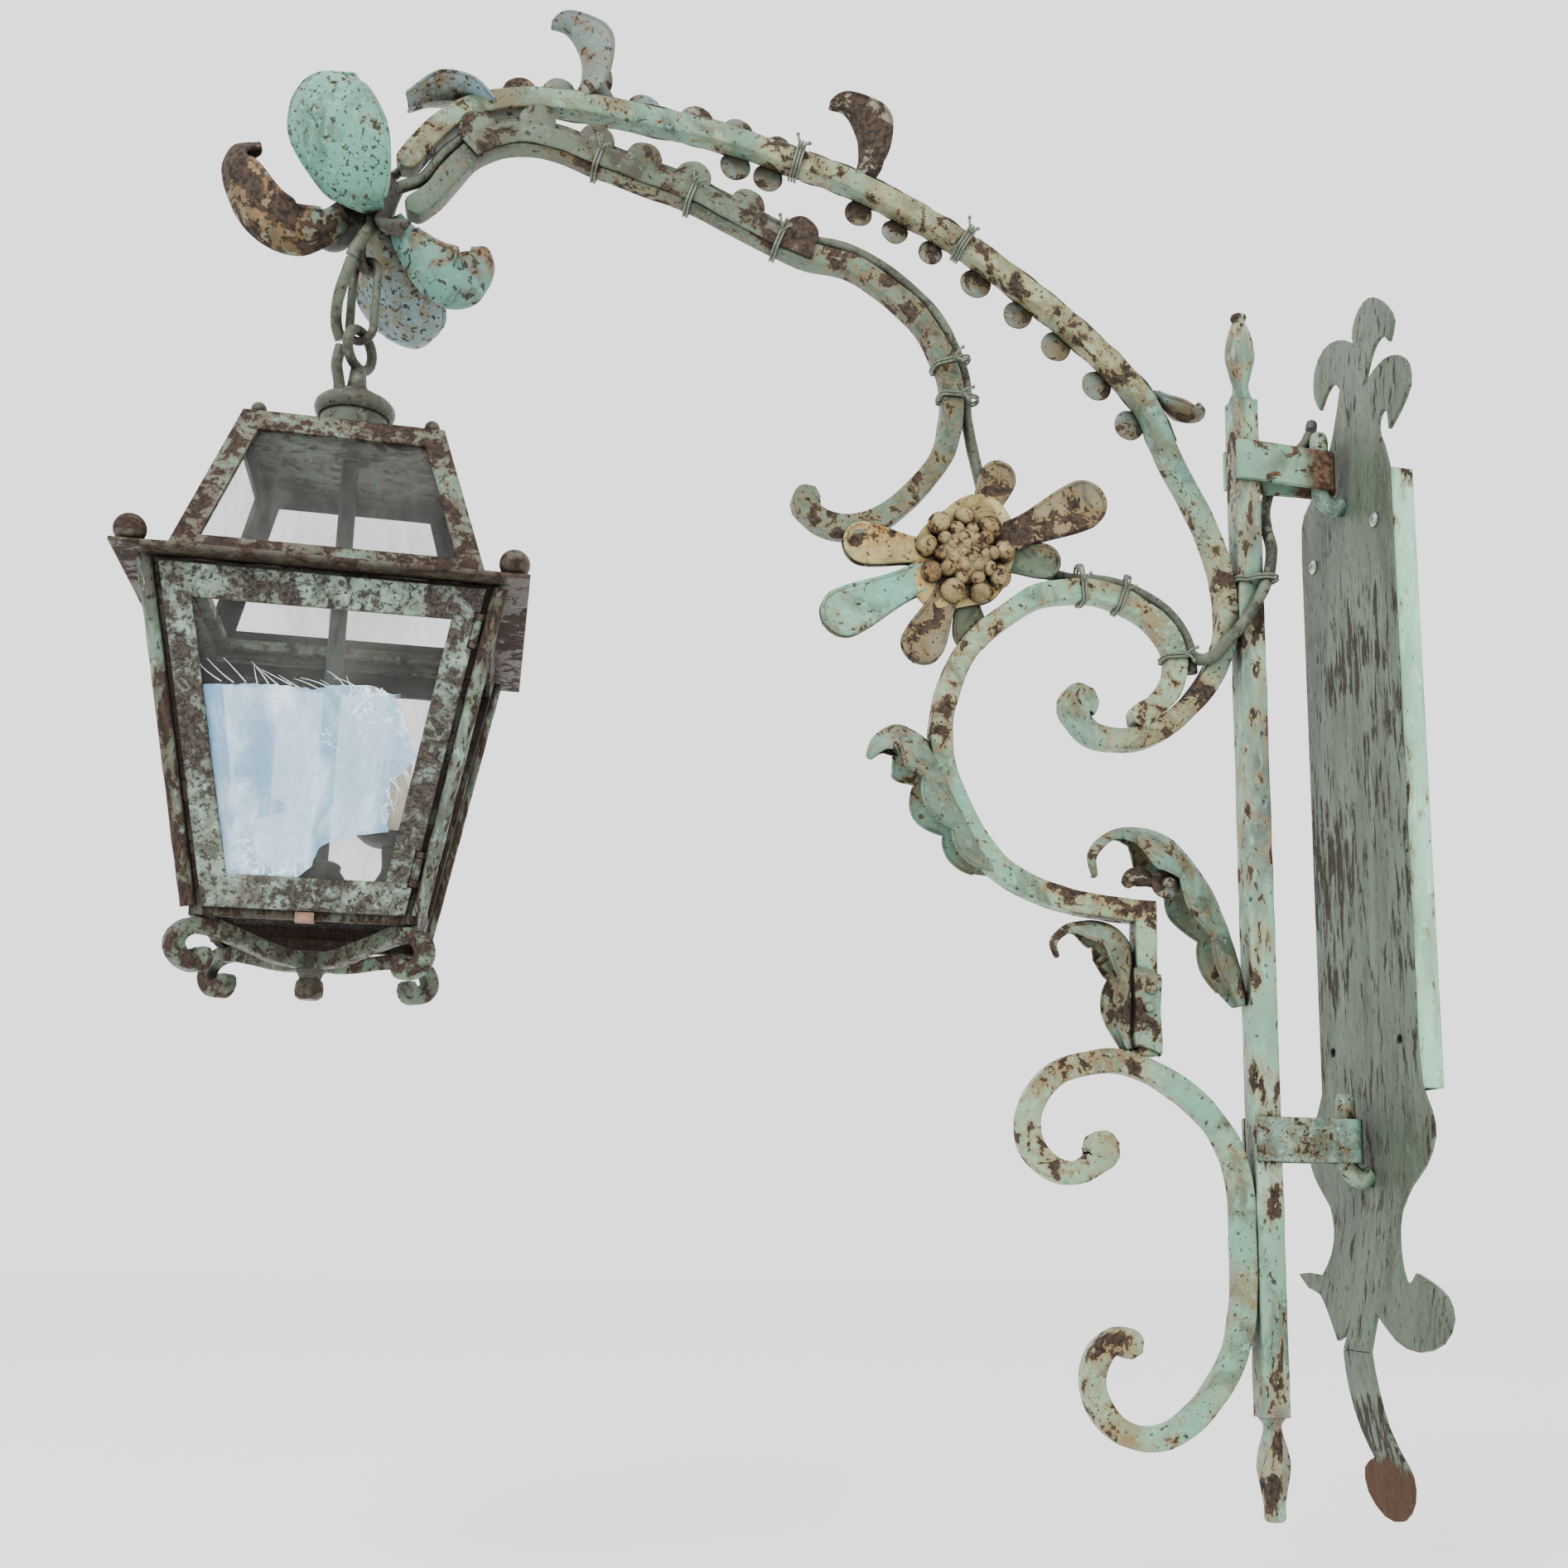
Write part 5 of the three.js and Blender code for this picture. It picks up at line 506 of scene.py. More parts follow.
# Three tones of each paint, two that drift into each other and one for worn places; the stain round its chips, how
# much is chipped, the chips' scale, the noise seed and what else differs. Tones and stains are in thousandths.
MINT = ((130, 245, 170), (205, 320, 225), (80, 110, 70))
OCHRE = (160, 105, 45)
OLD_PAINTS = {
    "green_paint": (MINT, OCHRE, 0.33, 75, 0, dict(streak=1.3)),
    "pintle_paint": (((140, 270, 220), (170, 270, 200), (80, 110, 80)), OCHRE, 0.26, 150, 2, {}),
    "post_paint": (((130, 255, 170), (205, 325, 230), (75, 95, 80)), (200, 135, 65), 0.35, 62, 4,
        dict(streak=2.2)),
    "arm_paint": (((85, 190, 140), (210, 225, 120), (75, 75, 40)), OCHRE, 0.31, 70, 8, {}),
    "lower_paint": (((56, 78, 50), (78, 135, 92), (42, 44, 24)), OCHRE, 0.33, 75, 9, {}),
    "scroll_paint": (((105, 250, 170), (180, 270, 165), (150, 115, 52)), (200, 110, 42), 0.24, 70, 11, {}),
    "plate_paint": (((54, 78, 50), (76, 108, 74), (42, 54, 32)), (46, 42, 26), 0.31, 190, 12,
        dict(rust=DARK, streak=6.5, edge=0.3, patch=7, spots=0.4, stain_reach=0.07, grime=0.5, rust_under=-0.452)),
    "channel_paint": (((230, 470, 320), (280, 500, 350), (160, 300, 200)), OCHRE, 0.2, 70, 16,
        dict(streak=3.0, spots=0.0, grime=0.3)),
    # Lantern and roof paints: painted shade reaches 9 cm out of corners and darkens the inside of the lantern.
    "lantern_paint": (((60, 80, 58), (40, 36, 24), (34, 24, 15)), (45, 26, 15), 0.52, 80, 20,
        dict(rust=BARE, streak=1.4, patch=13, spots=0.6, shade_reach=0.09)),
    "roof_paint": (((95, 155, 110), (65, 80, 50), (55, 40, 22)), (60, 28, 14), 0.42, 85, 21,
        dict(rust=BARE, patch=11, spots=0.6, shade_reach=0.09)),
    "door_paint": (((160, 225, 172), (105, 142, 110), (70, 64, 48)), (45, 36, 28), 0.42, 95, 22,
        dict(rust=((0.016, 0.014, 0.012), (0.058, 0.047, 0.039)), patch=15, spots=1.0)),
    "rod_paint": (((120, 190, 140), (70, 80, 55), (48, 38, 26)), (50, 36, 22), 0.42, 95, 23,
        dict(rust=BARE, streak=2.5, spots=0.8)),
    "cornice_paint": (((42, 44, 29), (60, 66, 43), (36, 18, 11)), (45, 20, 12), 0.48, 75, 24,
        dict(rust=BARE, spots=0.4)),
    "cap_paint": (((46, 60, 40), (72, 94, 64), (34, 30, 18)), (50, 40, 22), 0.3, 80, 26, dict(rust=BARE)),
    "leaf_paint": (((80, 150, 105), (125, 215, 155), (70, 65, 35)), OCHRE, 0.33, 60, 28, dict(spots=0.4)),
    "petal_paint": (((80, 200, 165), (80, 88, 60), (150, 105, 45)), (130, 60, 22), 0.42, 48, 32,
        dict(patch=16, spots=0.9)),
    "near_paint": (((85, 235, 180), (130, 280, 225), (75, 150, 110)), (150, 180, 100), 0.29, 80, 35,
        dict(patch=10, spots=0.8)),
    "blue_paint": (((105, 185, 210), (150, 220, 220), (135, 110, 50)), OCHRE, 0.27, 70, 36, dict(spots=0.8)),
    "cream_paint": (((290, 240, 85), (270, 260, 120), (170, 105, 30)), (260, 120, 35), 0.3, 75, 40, {}),
    "mint_lobe": (((110, 280, 205), (150, 310, 240), (150, 190, 110)), OCHRE, 0.24, 60, 39, {}),
    "berry_paint": (((225, 175, 70), (205, 175, 80), (105, 62, 24)), (200, 105, 35), 0.32, 110, 41, {}),
    "lobe_paint": (((85, 92, 60), (170, 145, 80), (75, 48, 24)), OCHRE, 0.42, 50, 42, {}),
    "dark_green": (((60, 95, 55), (95, 130, 80), (38, 36, 20)), OCHRE, 0.3, 70, 44, {}),
    "garland_paint": (((85, 120, 105), (140, 185, 165), (110, 88, 42)), (120, 75, 30), 0.42, 60, 48,
        dict(spots=0.5)),
    "lower_garland_paint": (((58, 80, 50), (85, 120, 85), (50, 36, 20)), (60, 42, 20), 0.4, 65, 49, {}),
    "foot_paint": (((54, 78, 52), (88, 145, 98), (30, 22, 13)), (50, 34, 20), 0.42, 85, 50,
        dict(rust=BARE, patch=16, spots=0.8)),
    "rusted_iron": (((36, 40, 28), (55, 58, 40), (34, 22, 14)), (45, 30, 18), 0.4, 80, 52, dict(rust=BARE)),
    "dark_iron": (((30, 32, 26), (48, 52, 42), (24, 18, 12)), (50, 35, 20), 0.3, 80, 56, dict(rust=DARK)),
    "pan_paint": (((17, 20, 18), (28, 32, 28), (14, 12, 9)), (30, 25, 20), 0.2, 80, 58, dict(rust=DARK)),
    "link_paint": (((45, 55, 38), (68, 82, 56), (28, 22, 14)), (45, 34, 20), 0.32, 90, 60, dict(rust=BARE)),
    # Stem tube inside the lantern: painted shade reaches 5 cm out of corners.
    "stem_paint": (((32, 48, 40), (46, 66, 55), (22, 18, 14)), (35, 30, 22), 0.26, 80, 62,
        dict(rust=BARE, streak=3.0, shade_reach=0.05)),
    "painted_sheath": (((55, 68, 42), (85, 110, 72), (34, 34, 20)), (75, 60, 32), 0.3, 90, 64,
        dict(rust=((0.02, 0.02, 0.017), (0.05, 0.052, 0.042)), edge=0.0, stain_reach=0.05)),
}


def in_full(tones):
    """Tones that are given in thousandths."""
    return [tuple(c / 1000 for c in tone) for tone in tones]


for name, (tones, stain, *settings, more) in OLD_PAINTS.items():
    aged(name, in_full(tones), *in_full([stain]), *settings, **more)


def simple(name, tones, scale, rough, metal=0.0, streak=1.0):
    """A quieter surface: two tones, roughness and a fine grain."""
    s = Shader(name)
    place = s.stretched(streak) if streak != 1.0 else s.place
    grain = s.noise(scale, 7, 0.6, 0.2, place)
    soil = s.noise(scale * 0.2, 4, 0.6, 0.4, place, 3.0)
    colour = s.mix(s.ramp(grain, 0.35, 0.65), tones[0], tones[1])
    worn = s.math("ADD", s.math("MULTIPLY", grain, 0.6), s.math("MULTIPLY", soil, 0.4))
    s.finish(s.mix(s.ramp(soil, 0.5, 0.75), colour, tones[2]), s.ramp(worn, 0.3, 0.7, *rough), Metallic=metal)
    s.bump(grain, 0.25, 0.0005)


simple("zinc_screw", ((0.38, 0.38, 0.38), (0.55, 0.55, 0.54), (0.16, 0.14, 0.12)), 400, (0.22, 0.45), metal=1.0)
simple("cable_sheath", ((0.012, 0.013, 0.013), (0.022, 0.025, 0.023), (0.05, 0.06, 0.052)), 260, (0.42, 0.7))
simple("tie_wire", ((0.075, 0.085, 0.060), (0.130, 0.150, 0.110), (0.040, 0.030, 0.018)), 500, (0.4, 0.7), metal=0.3)
simple("ivory_sleeve", ((0.56, 0.50, 0.37), (0.63, 0.57, 0.44), (0.42, 0.34, 0.22)), 120, (0.4, 0.65), streak=3.0)
simple("terminal_plastic", ((0.50, 0.47, 0.39), (0.56, 0.53, 0.45), (0.38, 0.34, 0.26)), 300, (0.35, 0.55))
simple("copper_strip", ((0.20, 0.115, 0.075), (0.28, 0.18, 0.13), (0.09, 0.055, 0.04)), 260, (0.25, 0.5), metal=0.9)


def glassy(name, tone, dirt, alpha, rough, scale=26, bump=0.08, folds=0.0):
    """Clear sheet with dirt that gathers in streaks and smears, and with pale folds where it is crumpled: painted
    highlights along the creases.
    """
    s = Shader(name)
    smear = s.noise(scale, 7, 0.62, 0.8, s.stretched(1 / 0.35))
    speck = s.noise(scale * 18, 4, 0.6, 0.0, None, 2.0)
    dust_and_highlights = s.math("MULTIPLY", s.ramp(smear, 0.38, 0.75), s.ramp(speck, 0.25, 0.7, 0.55, 1.0))
    # Pale folds: painted highlights along the film's creases, added to the dust and highlight mask.
    if folds:
        crease_highlights = []
        for size in (34, 62):
            middle = s.math("SUBTRACT", s.noise(size, 2, 0.5, 1.6, None, size), 0.5)
            crease_highlights.append(s.ramp(s.math("ABSOLUTE", middle, 0.0), 0.026, 0.0, 0.0, folds))
        where = s.ramp(s.noise(16, 3, 0.5, 0.4, None, 7.0), 0.42, 0.62)
        dust_and_highlights = s.math("MAXIMUM", dust_and_highlights, s.math("MULTIPLY", s.math("MAXIMUM", *crease_highlights), where))
    s.finish(s.mix(dust_and_highlights, tone, dirt), s.ramp(dust_and_highlights, 0.0, 1.0, *rough), Alpha=s.ramp(dust_and_highlights, 0.0, 1.0, *alpha), IOR=1.5,
             Specular_IOR_Level=GLOSSY)
    s.bump(smear, bump, 0.001)


glassy("clear_glass", (0.11, 0.115, 0.11), (0.13, 0.13, 0.115), (0.10, 0.26), (0.04, 0.35))
glassy("bulb_glass", (0.70, 0.72, 0.72), (0.60, 0.58, 0.52), (0.25, 0.5), (0.05, 0.4))
# The crumpled film takes pale folds: painted highlights along its creases.
glassy("crumpled_film", (0.22, 0.45, 0.66), (0.78, 0.90, 0.97), (0.42, 0.90), (0.12, 0.40), 38, 1.0, 1.0)


def rusting_to(name, tones, near, far):
    """Green paint that gives way to brown rust between two distances from the wall."""
    s = Shader(name)
    loop = s.ramp(s.above("Y", 70, 6, 0.016, 0.65, 0.3), near, far)
    middle = s.noise(30, 6, 0.6, 0.3, None, 2.0)
    paint = s.mix(s.ramp(s.noise(9, 4), 0.4, 0.6), tones[0], tones[1])
    paint = s.mix(s.ramp(middle, 0.46, 0.68), paint, tones[2])
    chip = s.ramp(s.noise(75, 10, 0.68, 0.5, None, 3.0), 0.56, 0.58)
    brown = s.mix(s.ramp(s.noise(240, 5, 0.6), 0.4, 0.6), (0.030, 0.016, 0.010), (0.105, 0.062, 0.036))
    bare = s.math("MAXIMUM", chip, s.math("MULTIPLY", loop, s.ramp(middle, 0.30, 0.42, 0.7, 1.0)))
    bare = s.math("MAXIMUM", bare, s.math("MULTIPLY", s.edges(EDGE), s.ramp(middle, 0.4, 0.6, 0.1, 0.7)))
    s.finish(s.mix(bare, paint, brown), s.ramp(bare, 0.0, 1.0, 0.5, 0.85), Specular_IOR_Level=DULL)
    s.bump(s.math("SUBTRACT", s.noise(60, 8, 0.65, 0.0, None, 5.0), s.math("MULTIPLY", bare, 0.4)), 0.8, RELIEF)


rusting_to("strap_paint", in_full(MINT), -0.060, -0.040)
# Pale colour of the thin crease strands on the film: painted glints along its wrinkles.
simple("film_crease_glint", ((0.55, 0.66, 0.74), (0.75, 0.84, 0.90), (0.35, 0.45, 0.55)), 300, (0.2, 0.45))

PAINTS = {
    "wall_channel": "channel_paint", "back_plate": "plate_paint", "plate_screw_near": "zinc_screw",
    "plate_screw_far": "zinc_screw",
    "upper_strap": "strap_paint", "lower_strap": "pintle_paint", "terminal_block": "terminal_plastic",
    "roof_frame": "roof_paint",
    "body_frame": "lantern_paint", "door_frame": "door_paint", "door_catch": "copper_strip",
}
for node_name, node in nodes.items():
    node.data.materials.clear()
    node.data.materials.append(MATERIALS[PAINTS.get(node_name, "clear_glass")])


# ---- forged bars

strut_y = MIDDLE[-1][1]
middle_line = np.vstack([MIDDLE, [0, strut_y + 7.8, MIDDLE[-1][2]]])
strut_line = [(0, strut_y, MIDDLE[-1][2] + BAR), (0, strut_y, -206)]
strut = bar(spaced(strut_line, 4.0), ends(0, 0, BAR), 7.9, wobble=0.5)
for name, line, near, far, tone, slot in (
        ("main_arm", MAIN, 14, 8, "arm_paint", "green_paint"),
        ("lower_arm", LOWER, 10.5, 8, "lower_paint", "verdigris_paint"),
        ("middle_scroll", middle_line, 10, 0, "scroll_paint", "green_paint"),
        ("lower_scroll", FOOT, 12, 10, "scroll_paint", "green_paint")):
    parts = [bar(spaced(line, 3.0), ends(near, far, BAR), BAR, wobble=0.7)]
    if name == "middle_scroll":
        parts.append(strut)
    make(name + "_forged", parts, "bracket", tone, [name])

post_bar = bar(spaced([(0, POST_Y, -450), (0, POST_Y, 300)], 8.0), ends(0, 0, 10), 10, corner=1.8, wobble=0.5)
top_finial = [(9.4, -4), (9.2, 0), (8.6, 3), (6.6, 9), (6.3, 15), (7.6, 20), (9.4, 28), (11.3, 36),
              (11.5, 42), (10.6, 49),
              (8.0, 60), (5.0, 67.5), (4.7, 69), (6.1, 70.3), (6.0, 73), (3.4, 74.4), (0, 74.6)]
low_finial = [(0, -68), (5.4, -68), (7.2, -66), (7.5, -58), (9.0, -48), (11.3, -36), (11.5, -31),
              (10.3, -22), (7.0, -11), (6.4, -5), (8.8, -1.5), (9.4, 0), (9.4, 4)]
make("post_forged", [post_bar, lathe(curved(top_finial), (0, POST_Y, 300), 32, bump=0.25),
                     lathe(curved(low_finial), (0, POST_Y, -450), 32, bump=0.25)], "bracket", "post_paint", ["post"])

pintle_bend = [(-22.6, -24), (-30.4, -26), (-38.5, -19.5), (-40, -7), (-40, 10), (-40, 34)]


def pintle_radius(t):
    """Radius of a pintle at a share of its length, with a rounded end."""
    return 7 * (1 if t < 0.88 else math.sqrt(max(0.05, 1 - ((t - 0.88) / 0.125) ** 2)) * 0.45 + 0.55)


for name, height, skin_paint in (("upper_pintle", PINTLE[2], "pintle_paint"), ("lower_pintle", -262, "green_paint")):
    path = spaced(spline([(0, y, z) for y, z in pintle_bend]), 1.6)
    pin = tube(path, pintle_radius, 28, bump=0.35, seed=height)
    make(name + "_forged", [moved(pin, Matrix.Translation((0, 0, height)))], "wall", skin_paint, [name])


# ---- sheet work

def keel_of(shares, length):
    """Even points along a keel of [out, up] shares, with their directions."""
    line = spaced(spline([(a * length, b * length, 0) for a, b in shares], per=20), count=80)[:, :2]
    return line, unit(np.gradient(line, axis=0))


def at_share(table, v):
    """Value at a share of an evenly spaced table."""
    k = min(max(v, 0), 1) * (len(table) - 1)
    low = int(min(k, len(table) - 2))
    return table[low] + (table[low + 1] - table[low]) * (k - low)


def rim_of(place, radius, step, start):
    """Thick rolled edge round the free sides of a sheet."""
    border = [place(0, start + (1 - start) * k / 60) for k in range(61)]
    border += [place(k / 16, 1) for k in range(1, 16)]
    border += [place(1, 1 - (1 - start) * k / 60) for k in range(61)]
    return tube(spaced(border, step), radius, 7)


def rolled(place, across, along, thickness, ripple, seed, rim, turn=None):
    """Sheet with a rolled edge, which has its own radius, step and start; turn moves both."""
    parts = [blade(place, across, along, thickness, ripple, seed), rim_of(place, *rim)]
    return [moved(part, turn) for part in parts] if turn else parts


def cupped(shares, length, width, cup, base=0.3, tip=0.16, peak=0.5, ridge=0.0, wave=0.0, lean=0.0):
    """Petal or leaf with the same keel and cup as its CAD solid, as a place(u, v)."""
    line, run = keel_of(shares, length)

    def place(u, v):
        point, tangent = at_share(line, v), at_share(run, v)
        rise = math.sin(v / peak * math.pi / 2) if v < peak else math.cos((v - peak) / (1 - peak) * math.pi / 2)
        low = base if v < peak else tip
        half = width / 2 * (low + (1 - low) * rise)
        turn = u * 2 - 1
        lift = cup * half * turn * turn - ridge * math.exp(-(turn / 0.16) ** 2) * math.sin(v * math.pi)
        lift += wave * math.sin(v * 15 + turn * 2) * turn * turn
        reach = point + tangent * 0.5 * abs(lean) * v ** 4 * max(0, -turn) ** 2
        return np.array([half * turn + lean * (v - 0.3), reach[0] - tangent[1] * lift, reach[1] + tangent[0] * lift])
    return place


PETALS = {
    "left": ([(0, 0.02), (0.08, -0.2), (0.30, -0.36), (0.50, -0.34), (0.68, -0.22), (0.80, 0), (0.86, 0.20),
              (0.80, 0.36), (0.65, 0.41)], 180, 0.8, 1.1, 0.16, "petal_paint"),
    "right": ([(0, -0.05), (0.10, -0.30), (0.26, -0.52), (0.45, -0.62), (0.60, -0.58), (0.69, -0.44), (0.72, -0.27),
               (0.67, -0.16), (0.58, -0.17)], 0, 0.84, 1.1, 0.16, "petal_paint"),
    "near": ([(0, -0.08), (0.15, -0.10), (0.32, 0.02), (0.45, 0.20), (0.52, 0.40), (0.54, 0.56), (0.50, 0.66)],
             -110, 1.08, 0.4, 0.5, "near_paint"),
    "far": ([(0, -0.05), (0.15, -0.25), (0.33, -0.42), (0.52, -0.52), (0.70, -0.56), (0.84, -0.5), (0.9, -0.4)],
            70, 1.0, 0.5, 0.2, "blue_paint"),
}
PETAL_OUT = 17 * 0.72
for name, (shares, degrees, wide, cup, tip, tone) in PETALS.items():
    lean = 16 if name == "near" else 0
    place = cupped(shares, 100, 62 * wide, cup, tip=tip, peak=0.62 if lean else 0.5, ridge=1.6, wave=0.7, lean=lean)
    turn = Matrix.Translation(FLOWER) @ Matrix.Rotation(math.radians(degrees), 4, "Z")
    turn = turn @ Matrix.Translation((0, PETAL_OUT, 0))
    make("petal_%s_sheet" % name, rolled(place, 18, 44, 2.2, 0.8, degrees, (1.7, 2.2, 0.12), turn), "bracket", tone,
         ["petal_" + name])

in_flower = Matrix.Translation(FLOWER) @ Matrix.Rotation(math.radians(-20), 4, "X")
bell = [(10.35, 25.5), (10.9, 15.3), (12.2, 6.4), (14.6, -5.9), (17, -6.0), (14.7, 6.4), (13.3, 15.3), (12.75, 25.5)]
heart = [moved(lathe(bell, (0, 0, 0), 36, closed=True, bump=0.5), in_flower)]
for degrees in (125, 310):
    place = cupped([(0, 0), (0.22, -0.3), (0.6, -0.4), (1, -0.28)], 42, 16, 0.5, base=0.5)
    turn = in_flower @ Matrix.Rotation(math.radians(degrees), 4, "Z") @ Matrix.Translation((0, 15.6, -4.5))
    heart.append(moved(blade(place, 10, 16, 2.2, ripple=0.6, seed=degrees), turn))
make("flower_heart_sheet", heart, "bracket", "dark_iron", ["flower_heart"])


def acanthus(shares, length, width, cup, lobes, at, tendril):
    """Scalloped leaf with a mid rib and veins, as a place(u, v); a tendril leaf ends in a thin curl."""
    line, run = keel_of(shares, length)

    def place(u, v):
        point, tangent = at_share(line, v), at_share(run, v)
        scallop = 0.72 + 0.30 * abs(math.sin(v * lobes * math.pi)) ** 0.7
        narrow = min(1, max(0, (v - 0.66) / 0.17))
        narrow = 0.88 * narrow * narrow * (3 - 2 * narrow) if tendril else max(0, (v - 0.72) / 0.28 * 0.84)
        taper = math.sin(min(1, v * 1.6 + 0.3) * math.pi / 2) * (1 - narrow)
        half = width / 2 * scallop * taper
        side = u * 2 - 1
        lift = cup * half * side * side
        lift += 1.3 * math.exp(-(side / 0.10) ** 2) - 0.9 * math.exp(-((abs(side) - 0.28) / 0.13) ** 2)
        lift += 0.9 * abs(side) * math.cos(v * lobes * 2 * math.pi)
        return np.array([at[0] + half * side, at[1] - (point[0] - tangent[1] * lift),
                         at[2] + point[1] + tangent[0] * lift])
    return place


scroll_point, scroll_run = share(MIDDLE, 0.79)
scroll_base = scroll_point - side_of(scroll_run) * LEAF_ON_BAR
LEAVES = {
    "scroll_leaf": ([(0.06, 0), (0.18, 0.12), (0.29, 0.3), (0.41, 0.52), (0.53, 0.76), (0.66, 0.9), (0.84, 0.96),
                     (0.98, 0.86), (1.03, 0.73)], 100, 37, -1.5, 4, scroll_base + np.array([0, 4, -9]), "leaf_paint"),
    "post_leaf": ([(0, 0), (0.05, 0.23), (0.125, 0.47), (0.21, 0.67), (0.32, 0.83), (0.475, 0.98), (0.68, 1.03),
                   (0.87, 0.98), (0.97, 0.86), (0.95, 0.73)], 120, 38, -1.45, 4, (0, -114.3, -167), "leaf_paint"),
    "corner_leaf": ([(0, 0), (0, 0.3), (0, 0.56), (0.04, 0.78), (0.18, 0.89), (0.36, 0.9), (0.52, 0.85), (0.6, 0.75),
                     (0.57, 0.65)], 98, 32, -1.3, 3, (0, strut_y - 9, -202), "leaf_paint"),
}
for name, (shares, length, width, cup, lobes, at, tone) in LEAVES.items():
    place = acanthus(shares, length, width, cup, lobes, at, name != "scroll_leaf")
    start = 0.06 if name != "corner_leaf" else 0.0
    make(name + "_sheet", rolled(place, 24, 90, 1.9, 0.5, length, (1.15, 1.6, start)), "bracket", tone, [name])

strut_wrap = np.array([(-3, -10.4), (9.3, -9.8), (9.7, 0), (9.3, 8.4), (2, 8.8)])


def wrapped(u, v):
    """Sheet folded round the strut's near side under the corner leaf."""
    x, y = at_share(strut_wrap, u)
    swell = 1 + 0.06 * math.sin(v * 9) + 0.05 * noise.noise(Vector((v * 7, u * 3, 2)))
    return np.array([x * swell, strut_y + y * swell, -203.5 + 56 * v + 3 * math.sin(u * 5)])


knobs = [globe(4.6 - 0.4 * k, (10.2, strut_y + 1.5 - 2 * k, -160 - 13 * k), 18, 0.8) for k in range(3)]
make("corner_leaf_wrap", [blade(wrapped, 24, 28, 1.5, ripple=0.5, seed=3)] + knobs, "bracket", "leaf_paint")


def button(radius, centre, facing, seed):
    """Pressed round petal: a domed disc with an uneven edge, its round side towards facing (+1 or -1) along X."""
    rings = []
    for r, h in ((0.02, 0.2), (0.3, 0.1), (0.6, -0.2), (0.85, -0.6), (0.98, -0.8), (1.05, -0.1), (1.04, 0.8),
                 (0.94, 1.5), (0.72, 2.1), (0.45, 2.5), (0.2, 2.7), (0.02, 2.7)):
        ring = []
        for i in range(26):
            a = 2 * math.pi * i / 26
            rr = radius * r * (1 + 0.07 * noise.noise(Vector((math.cos(a) * 1.3, math.sin(a) * 1.3, seed))))
            ring.append((centre[0] + facing * (h - 1.2), centre[1] + rr * math.cos(a), centre[2] + rr * math.sin(a)))
        rings.append(ring)
    return skin(rings)


def wrap(line, begin, end, side, fold, seed):
    """Sheet strip that covers one flank of a bar and, if folded, laps over its top."""
    n = int(np.linalg.norm(np.diff(np.array(line), axis=0), axis=1).sum() * (end - begin) / 3.5)
    flank = side * 9.5
    lap = 5.0 if fold else 9.4

    def place(u, v):
        point, tangent = share(line, begin + (end - begin) * v)
        up = side_of(tangent)
        edge = 2.0 * noise.noise(Vector((v * 11, seed, 0)))
        if fold:
            path = [(flank, -6.4 + edge), (flank, 7.2), (flank * 0.86, 9.2), (-side * lap + edge * side, 9.5)]
        else:
            path = [(flank, -6.4 + edge), (flank + 0.3 * side, 0), (flank + 0.3 * side, 5), (flank, lap + edge)]
        x, s = at_share(np.array(path), u)
        return point + up * s + np.array([x, 0, 0])
    return blade(place, 12, n, 1.7, ripple=0.7, seed=seed)


bud = [(-206, -85), (-200, -79), (-190, -80), (-181, -87)]
make("post_leaf_berry", [button(10.6, (9, -177.2, -83), 1, 5.0), moved(globe(5.4, (0, 0, 0), 18, 0.7),
                                                                       Matrix.Translation((12.5, -177.2, -83))),
                         tube(spaced(spline([(4, y, z) for y, z in bud]), 1.5),
                              lambda t: 2 + 5.2 * math.sin(math.pi * min(1, 0.12 + t)), 16, bump=0.5, seed=4)],
     "bracket", "garland_paint")

STANDING = [(0, -0.06), (0.06, 0.2), (0.05, 0.45), (-0.03, 0.7), (-0.16, 0.86), (-0.33, 0.88)]
TRAILING = [(0, 0), (0.3, 0.0), (0.62, 0.03), (0.85, 0.2), (0.86, 0.42), (0.7, 0.46)]
GARLANDS = {
    "arm_garland_outer": (MAIN, 0.54, 0.868, -1, True, [
        (0.08, -1.6, 0.95), (0.2, -1.6, 0.95), (0.36, 1.9, 1.05), (0.54, 1.8, 1.1), (0.08, 1.6, 0.9), (0.22, 1.8, 1.0),
        (0.7, 1.9, 1.05), (0.82, 1.9, 1.05), (0.94, 1.8, 1.05)], (0.79, STANDING, 58, 38, 0)),
    "arm_garland_middle": (MAIN, 0.345, 0.53, -1, True, [(0.14, -1.7, 0.8), (0.38, -1.7, 0.85), (0.62, -1.7, 0.9)],
                           (0.478, STANDING, 58, 38, 0)),
    "arm_garland_inner": (MAIN, 0.1, 0.335, -1, True, [
        (0.13, -1.8, 1), (0.34, -1.8, 1), (0.55, -1.7, 1), (0.73, -1.7, 0.95), (0.92, -1.7, 1), (0.2, 1.1, 0.8)],
        (0.125, TRAILING, 46.4, 26.6, -38)),
    "lower_garland": (LOWER, 0.52, 0.9, 1, False, [(s, 1.5, 1.1) for s in (0.05, 0.22, 0.38, 0.52, 0.66, 0.81, 0.95)],
                      None),
}
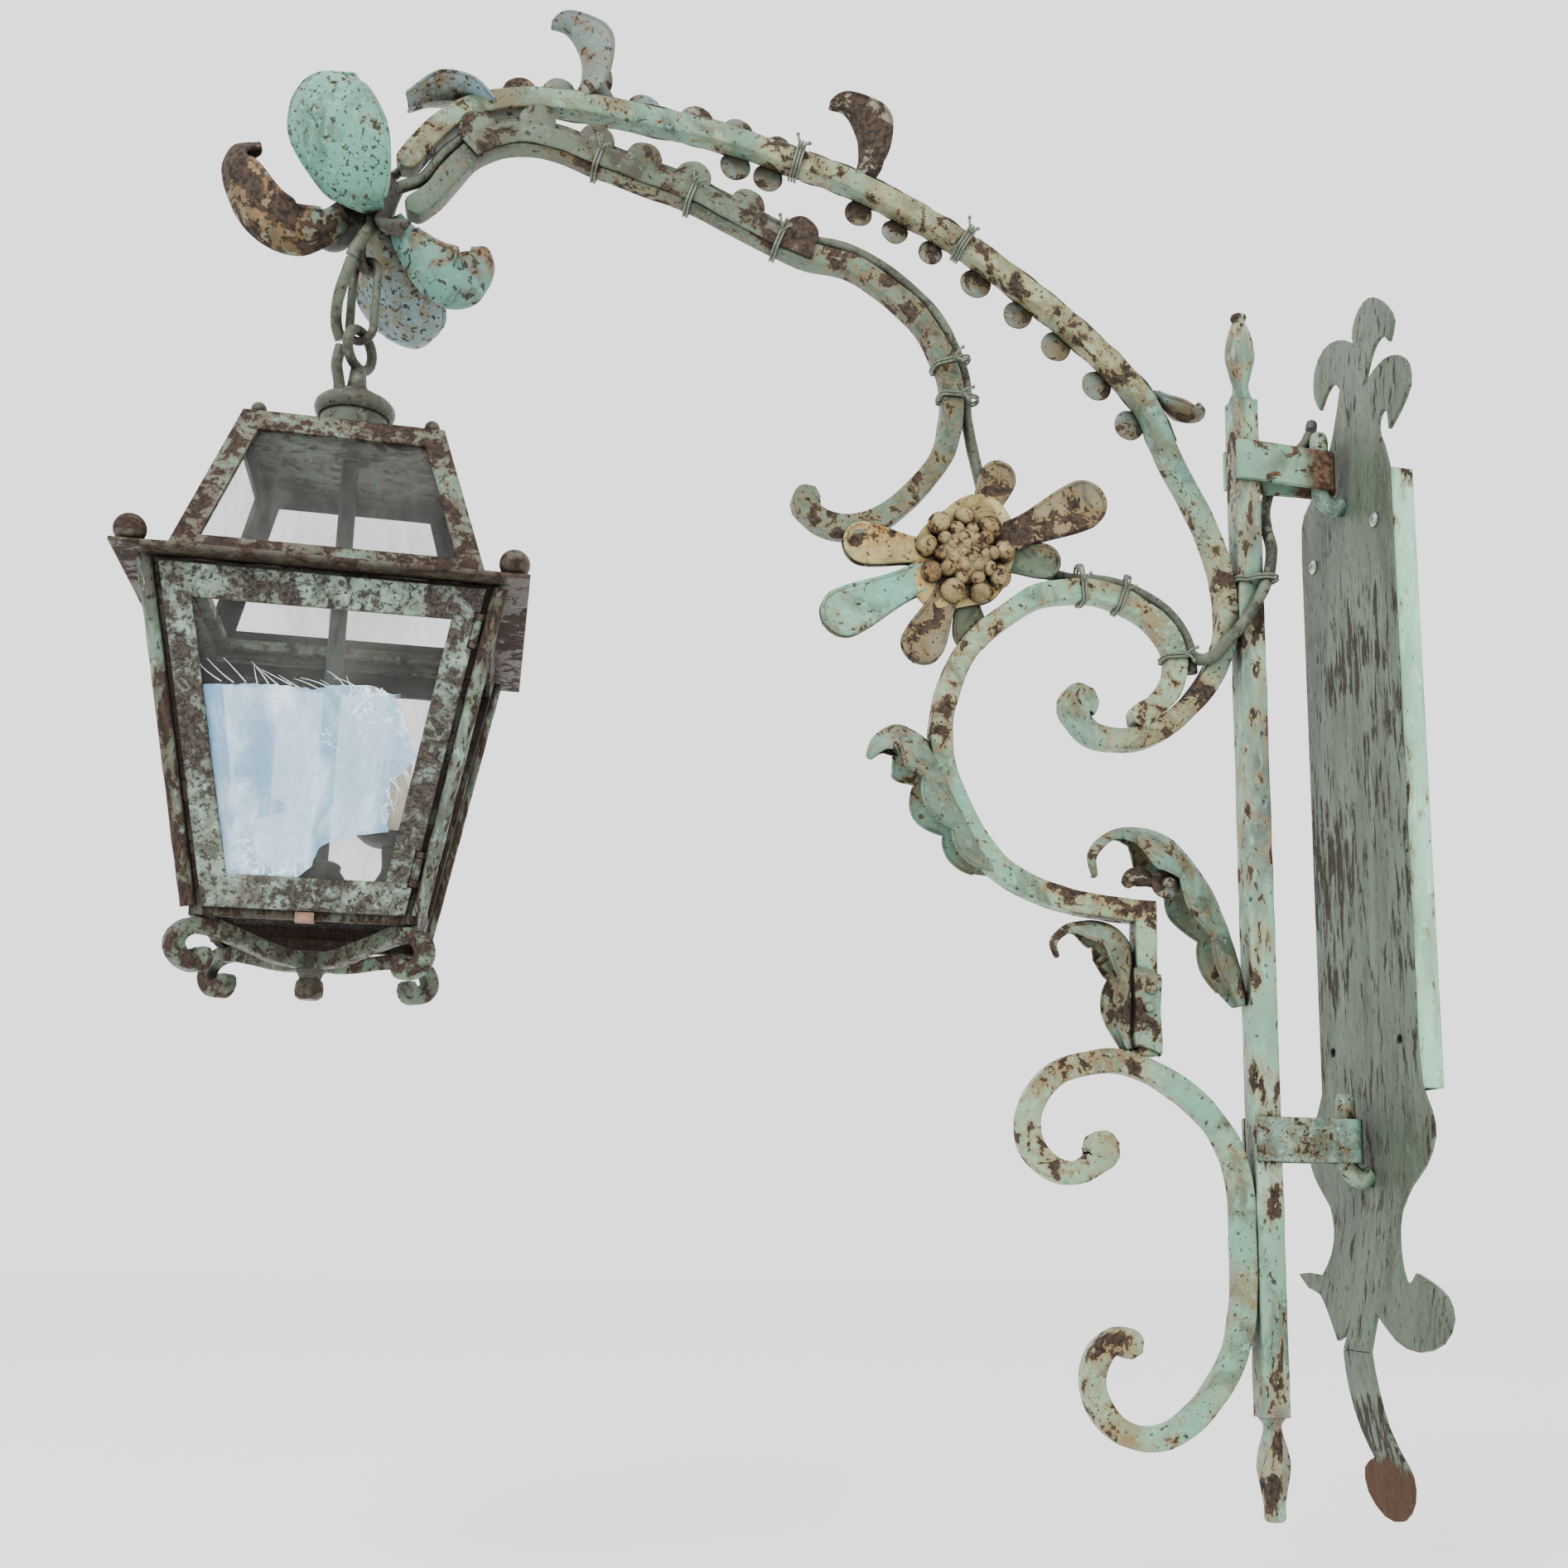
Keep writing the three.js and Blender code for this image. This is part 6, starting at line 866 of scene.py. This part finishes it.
for name, (line, begin, end, side, fold, lobes, leaf) in GARLANDS.items():
    low = 180 if line is MAIN else 270
    t0, t1 = at_reach(line, begin, low), at_reach(line, end, low)
    parts = [wrap(line, t0, t1, side, fold, len(name))]
    for where, off, size in lobes:
        point, tangent = share(line, t0 + (t1 - t0) * where)
        centre = point + side_of(tangent) * BAR * off + np.array([side * ON_BAR, 0, 0])
        parts.append(button(11.4 * size, centre, 1, where * 31 + size))
    if leaf:
        where, keel, length, width, degrees = leaf
        point, tangent = share(line, at_reach(line, where, low))
        foot = point + side_of(tangent) * ON_BAR
        place = cupped(keel, length, width, 0.5 if degrees else -1.2, ridge=1.2, wave=0.8)
        turn = Matrix.Translation(foot) @ Matrix.Rotation(math.radians(degrees), 4, "X")
        parts += rolled(place, 14, 34, 1.9, 0.6, where * 9, (1.2, 1.8, 0.05), turn)
    make(name + "_sheet", parts, "bracket", "lower_garland_paint" if name == "lower_garland" else "garland_paint",
         [name])

calyx_point, calyx_run = share(MAIN, at_reach(MAIN, 0.925, 180))
calyx_foot = calyx_point + side_of(calyx_run) * LEAF_ON_BAR - np.array([0, 22, 0])
place = cupped([(0, 0), (0.3, 0.16), (0.62, 0.24), (1, 0.14)], 58, 40, 0.35, base=0.5, tip=0.5, ridge=1.4, wave=0.6)
make("calyx_leaf_sheet", rolled(place, 16, 30, 1.9, 0.6, 2, (1.2, 1.8, 0.02), Matrix.Translation(calyx_foot)),
     "bracket", "blue_paint", ["calyx_leaf"])


# ---- rosette

ROSE = np.array([0, POST_Y - 0.3415 * REACH, 0.1665 * SPAN])


def spoon(degrees, long_share, end_share, x):
    """Lobe that runs out from the rosette's middle and ends in a round cup, with its rolled rim."""
    length, end = 48 * long_share, 48 * end_share
    d = math.radians(degrees)
    out, across = np.array([0, -math.cos(d), math.sin(d)]), np.array([0, math.sin(d), math.cos(d)])

    def place(u, v):
        run = length * (1 - (1 - v) ** 1.6)
        swell = min(max((run - length * 0.4) / (length * 0.6 - end), 0), 1)
        half = end * (0.6 + 0.4 * swell * swell * (3 - 2 * swell))
        left = length - run
        if left < end:
            half = math.sqrt(max(0.09, end * end - (end - left) ** 2))
        turn = u * 2 - 1
        rise = (0.4 + 1.9 * swell) * turn * turn + 1.3 * swell * max(0, 1 - left / end) ** 2
        return ROSE + out * run + across * half * turn + np.array([x + rise, 0, 0])
    return rolled(place, 14, 48, 2.2, 0.5, degrees, (1.5, 2.0, 0.22))


def rose_disc(x, spread=0.0):
    """Middle of a sheet; with spread, webs reach out between its lobes."""
    def place(u, v):
        a = 2 * math.pi * u
        web = max(math.exp(-((a - 2.05) / 0.62) ** 2), 0.75 * math.exp(-((a - 5.45) / 0.62) ** 2))
        r = 2 + 34 * v * (1 + spread * web * v + 0.03 * math.sin(5 * a))
        return ROSE + np.array([x + 0.5 * math.sin(3 * a + v * 4) * v, -r * math.cos(a), r * math.sin(a)])
    return blade(place, 72, 12, 2.2)


front = [rose_disc(5.5, 0.5)] + spoon(2, 1.85, 0.3, 5.5)
make("rosette_front_sheet", front, "bracket", "cream_paint", ["rosette_front"])
for name, lobe, tone in (("mint", (-30, 2.45, 0.34), "mint_lobe"), ("low", (-66, 1.85, 0.3), "lobe_paint"),
                         ("long", (151, 2.5, 0.35), "lobe_paint")):
    make("rosette_front_%s_lobe" % name, spoon(*lobe, 5.5), "bracket", tone)
rear = [rose_disc(-0.5)]
for lobe in ((151, 2.5, 0.35), (-30, 2.45, 0.34), (2, 1.85, 0.3), (-66, 1.85, 0.3), (176, 1.52, 0.26),
             (-96, 1.46, 0.26)):
    rear += spoon(*lobe, -0.5)
make("rosette_back_sheet", rear, "bracket", "dark_green", ["rosette_back"])
make("rosette_back_upper_lobe", spoon(112, 1.72, 0.26, -0.5), "bracket", "lobe_paint")
berries = []
for count, ring, size, lift, phase in ((9, 29, 8.6, 0, 0.2), (10, 19, 5.6, 4, 0.1), (7, 11, 4.8, 8, 0),
                                       (4, 5, 4, 11, 0.4)):
    for k in range(count):
        a = 2 * math.pi * k / count + phase
        centre = ROSE + np.array([8.3 + lift, ring * math.cos(a), ring * math.sin(a)])
        berries.append(globe(size * (1 + 0.10 * math.sin(k * 2.4)), centre, 20))
berries.append(moved(lathe([(0, 0), (22, 0), (20, 6), (14, 11), (6, 14), (0, 15)], (0, 0, 0), 30), Matrix.Translation(
    ROSE + np.array([6.5, 0, 0])) @ Matrix.Rotation(math.pi / 2, 4, "Y")))
make("rosette_berries_pressed", berries, "bracket", "berry_paint", ["rosette_berries"])


# ---- hook, link and ring

CHAIN = math.radians(-30)
ACROSS = np.array([-math.sin(CHAIN), math.cos(CHAIN), 0])
NORMAL = np.array([math.cos(CHAIN), math.sin(CHAIN), 0])


def chain(across, normal, height):
    """Point on the plumb line of hook, link and ring, across and along the direction that the link faces."""
    return np.array([0, LANTERN_Y, height]) + ACROSS * across + NORMAL * normal


hook_line = [share(MAIN, t)[0] + np.array([-11.8, 0, 0]) for t in (0.93, 0.955, 0.975)]
hook_line += [np.array([-5.6, LANTERN_Y + 5.6, 386.65]), np.array([-3.5, LANTERN_Y + 2, 370.5]),
              np.array([0, LANTERN_Y - 1.6, 356.05]), chain(0, 8, 338), chain(0, 8, 329.2)]
for k in range(9):
    a = k * math.pi / 8
    hook_line.append(chain(0, 8 * math.cos(a), HOOK_BEND + 8 * (1 - math.sin(a))))
hook_line.append(chain(0, -8.4, 330))
make("hook_forged", [tube(spaced(spline(hook_line), 1.5), lambda t: 3.5 * min(1, 0.55 + (1 - t) * 9), 16, bump=0.4)],
     "bracket", "rusted_iron", ["hook"])

link_top, half = HOOK_BEND + 6.8, 9.5
link_bottom = link_top - 60
loop = [chain(s * half * math.cos(k * math.pi / 10), 0, m + s * half * math.sin(k * math.pi / 10))
        for m, s in ((link_top - half, 1), (link_bottom + half, -1)) for k in range(11)]
make("hanging_link_forged", [hoop(loop, 3.0, 14, 8, 1.4, 0.3)],
     "link", "link_paint", ["hanging_link"])

# Neck of the cap, middle of its roll, and the dome above
CAP_TOP = CAP_BASE + 28 + 6.5 + 13.65
ring_middle = link_bottom + 6.8 - 13.5
eye = [chain(0, 14.5 * math.cos(k * math.pi / 12), ring_middle + 13.5 * math.sin(k * math.pi / 12)) for k in range(24)]
stem = [(5, CAP_TOP - 14), (5, CAP_TOP + 0.3), (7.2, CAP_TOP + 0.3), (8, CAP_TOP + 1.2), (8, CAP_TOP + 2.6),
        (6.6, CAP_TOP + 3.8), (5.2, ring_middle - 15), (4.2, ring_middle - 12.5), (0, ring_middle - 12.2)]
make("lantern_ring_forged", [hoop(eye, 3.5, 14, 6, 1.4, 0.3),
                             lathe([(0, CAP_TOP - 14)] + stem, AXIS, 24)], "lantern", "link_paint",
     ["lantern_ring"])


# ---- lantern

outside = [(22, 0), (22.2, 2), (21.8, 12), (21.9, 25), (22.1, 28.6), (23.4, 28.2), (25.4, 30.2), (26.5, 34.2),
           (25.9, 37.6), (23.7, 40.2), (20.3, 41.3), (17.0, 43.2), (13.6, 46.4), (9.5, 48.0), (5.5, 48.15)]
inside = [(5.5, 45.6), (9.0, 45.5), (14, 43), (17.5, 39), (19.5, 36), (19.5, 25), (19.5, 0)]
make("cap_turned", [lathe([(r, CAP_BASE + z) for r, z in outside + inside], AXIS, 48, closed=True, bump=0.35)],
     "lantern", "cap_paint", ["cap"])


def square_ring(outer, inner, low, high):
    """Flat square ring with softened edges that are a little uneven."""
    section = [(inner, low), (inner, high), (outer - 0.7, high), (outer, high - 0.7), (outer, low + 0.7),
               (outer - 0.7, low)]
    rings = []
    for side in range(4):
        a = math.radians(90 * side)
        for k in range(24):
            t = -1 + 2 * k / 24
            ring = []
            for r, z in section:
                x, y = r, r * t
                dz = 0.35 * noise.noise(Vector((side * 3 + t * 5, z * 0.1, 0)))
                ring.append((x * math.cos(a) - y * math.sin(a), LANTERN_Y + x * math.sin(a) + y * math.cos(a), z + dz))
            rings.append(ring)
    return skin(rings, closed=True)


def four_balls(radius, out, height, sides):
    """A ball at each corner of the lantern."""
    return [globe(radius, (x * out, LANTERN_Y + y * out, height), sides) for x in (-1, 1) for y in (-1, 1)]


cornice = [square_ring(121, 86, CORNICE_LOW, CORNICE_TOP)] + four_balls(9.5, 111.2, 71.6, 28)
make("cornice_plate", cornice, "lantern", "cornice_paint", ["cornice"])
make("roof_balls", four_balls(4.9, 53.84, 181.9, 20), "lantern", "cornice_paint")
corner_rods = []
for x in (-1, 1):
    for y in (-1, 1):
        line = []
        for k in range(31):
            out = 66.2 + BODY_SPREAD * k / 30
            line.append((x * out, LANTERN_Y + y * out, BODY_LOW + 202 * k / 30))
        corner_rods.append(tube(line, 4.75, 14, bump=0.45, seed=x + 2 * y))
make("body_corner_rods", corner_rods, "lantern", "rod_paint")

FOOT_HALF = [(0, -0.122), (0.3, -0.105), (0.6, -0.042), (0.84, 0), (0.97, -0.014), (1.06, -0.072), (1.085, -0.15),
             (1.03, -0.222), (0.945, -0.242), (0.885, -0.195), (0.9, -0.14)]
corner_reach = 66 * math.sqrt(2)
foot_half = [(0, a * corner_reach, -149 - 5.3 + b * corner_reach) for a, b in FOOT_HALF]
foot_line = [(0, -y, z) for x, y, z in foot_half[:0:-1]] + foot_half
middle_z = foot_half[0][2]
curls = []
for side in (1, -1):
    one = bar(spaced(spline(foot_line), 1.8), ends(7.5, 7.5, 5), 5, corner=1.3, wobble=0.4)
    curls.append(moved(one, Matrix.Translation(AXIS) @ Matrix.Rotation(side * math.pi / 4, 4, "Z")))
nut = [(0, -23.5), (6.1, -23.5), (8.4, -21.4), (9.0, -17.5), (8.3, -12.6), (6.6, -10.4), (7.4, -8.2),
       (8.4, -6.6), (8.4, -4),
       (0, -4)]
make("base_cross_forged", curls, "lantern", "foot_paint", ["base_cross"])
make("base_finial", [lathe([(r, middle_z + z) for r, z in nut], AXIS, 28, bump=0.3),
                     lathe([(0, middle_z - 6.5), (9, middle_z - 6.2), (10, middle_z - 5.2), (9.6, middle_z + 6),
                            (0, middle_z + 6)],
                           AXIS, 28, bump=0.4)], "lantern", "rusted_iron")

stem_top = CAP_TOP - 14.3
stem_profile = [(0, -130.3), (7.2, -130.3), (8.8, -128.4), (8.8, -122.6), (5.5, -122.3), (5.5, stem_top),
                (3.3, stem_top), (3.3, stem_top - 20), (0, stem_top - 20)]
make("stem_tube_drawn", [lathe(stem_profile, AXIS, 26, bump=0.2)], "lantern", "stem_paint", ["stem_tube"])

CANDLE = math.radians(-137)
hub_profile = curved([(8.7, -122), (13, -121.6), (15.4, -118), (17, -112), (15.2, -108.4), (13.6, -106), (13.9, -103),
                      (11, -100.6), (8.7, -100)])
hub_profile = [(5.8, -122)] + [tuple(p) for p in hub_profile] + [(5.8, -100)]
hub = [lathe(hub_profile, AXIS, 36, closed=True, bump=0.3)]
for side in (0, 1):
    line = spaced(spline([(0, 11.9, -112), (0, 24.75, -119.2), (0, 44, -112), (0, 55, -98.5), (0, 55, -80.3)]), 1.6)
    hub.append(moved(tube(line, 4.5, 16, bump=0.3),
                     Matrix.Translation(AXIS) @ Matrix.Rotation(CANDLE + side * math.pi, 4, "Z")))
make("candle_hub_cast", hub, "lantern", "dark_iron", ["candle_hub"])
pan = [(3.2, -2), (8.4, -2.1), (13, -1.2), (16.8, 0.8), (20.2, 3.6), (21, 4.3), (20.9, 5.5), (20.2, 5.6), (18.5, 4.5),
           (15.7, 2.6), (12, 0.9), (8.4, 0), (3.2, 0)]
sleeve = [(4.1, 0.3), (7.1, 0.3), (7.1, 3.4), (11.2, 3.6), (11.5, 4.2), (11.45, 30), (11.5, 55.6), (11.2, 56),
          (10.5, 56), (10.3, 55.6), (10.3, 5.4), (4.1, 5.4)]
blob = [(0, 31), (10, 31), (10, 56), (9.4, 57.6), (8.6, 61), (8.5, 67), (8.3, 72), (7.2, 76.2), (5.2, 79),
        (2.6, 80.2), (0, 80.5)]
for where, side in (("near", 0), ("far", 1)):
    a = CANDLE + side * math.pi
    centre = (-math.sin(a) * 55, LANTERN_Y + math.cos(a) * 55, -78)
    make("drip_pan_%s_spun" % where, [lathe(pan, centre, 40, closed=True, bump=0.4)], "lantern", "pan_paint",
         ["drip_pan_" + where])
    make("candle_sleeve_%s_tube" % where, [lathe(sleeve, centre, 36, closed=True, bump=0.25)], "lantern",
         "ivory_sleeve", ["candle_sleeve_" + where])
    make("bulb_%s_blown" % where, [lathe(curved(blob, 4), centre, 32)], "lantern", "bulb_glass",
         ["bulb_" + where])


# ---- supply cable and its wire ties

def steps_from(origin, steps):
    """Points in cable diameters from an origin."""
    return [tuple(o + CABLE * s for o, s in zip(origin, step)) for step in steps]


def beside(line, begin, end, count, across):
    """Cable points on the upper side of a bar between two shares of its length."""
    points = []
    for k in range(count):
        point, tangent = share(line, begin + (end - begin) * k / (count - 1))
        p = point + side_of(tangent) * CABLE_ON_BAR
        points.append((across[min(k, len(across) - 1)], p[1], p[2]))
    return points


arm_route = steps_from(PINTLE, [(-0.89, -0.31, 4.11), (-1.06, -0.72, 3.28), (-1.72, -1.56, 2.28),
                                       (-2.22, -3.33, -0.22), (-1.89, -4.33, -2.89), (-0.44, -4.89, -5.33),
                                       (1, -5.22, -7.89)])
arm_route += steps_from((15.7, POST_Y, 90), [(0, 1, 6.67), (0, -0.67, 3.56), (-0.03, -2.44, 1.33),
                                             (-0.12, -3.78, -0.17), (-0.74, -4.83, -0.44), (-1.63, -5.17, 0.22)])
arm_route += beside(MIDDLE, 0.105, 0.30, 7, [0, 0, 0, -1, -4, -8.5, -9])
arm_route += [(-9, POST_Y - 0.28 * REACH, 0.1755 * SPAN), (-9, POST_Y - 0.3015 * REACH, 0.2022 * SPAN)]
arm_route += beside(LOWER, 0.27, 0.955, 20, [-7, -5, -2, 0])
arm_route += steps_from(FLOWER, [(0.44, 1.67, 2), (0.76, 0.78, 0.56), (0.85, 0.3, -0.67), (1.28, 0.33, -1.67),
                                              (1.72, -0.06, -2.78), (1.78, -0.67, -4), (1.66, -0.96, -4.76)])
wall_route = steps_from((-10.2, -8.3, 133.6), [(0, 0, 0), (0, 0, 1)])
wall_route += steps_from(PINTLE, [(-1.9, 3.48, -9.6), (-2.8, 3.4, -5.33), (-3.9, 3.28, -1.3), (-4.8, 3.1, 1),
                                         (-4.7, 2.0, 3.2), (-3.3, 0.95, 4.5), (-1.8, 0.3, 5.2), (-0.94, -0.11, 5.06),
                                         (-0.89, -0.22, 4.56)])
link_route = steps_from((0, LANTERN_Y, HOOK_BEND), [(1.66, -0.96, -0.11), (1.39, -1.39, -1.56), (0.67, -1.83, -3.22),
                                              (-0.5, -1.89, -4.56), (-0.82, -1.54, -5.56)])
lantern_route = steps_from((0, LANTERN_Y, link_bottom), [(-0.82, -1.49, -0.22), (-0.67, -1.61, -1.2), (0, -1.56, -2.42),
                                                         (0.67, -1.31, -3.53)])
lantern_route += [(7.8, LANTERN_Y - 10.8, CAP_TOP - 0.3), (7.8, LANTERN_Y - 10.8, CAP_TOP - 13)]
for name, route, body, tone, thick in (
        ("wall_cable", wall_route, "wall", "cable_sheath", 4.45),
        ("arm_cable", arm_route, "bracket", "painted_sheath", 4.45),
        ("link_cable", link_route, "link", "painted_sheath", 3.9),
        ("lantern_cable", lantern_route, "lantern", "painted_sheath", 3.9)):
    make(name + "_sheathed", [tube(spaced(spline(route, per=12), 2.5), thick, 18, bump=0.35, seed=3)], body,
         tone, [name])

round_post = [(-11.3, -115.3), (-11.3, -92.7), (8, -87.5), (17.5, -86.5), (21, -91), (21, -97), (17.5, -103),
              (11.3, -109), (11.0, -115.3)]
post_ties = [hoop([(x, y, z) for x, y in round_post], 1.0, 8) for z in (151.5, 154)]
make("post_cable_tie", post_ties, "bracket", "tie_wire")


def tie(line, where, seed, wide, low=-9.6, high=19.4, turns=2):
    """Wire twisted round a bar and the cable on it, with its two ends left standing."""
    parts = []
    point, tangent = share(line, where)
    up = side_of(tangent)
    for k in range(turns):
        centre = point + tangent * (k - (turns - 1) / 2) * 2.3
        loop = [(wide, low + 2), (wide, 6), (wide * 0.85, 13), (0.45 * wide, high), (-0.45 * wide, high),
                (-wide * 0.85, 13), (-wide, 6), (-wide, low + 2), (-wide * 0.8, low), (wide * 0.8, low)]
        ring = [centre + up * s + np.array([x, 0, 0]) for x, s in loop]
        parts.append(hoop(ring, 0.95, 8))
    for sign in (-1, 1):
        start = point + np.array([wide + 0.3, 0, 0]) + up * 5
        tail = [start, start + np.array([3.5, 0, 0]) + up * 2 + tangent * 2 * sign,
                start + np.array([4.5, 0, 0]) + up * (6 + 2 * sign) + tangent * (5 * sign + seed)]
        parts.append(tube(spaced(spline(tail, per=6), 1.2), 0.9, 8))
        parts.append(globe(1.5, tail[-1], 10))
    return parts


ties = []
for k, (line, where) in enumerate(((MIDDLE, 0.121), (MIDDLE, 0.234), (MIDDLE, 0.29), (LOWER, 0.285), (LOWER, 0.324),
                                   (LOWER, 0.558), (LOWER, 0.661), (LOWER, 0.764))):
    ties += tie(line, where, k % 3 - 1, 11.2 if line is LOWER and where > 0.5 else 9.4)
for k, where in enumerate((0.694, 0.559)):
    ties += tie(MAIN, where, k, 11.0, -9.8, 11.6, 3)
make("cable_ties", ties, "bracket", "tie_wire")


# ---- what is left of a film on the door's pane

FILM_LOW = -129.5
FILM_LEFT = [(-130.0, -46.0), (-85.0, -54.2), (-40.5, -62.7), (-5.0, -68.5)]
FILM_RIGHT = [(-130.5, -12.5), (-117.6, 1.3), (-105.2, 6.4), (-98.1, 23.7), (-93.8, 44.9), (-81.5, 44.9), (-63.2, 45.3),
              (-54.9, 53.8), (-45.4, 58.5), (-27.4, 52.1), (-12.6, 45.3), (-5.0, 38.0)]
FILM_TOP = [(-68, -13.8), (-25.6, -10.5), (-5.1, -11.9), (16.7, -7.2), (37.7, -10.1), (60, -13)]


def pane_x(z):
    """How far out the leaning pane stands at a height."""
    return BODY_HALF + (z - BODY_LOW) * BODY_SPREAD / BODY_RISE


def film_place(u, v):
    """The film's own outline laid on the leaning pane, with crumples that stand off it."""
    z = FILM_LOW + v * 119.5
    left = np.interp(z, *zip(*FILM_LEFT))
    far = np.interp(z, *zip(*FILM_RIGHT)) + 2.2 * noise.noise(Vector((z * 0.21, 4, 1)))
    y = left + u * (far - left)
    z = FILM_LOW + v * (np.interp(y, *zip(*FILM_TOP)) + 1.5 * noise.noise(Vector((y * 0.2, 2, 7))) - FILM_LOW)
    crumple = 0
    for across, up, shift, size in ((0.055, 0.03, 3, 1.5), (0.16, 0.11, 9, 0.8), (0.4, 0.33, 5, 0.35)):
        crumple += abs(noise.noise(Vector((y * across, z * up, shift)))) * size
    lean = math.atan2(BODY_SPREAD, BODY_RISE)
    out = 0.45 + crumple
    return np.array([pane_x(z) + out * math.cos(lean), LANTERN_Y + y, z - out * math.sin(lean)])


make("door_film_remains", [blade(film_place, 90, 90, 0.2)], "door", "crumpled_film")
# Thin strands along the film's wrinkles, painted pale as glints.
creases = []
for k in range(58):
    a, b, c = (abs(math.sin(k * w + 1.3)) for w in (12.9898, 78.233, 37.719))
    if k % 3:
        z, y, way = -70 + 62 * a, np.interp(-70 + 62 * a, *zip(*FILM_RIGHT)) - 9 * b, 0.5 - 1.6 * c
    else:
        y, z, way = -66 + 104 * a, -14 + 4 * b, 0.3 + 2.4 * c
    line = []
    for t in (0, 0.35, 0.7, 1):
        across = y + 14 * t * math.cos(way + t * (b - 0.5)) * (0.25 + c)
        height = z + 14 * t * math.sin(way + t * (a - 0.5)) * (0.25 + c)
        line.append((pane_x(height) + 0.75, LANTERN_Y + max(-70, min(78, across)), height))
    creases.append(tube(spaced(spline(line), 1.5), lambda t: 0.34 * (1 - 0.75 * t), 6))
make("door_film_creases", creases, "door", "film_crease_glint")


# ---- floor and light

floor_shader = Shader("studio_floor")
floor_tone = floor_shader.noise(3.0, 3, 0.5)
floor_shader.finish(floor_shader.mix(floor_tone, (0.92, 0.92, 0.915), (0.94, 0.94, 0.935)), 0.9)
floor_mesh = bpy.data.meshes.new("floor")
floor_z = cad_low.z - 0.05
floor_mesh.from_pydata([(x * 9, y * 9, floor_z) for x, y in ((-1, -1), (1, -1), (1, 1), (-1, 1))], [], [(0, 1, 2, 3)])
floor = bpy.data.objects.new("floor", floor_mesh)
bpy.context.scene.collection.objects.link(floor)
floor_mesh.materials.append(MATERIALS["studio_floor"])
floor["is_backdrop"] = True

world = bpy.data.worlds.new("studio")
bpy.context.scene.world = world
world.use_nodes = True
world.node_tree.nodes["Background"].inputs["Color"].default_value = (1.0, 1.0, 1.0, 1.0)
world.node_tree.nodes["Background"].inputs["Strength"].default_value = 2.0


def lamp(name, place, target, size, power):
    data = bpy.data.lights.new(name, "AREA")
    data.size = size
    data.energy = power
    light = bpy.data.objects.new(name, data)
    light.location = place
    light.rotation_euler = (Vector(target) - Vector(place)).to_track_quat("-Z", "Y").to_euler()
    bpy.context.scene.collection.objects.link(light)


lamp("key", (1.6, -1.6, 1.7), (0, -0.4, 0.1), 0.9, 62)
lamp("fill", (1.8, 0.9, 0.3), (0, -0.3, 0.0), 1.4, 5)

low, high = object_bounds()
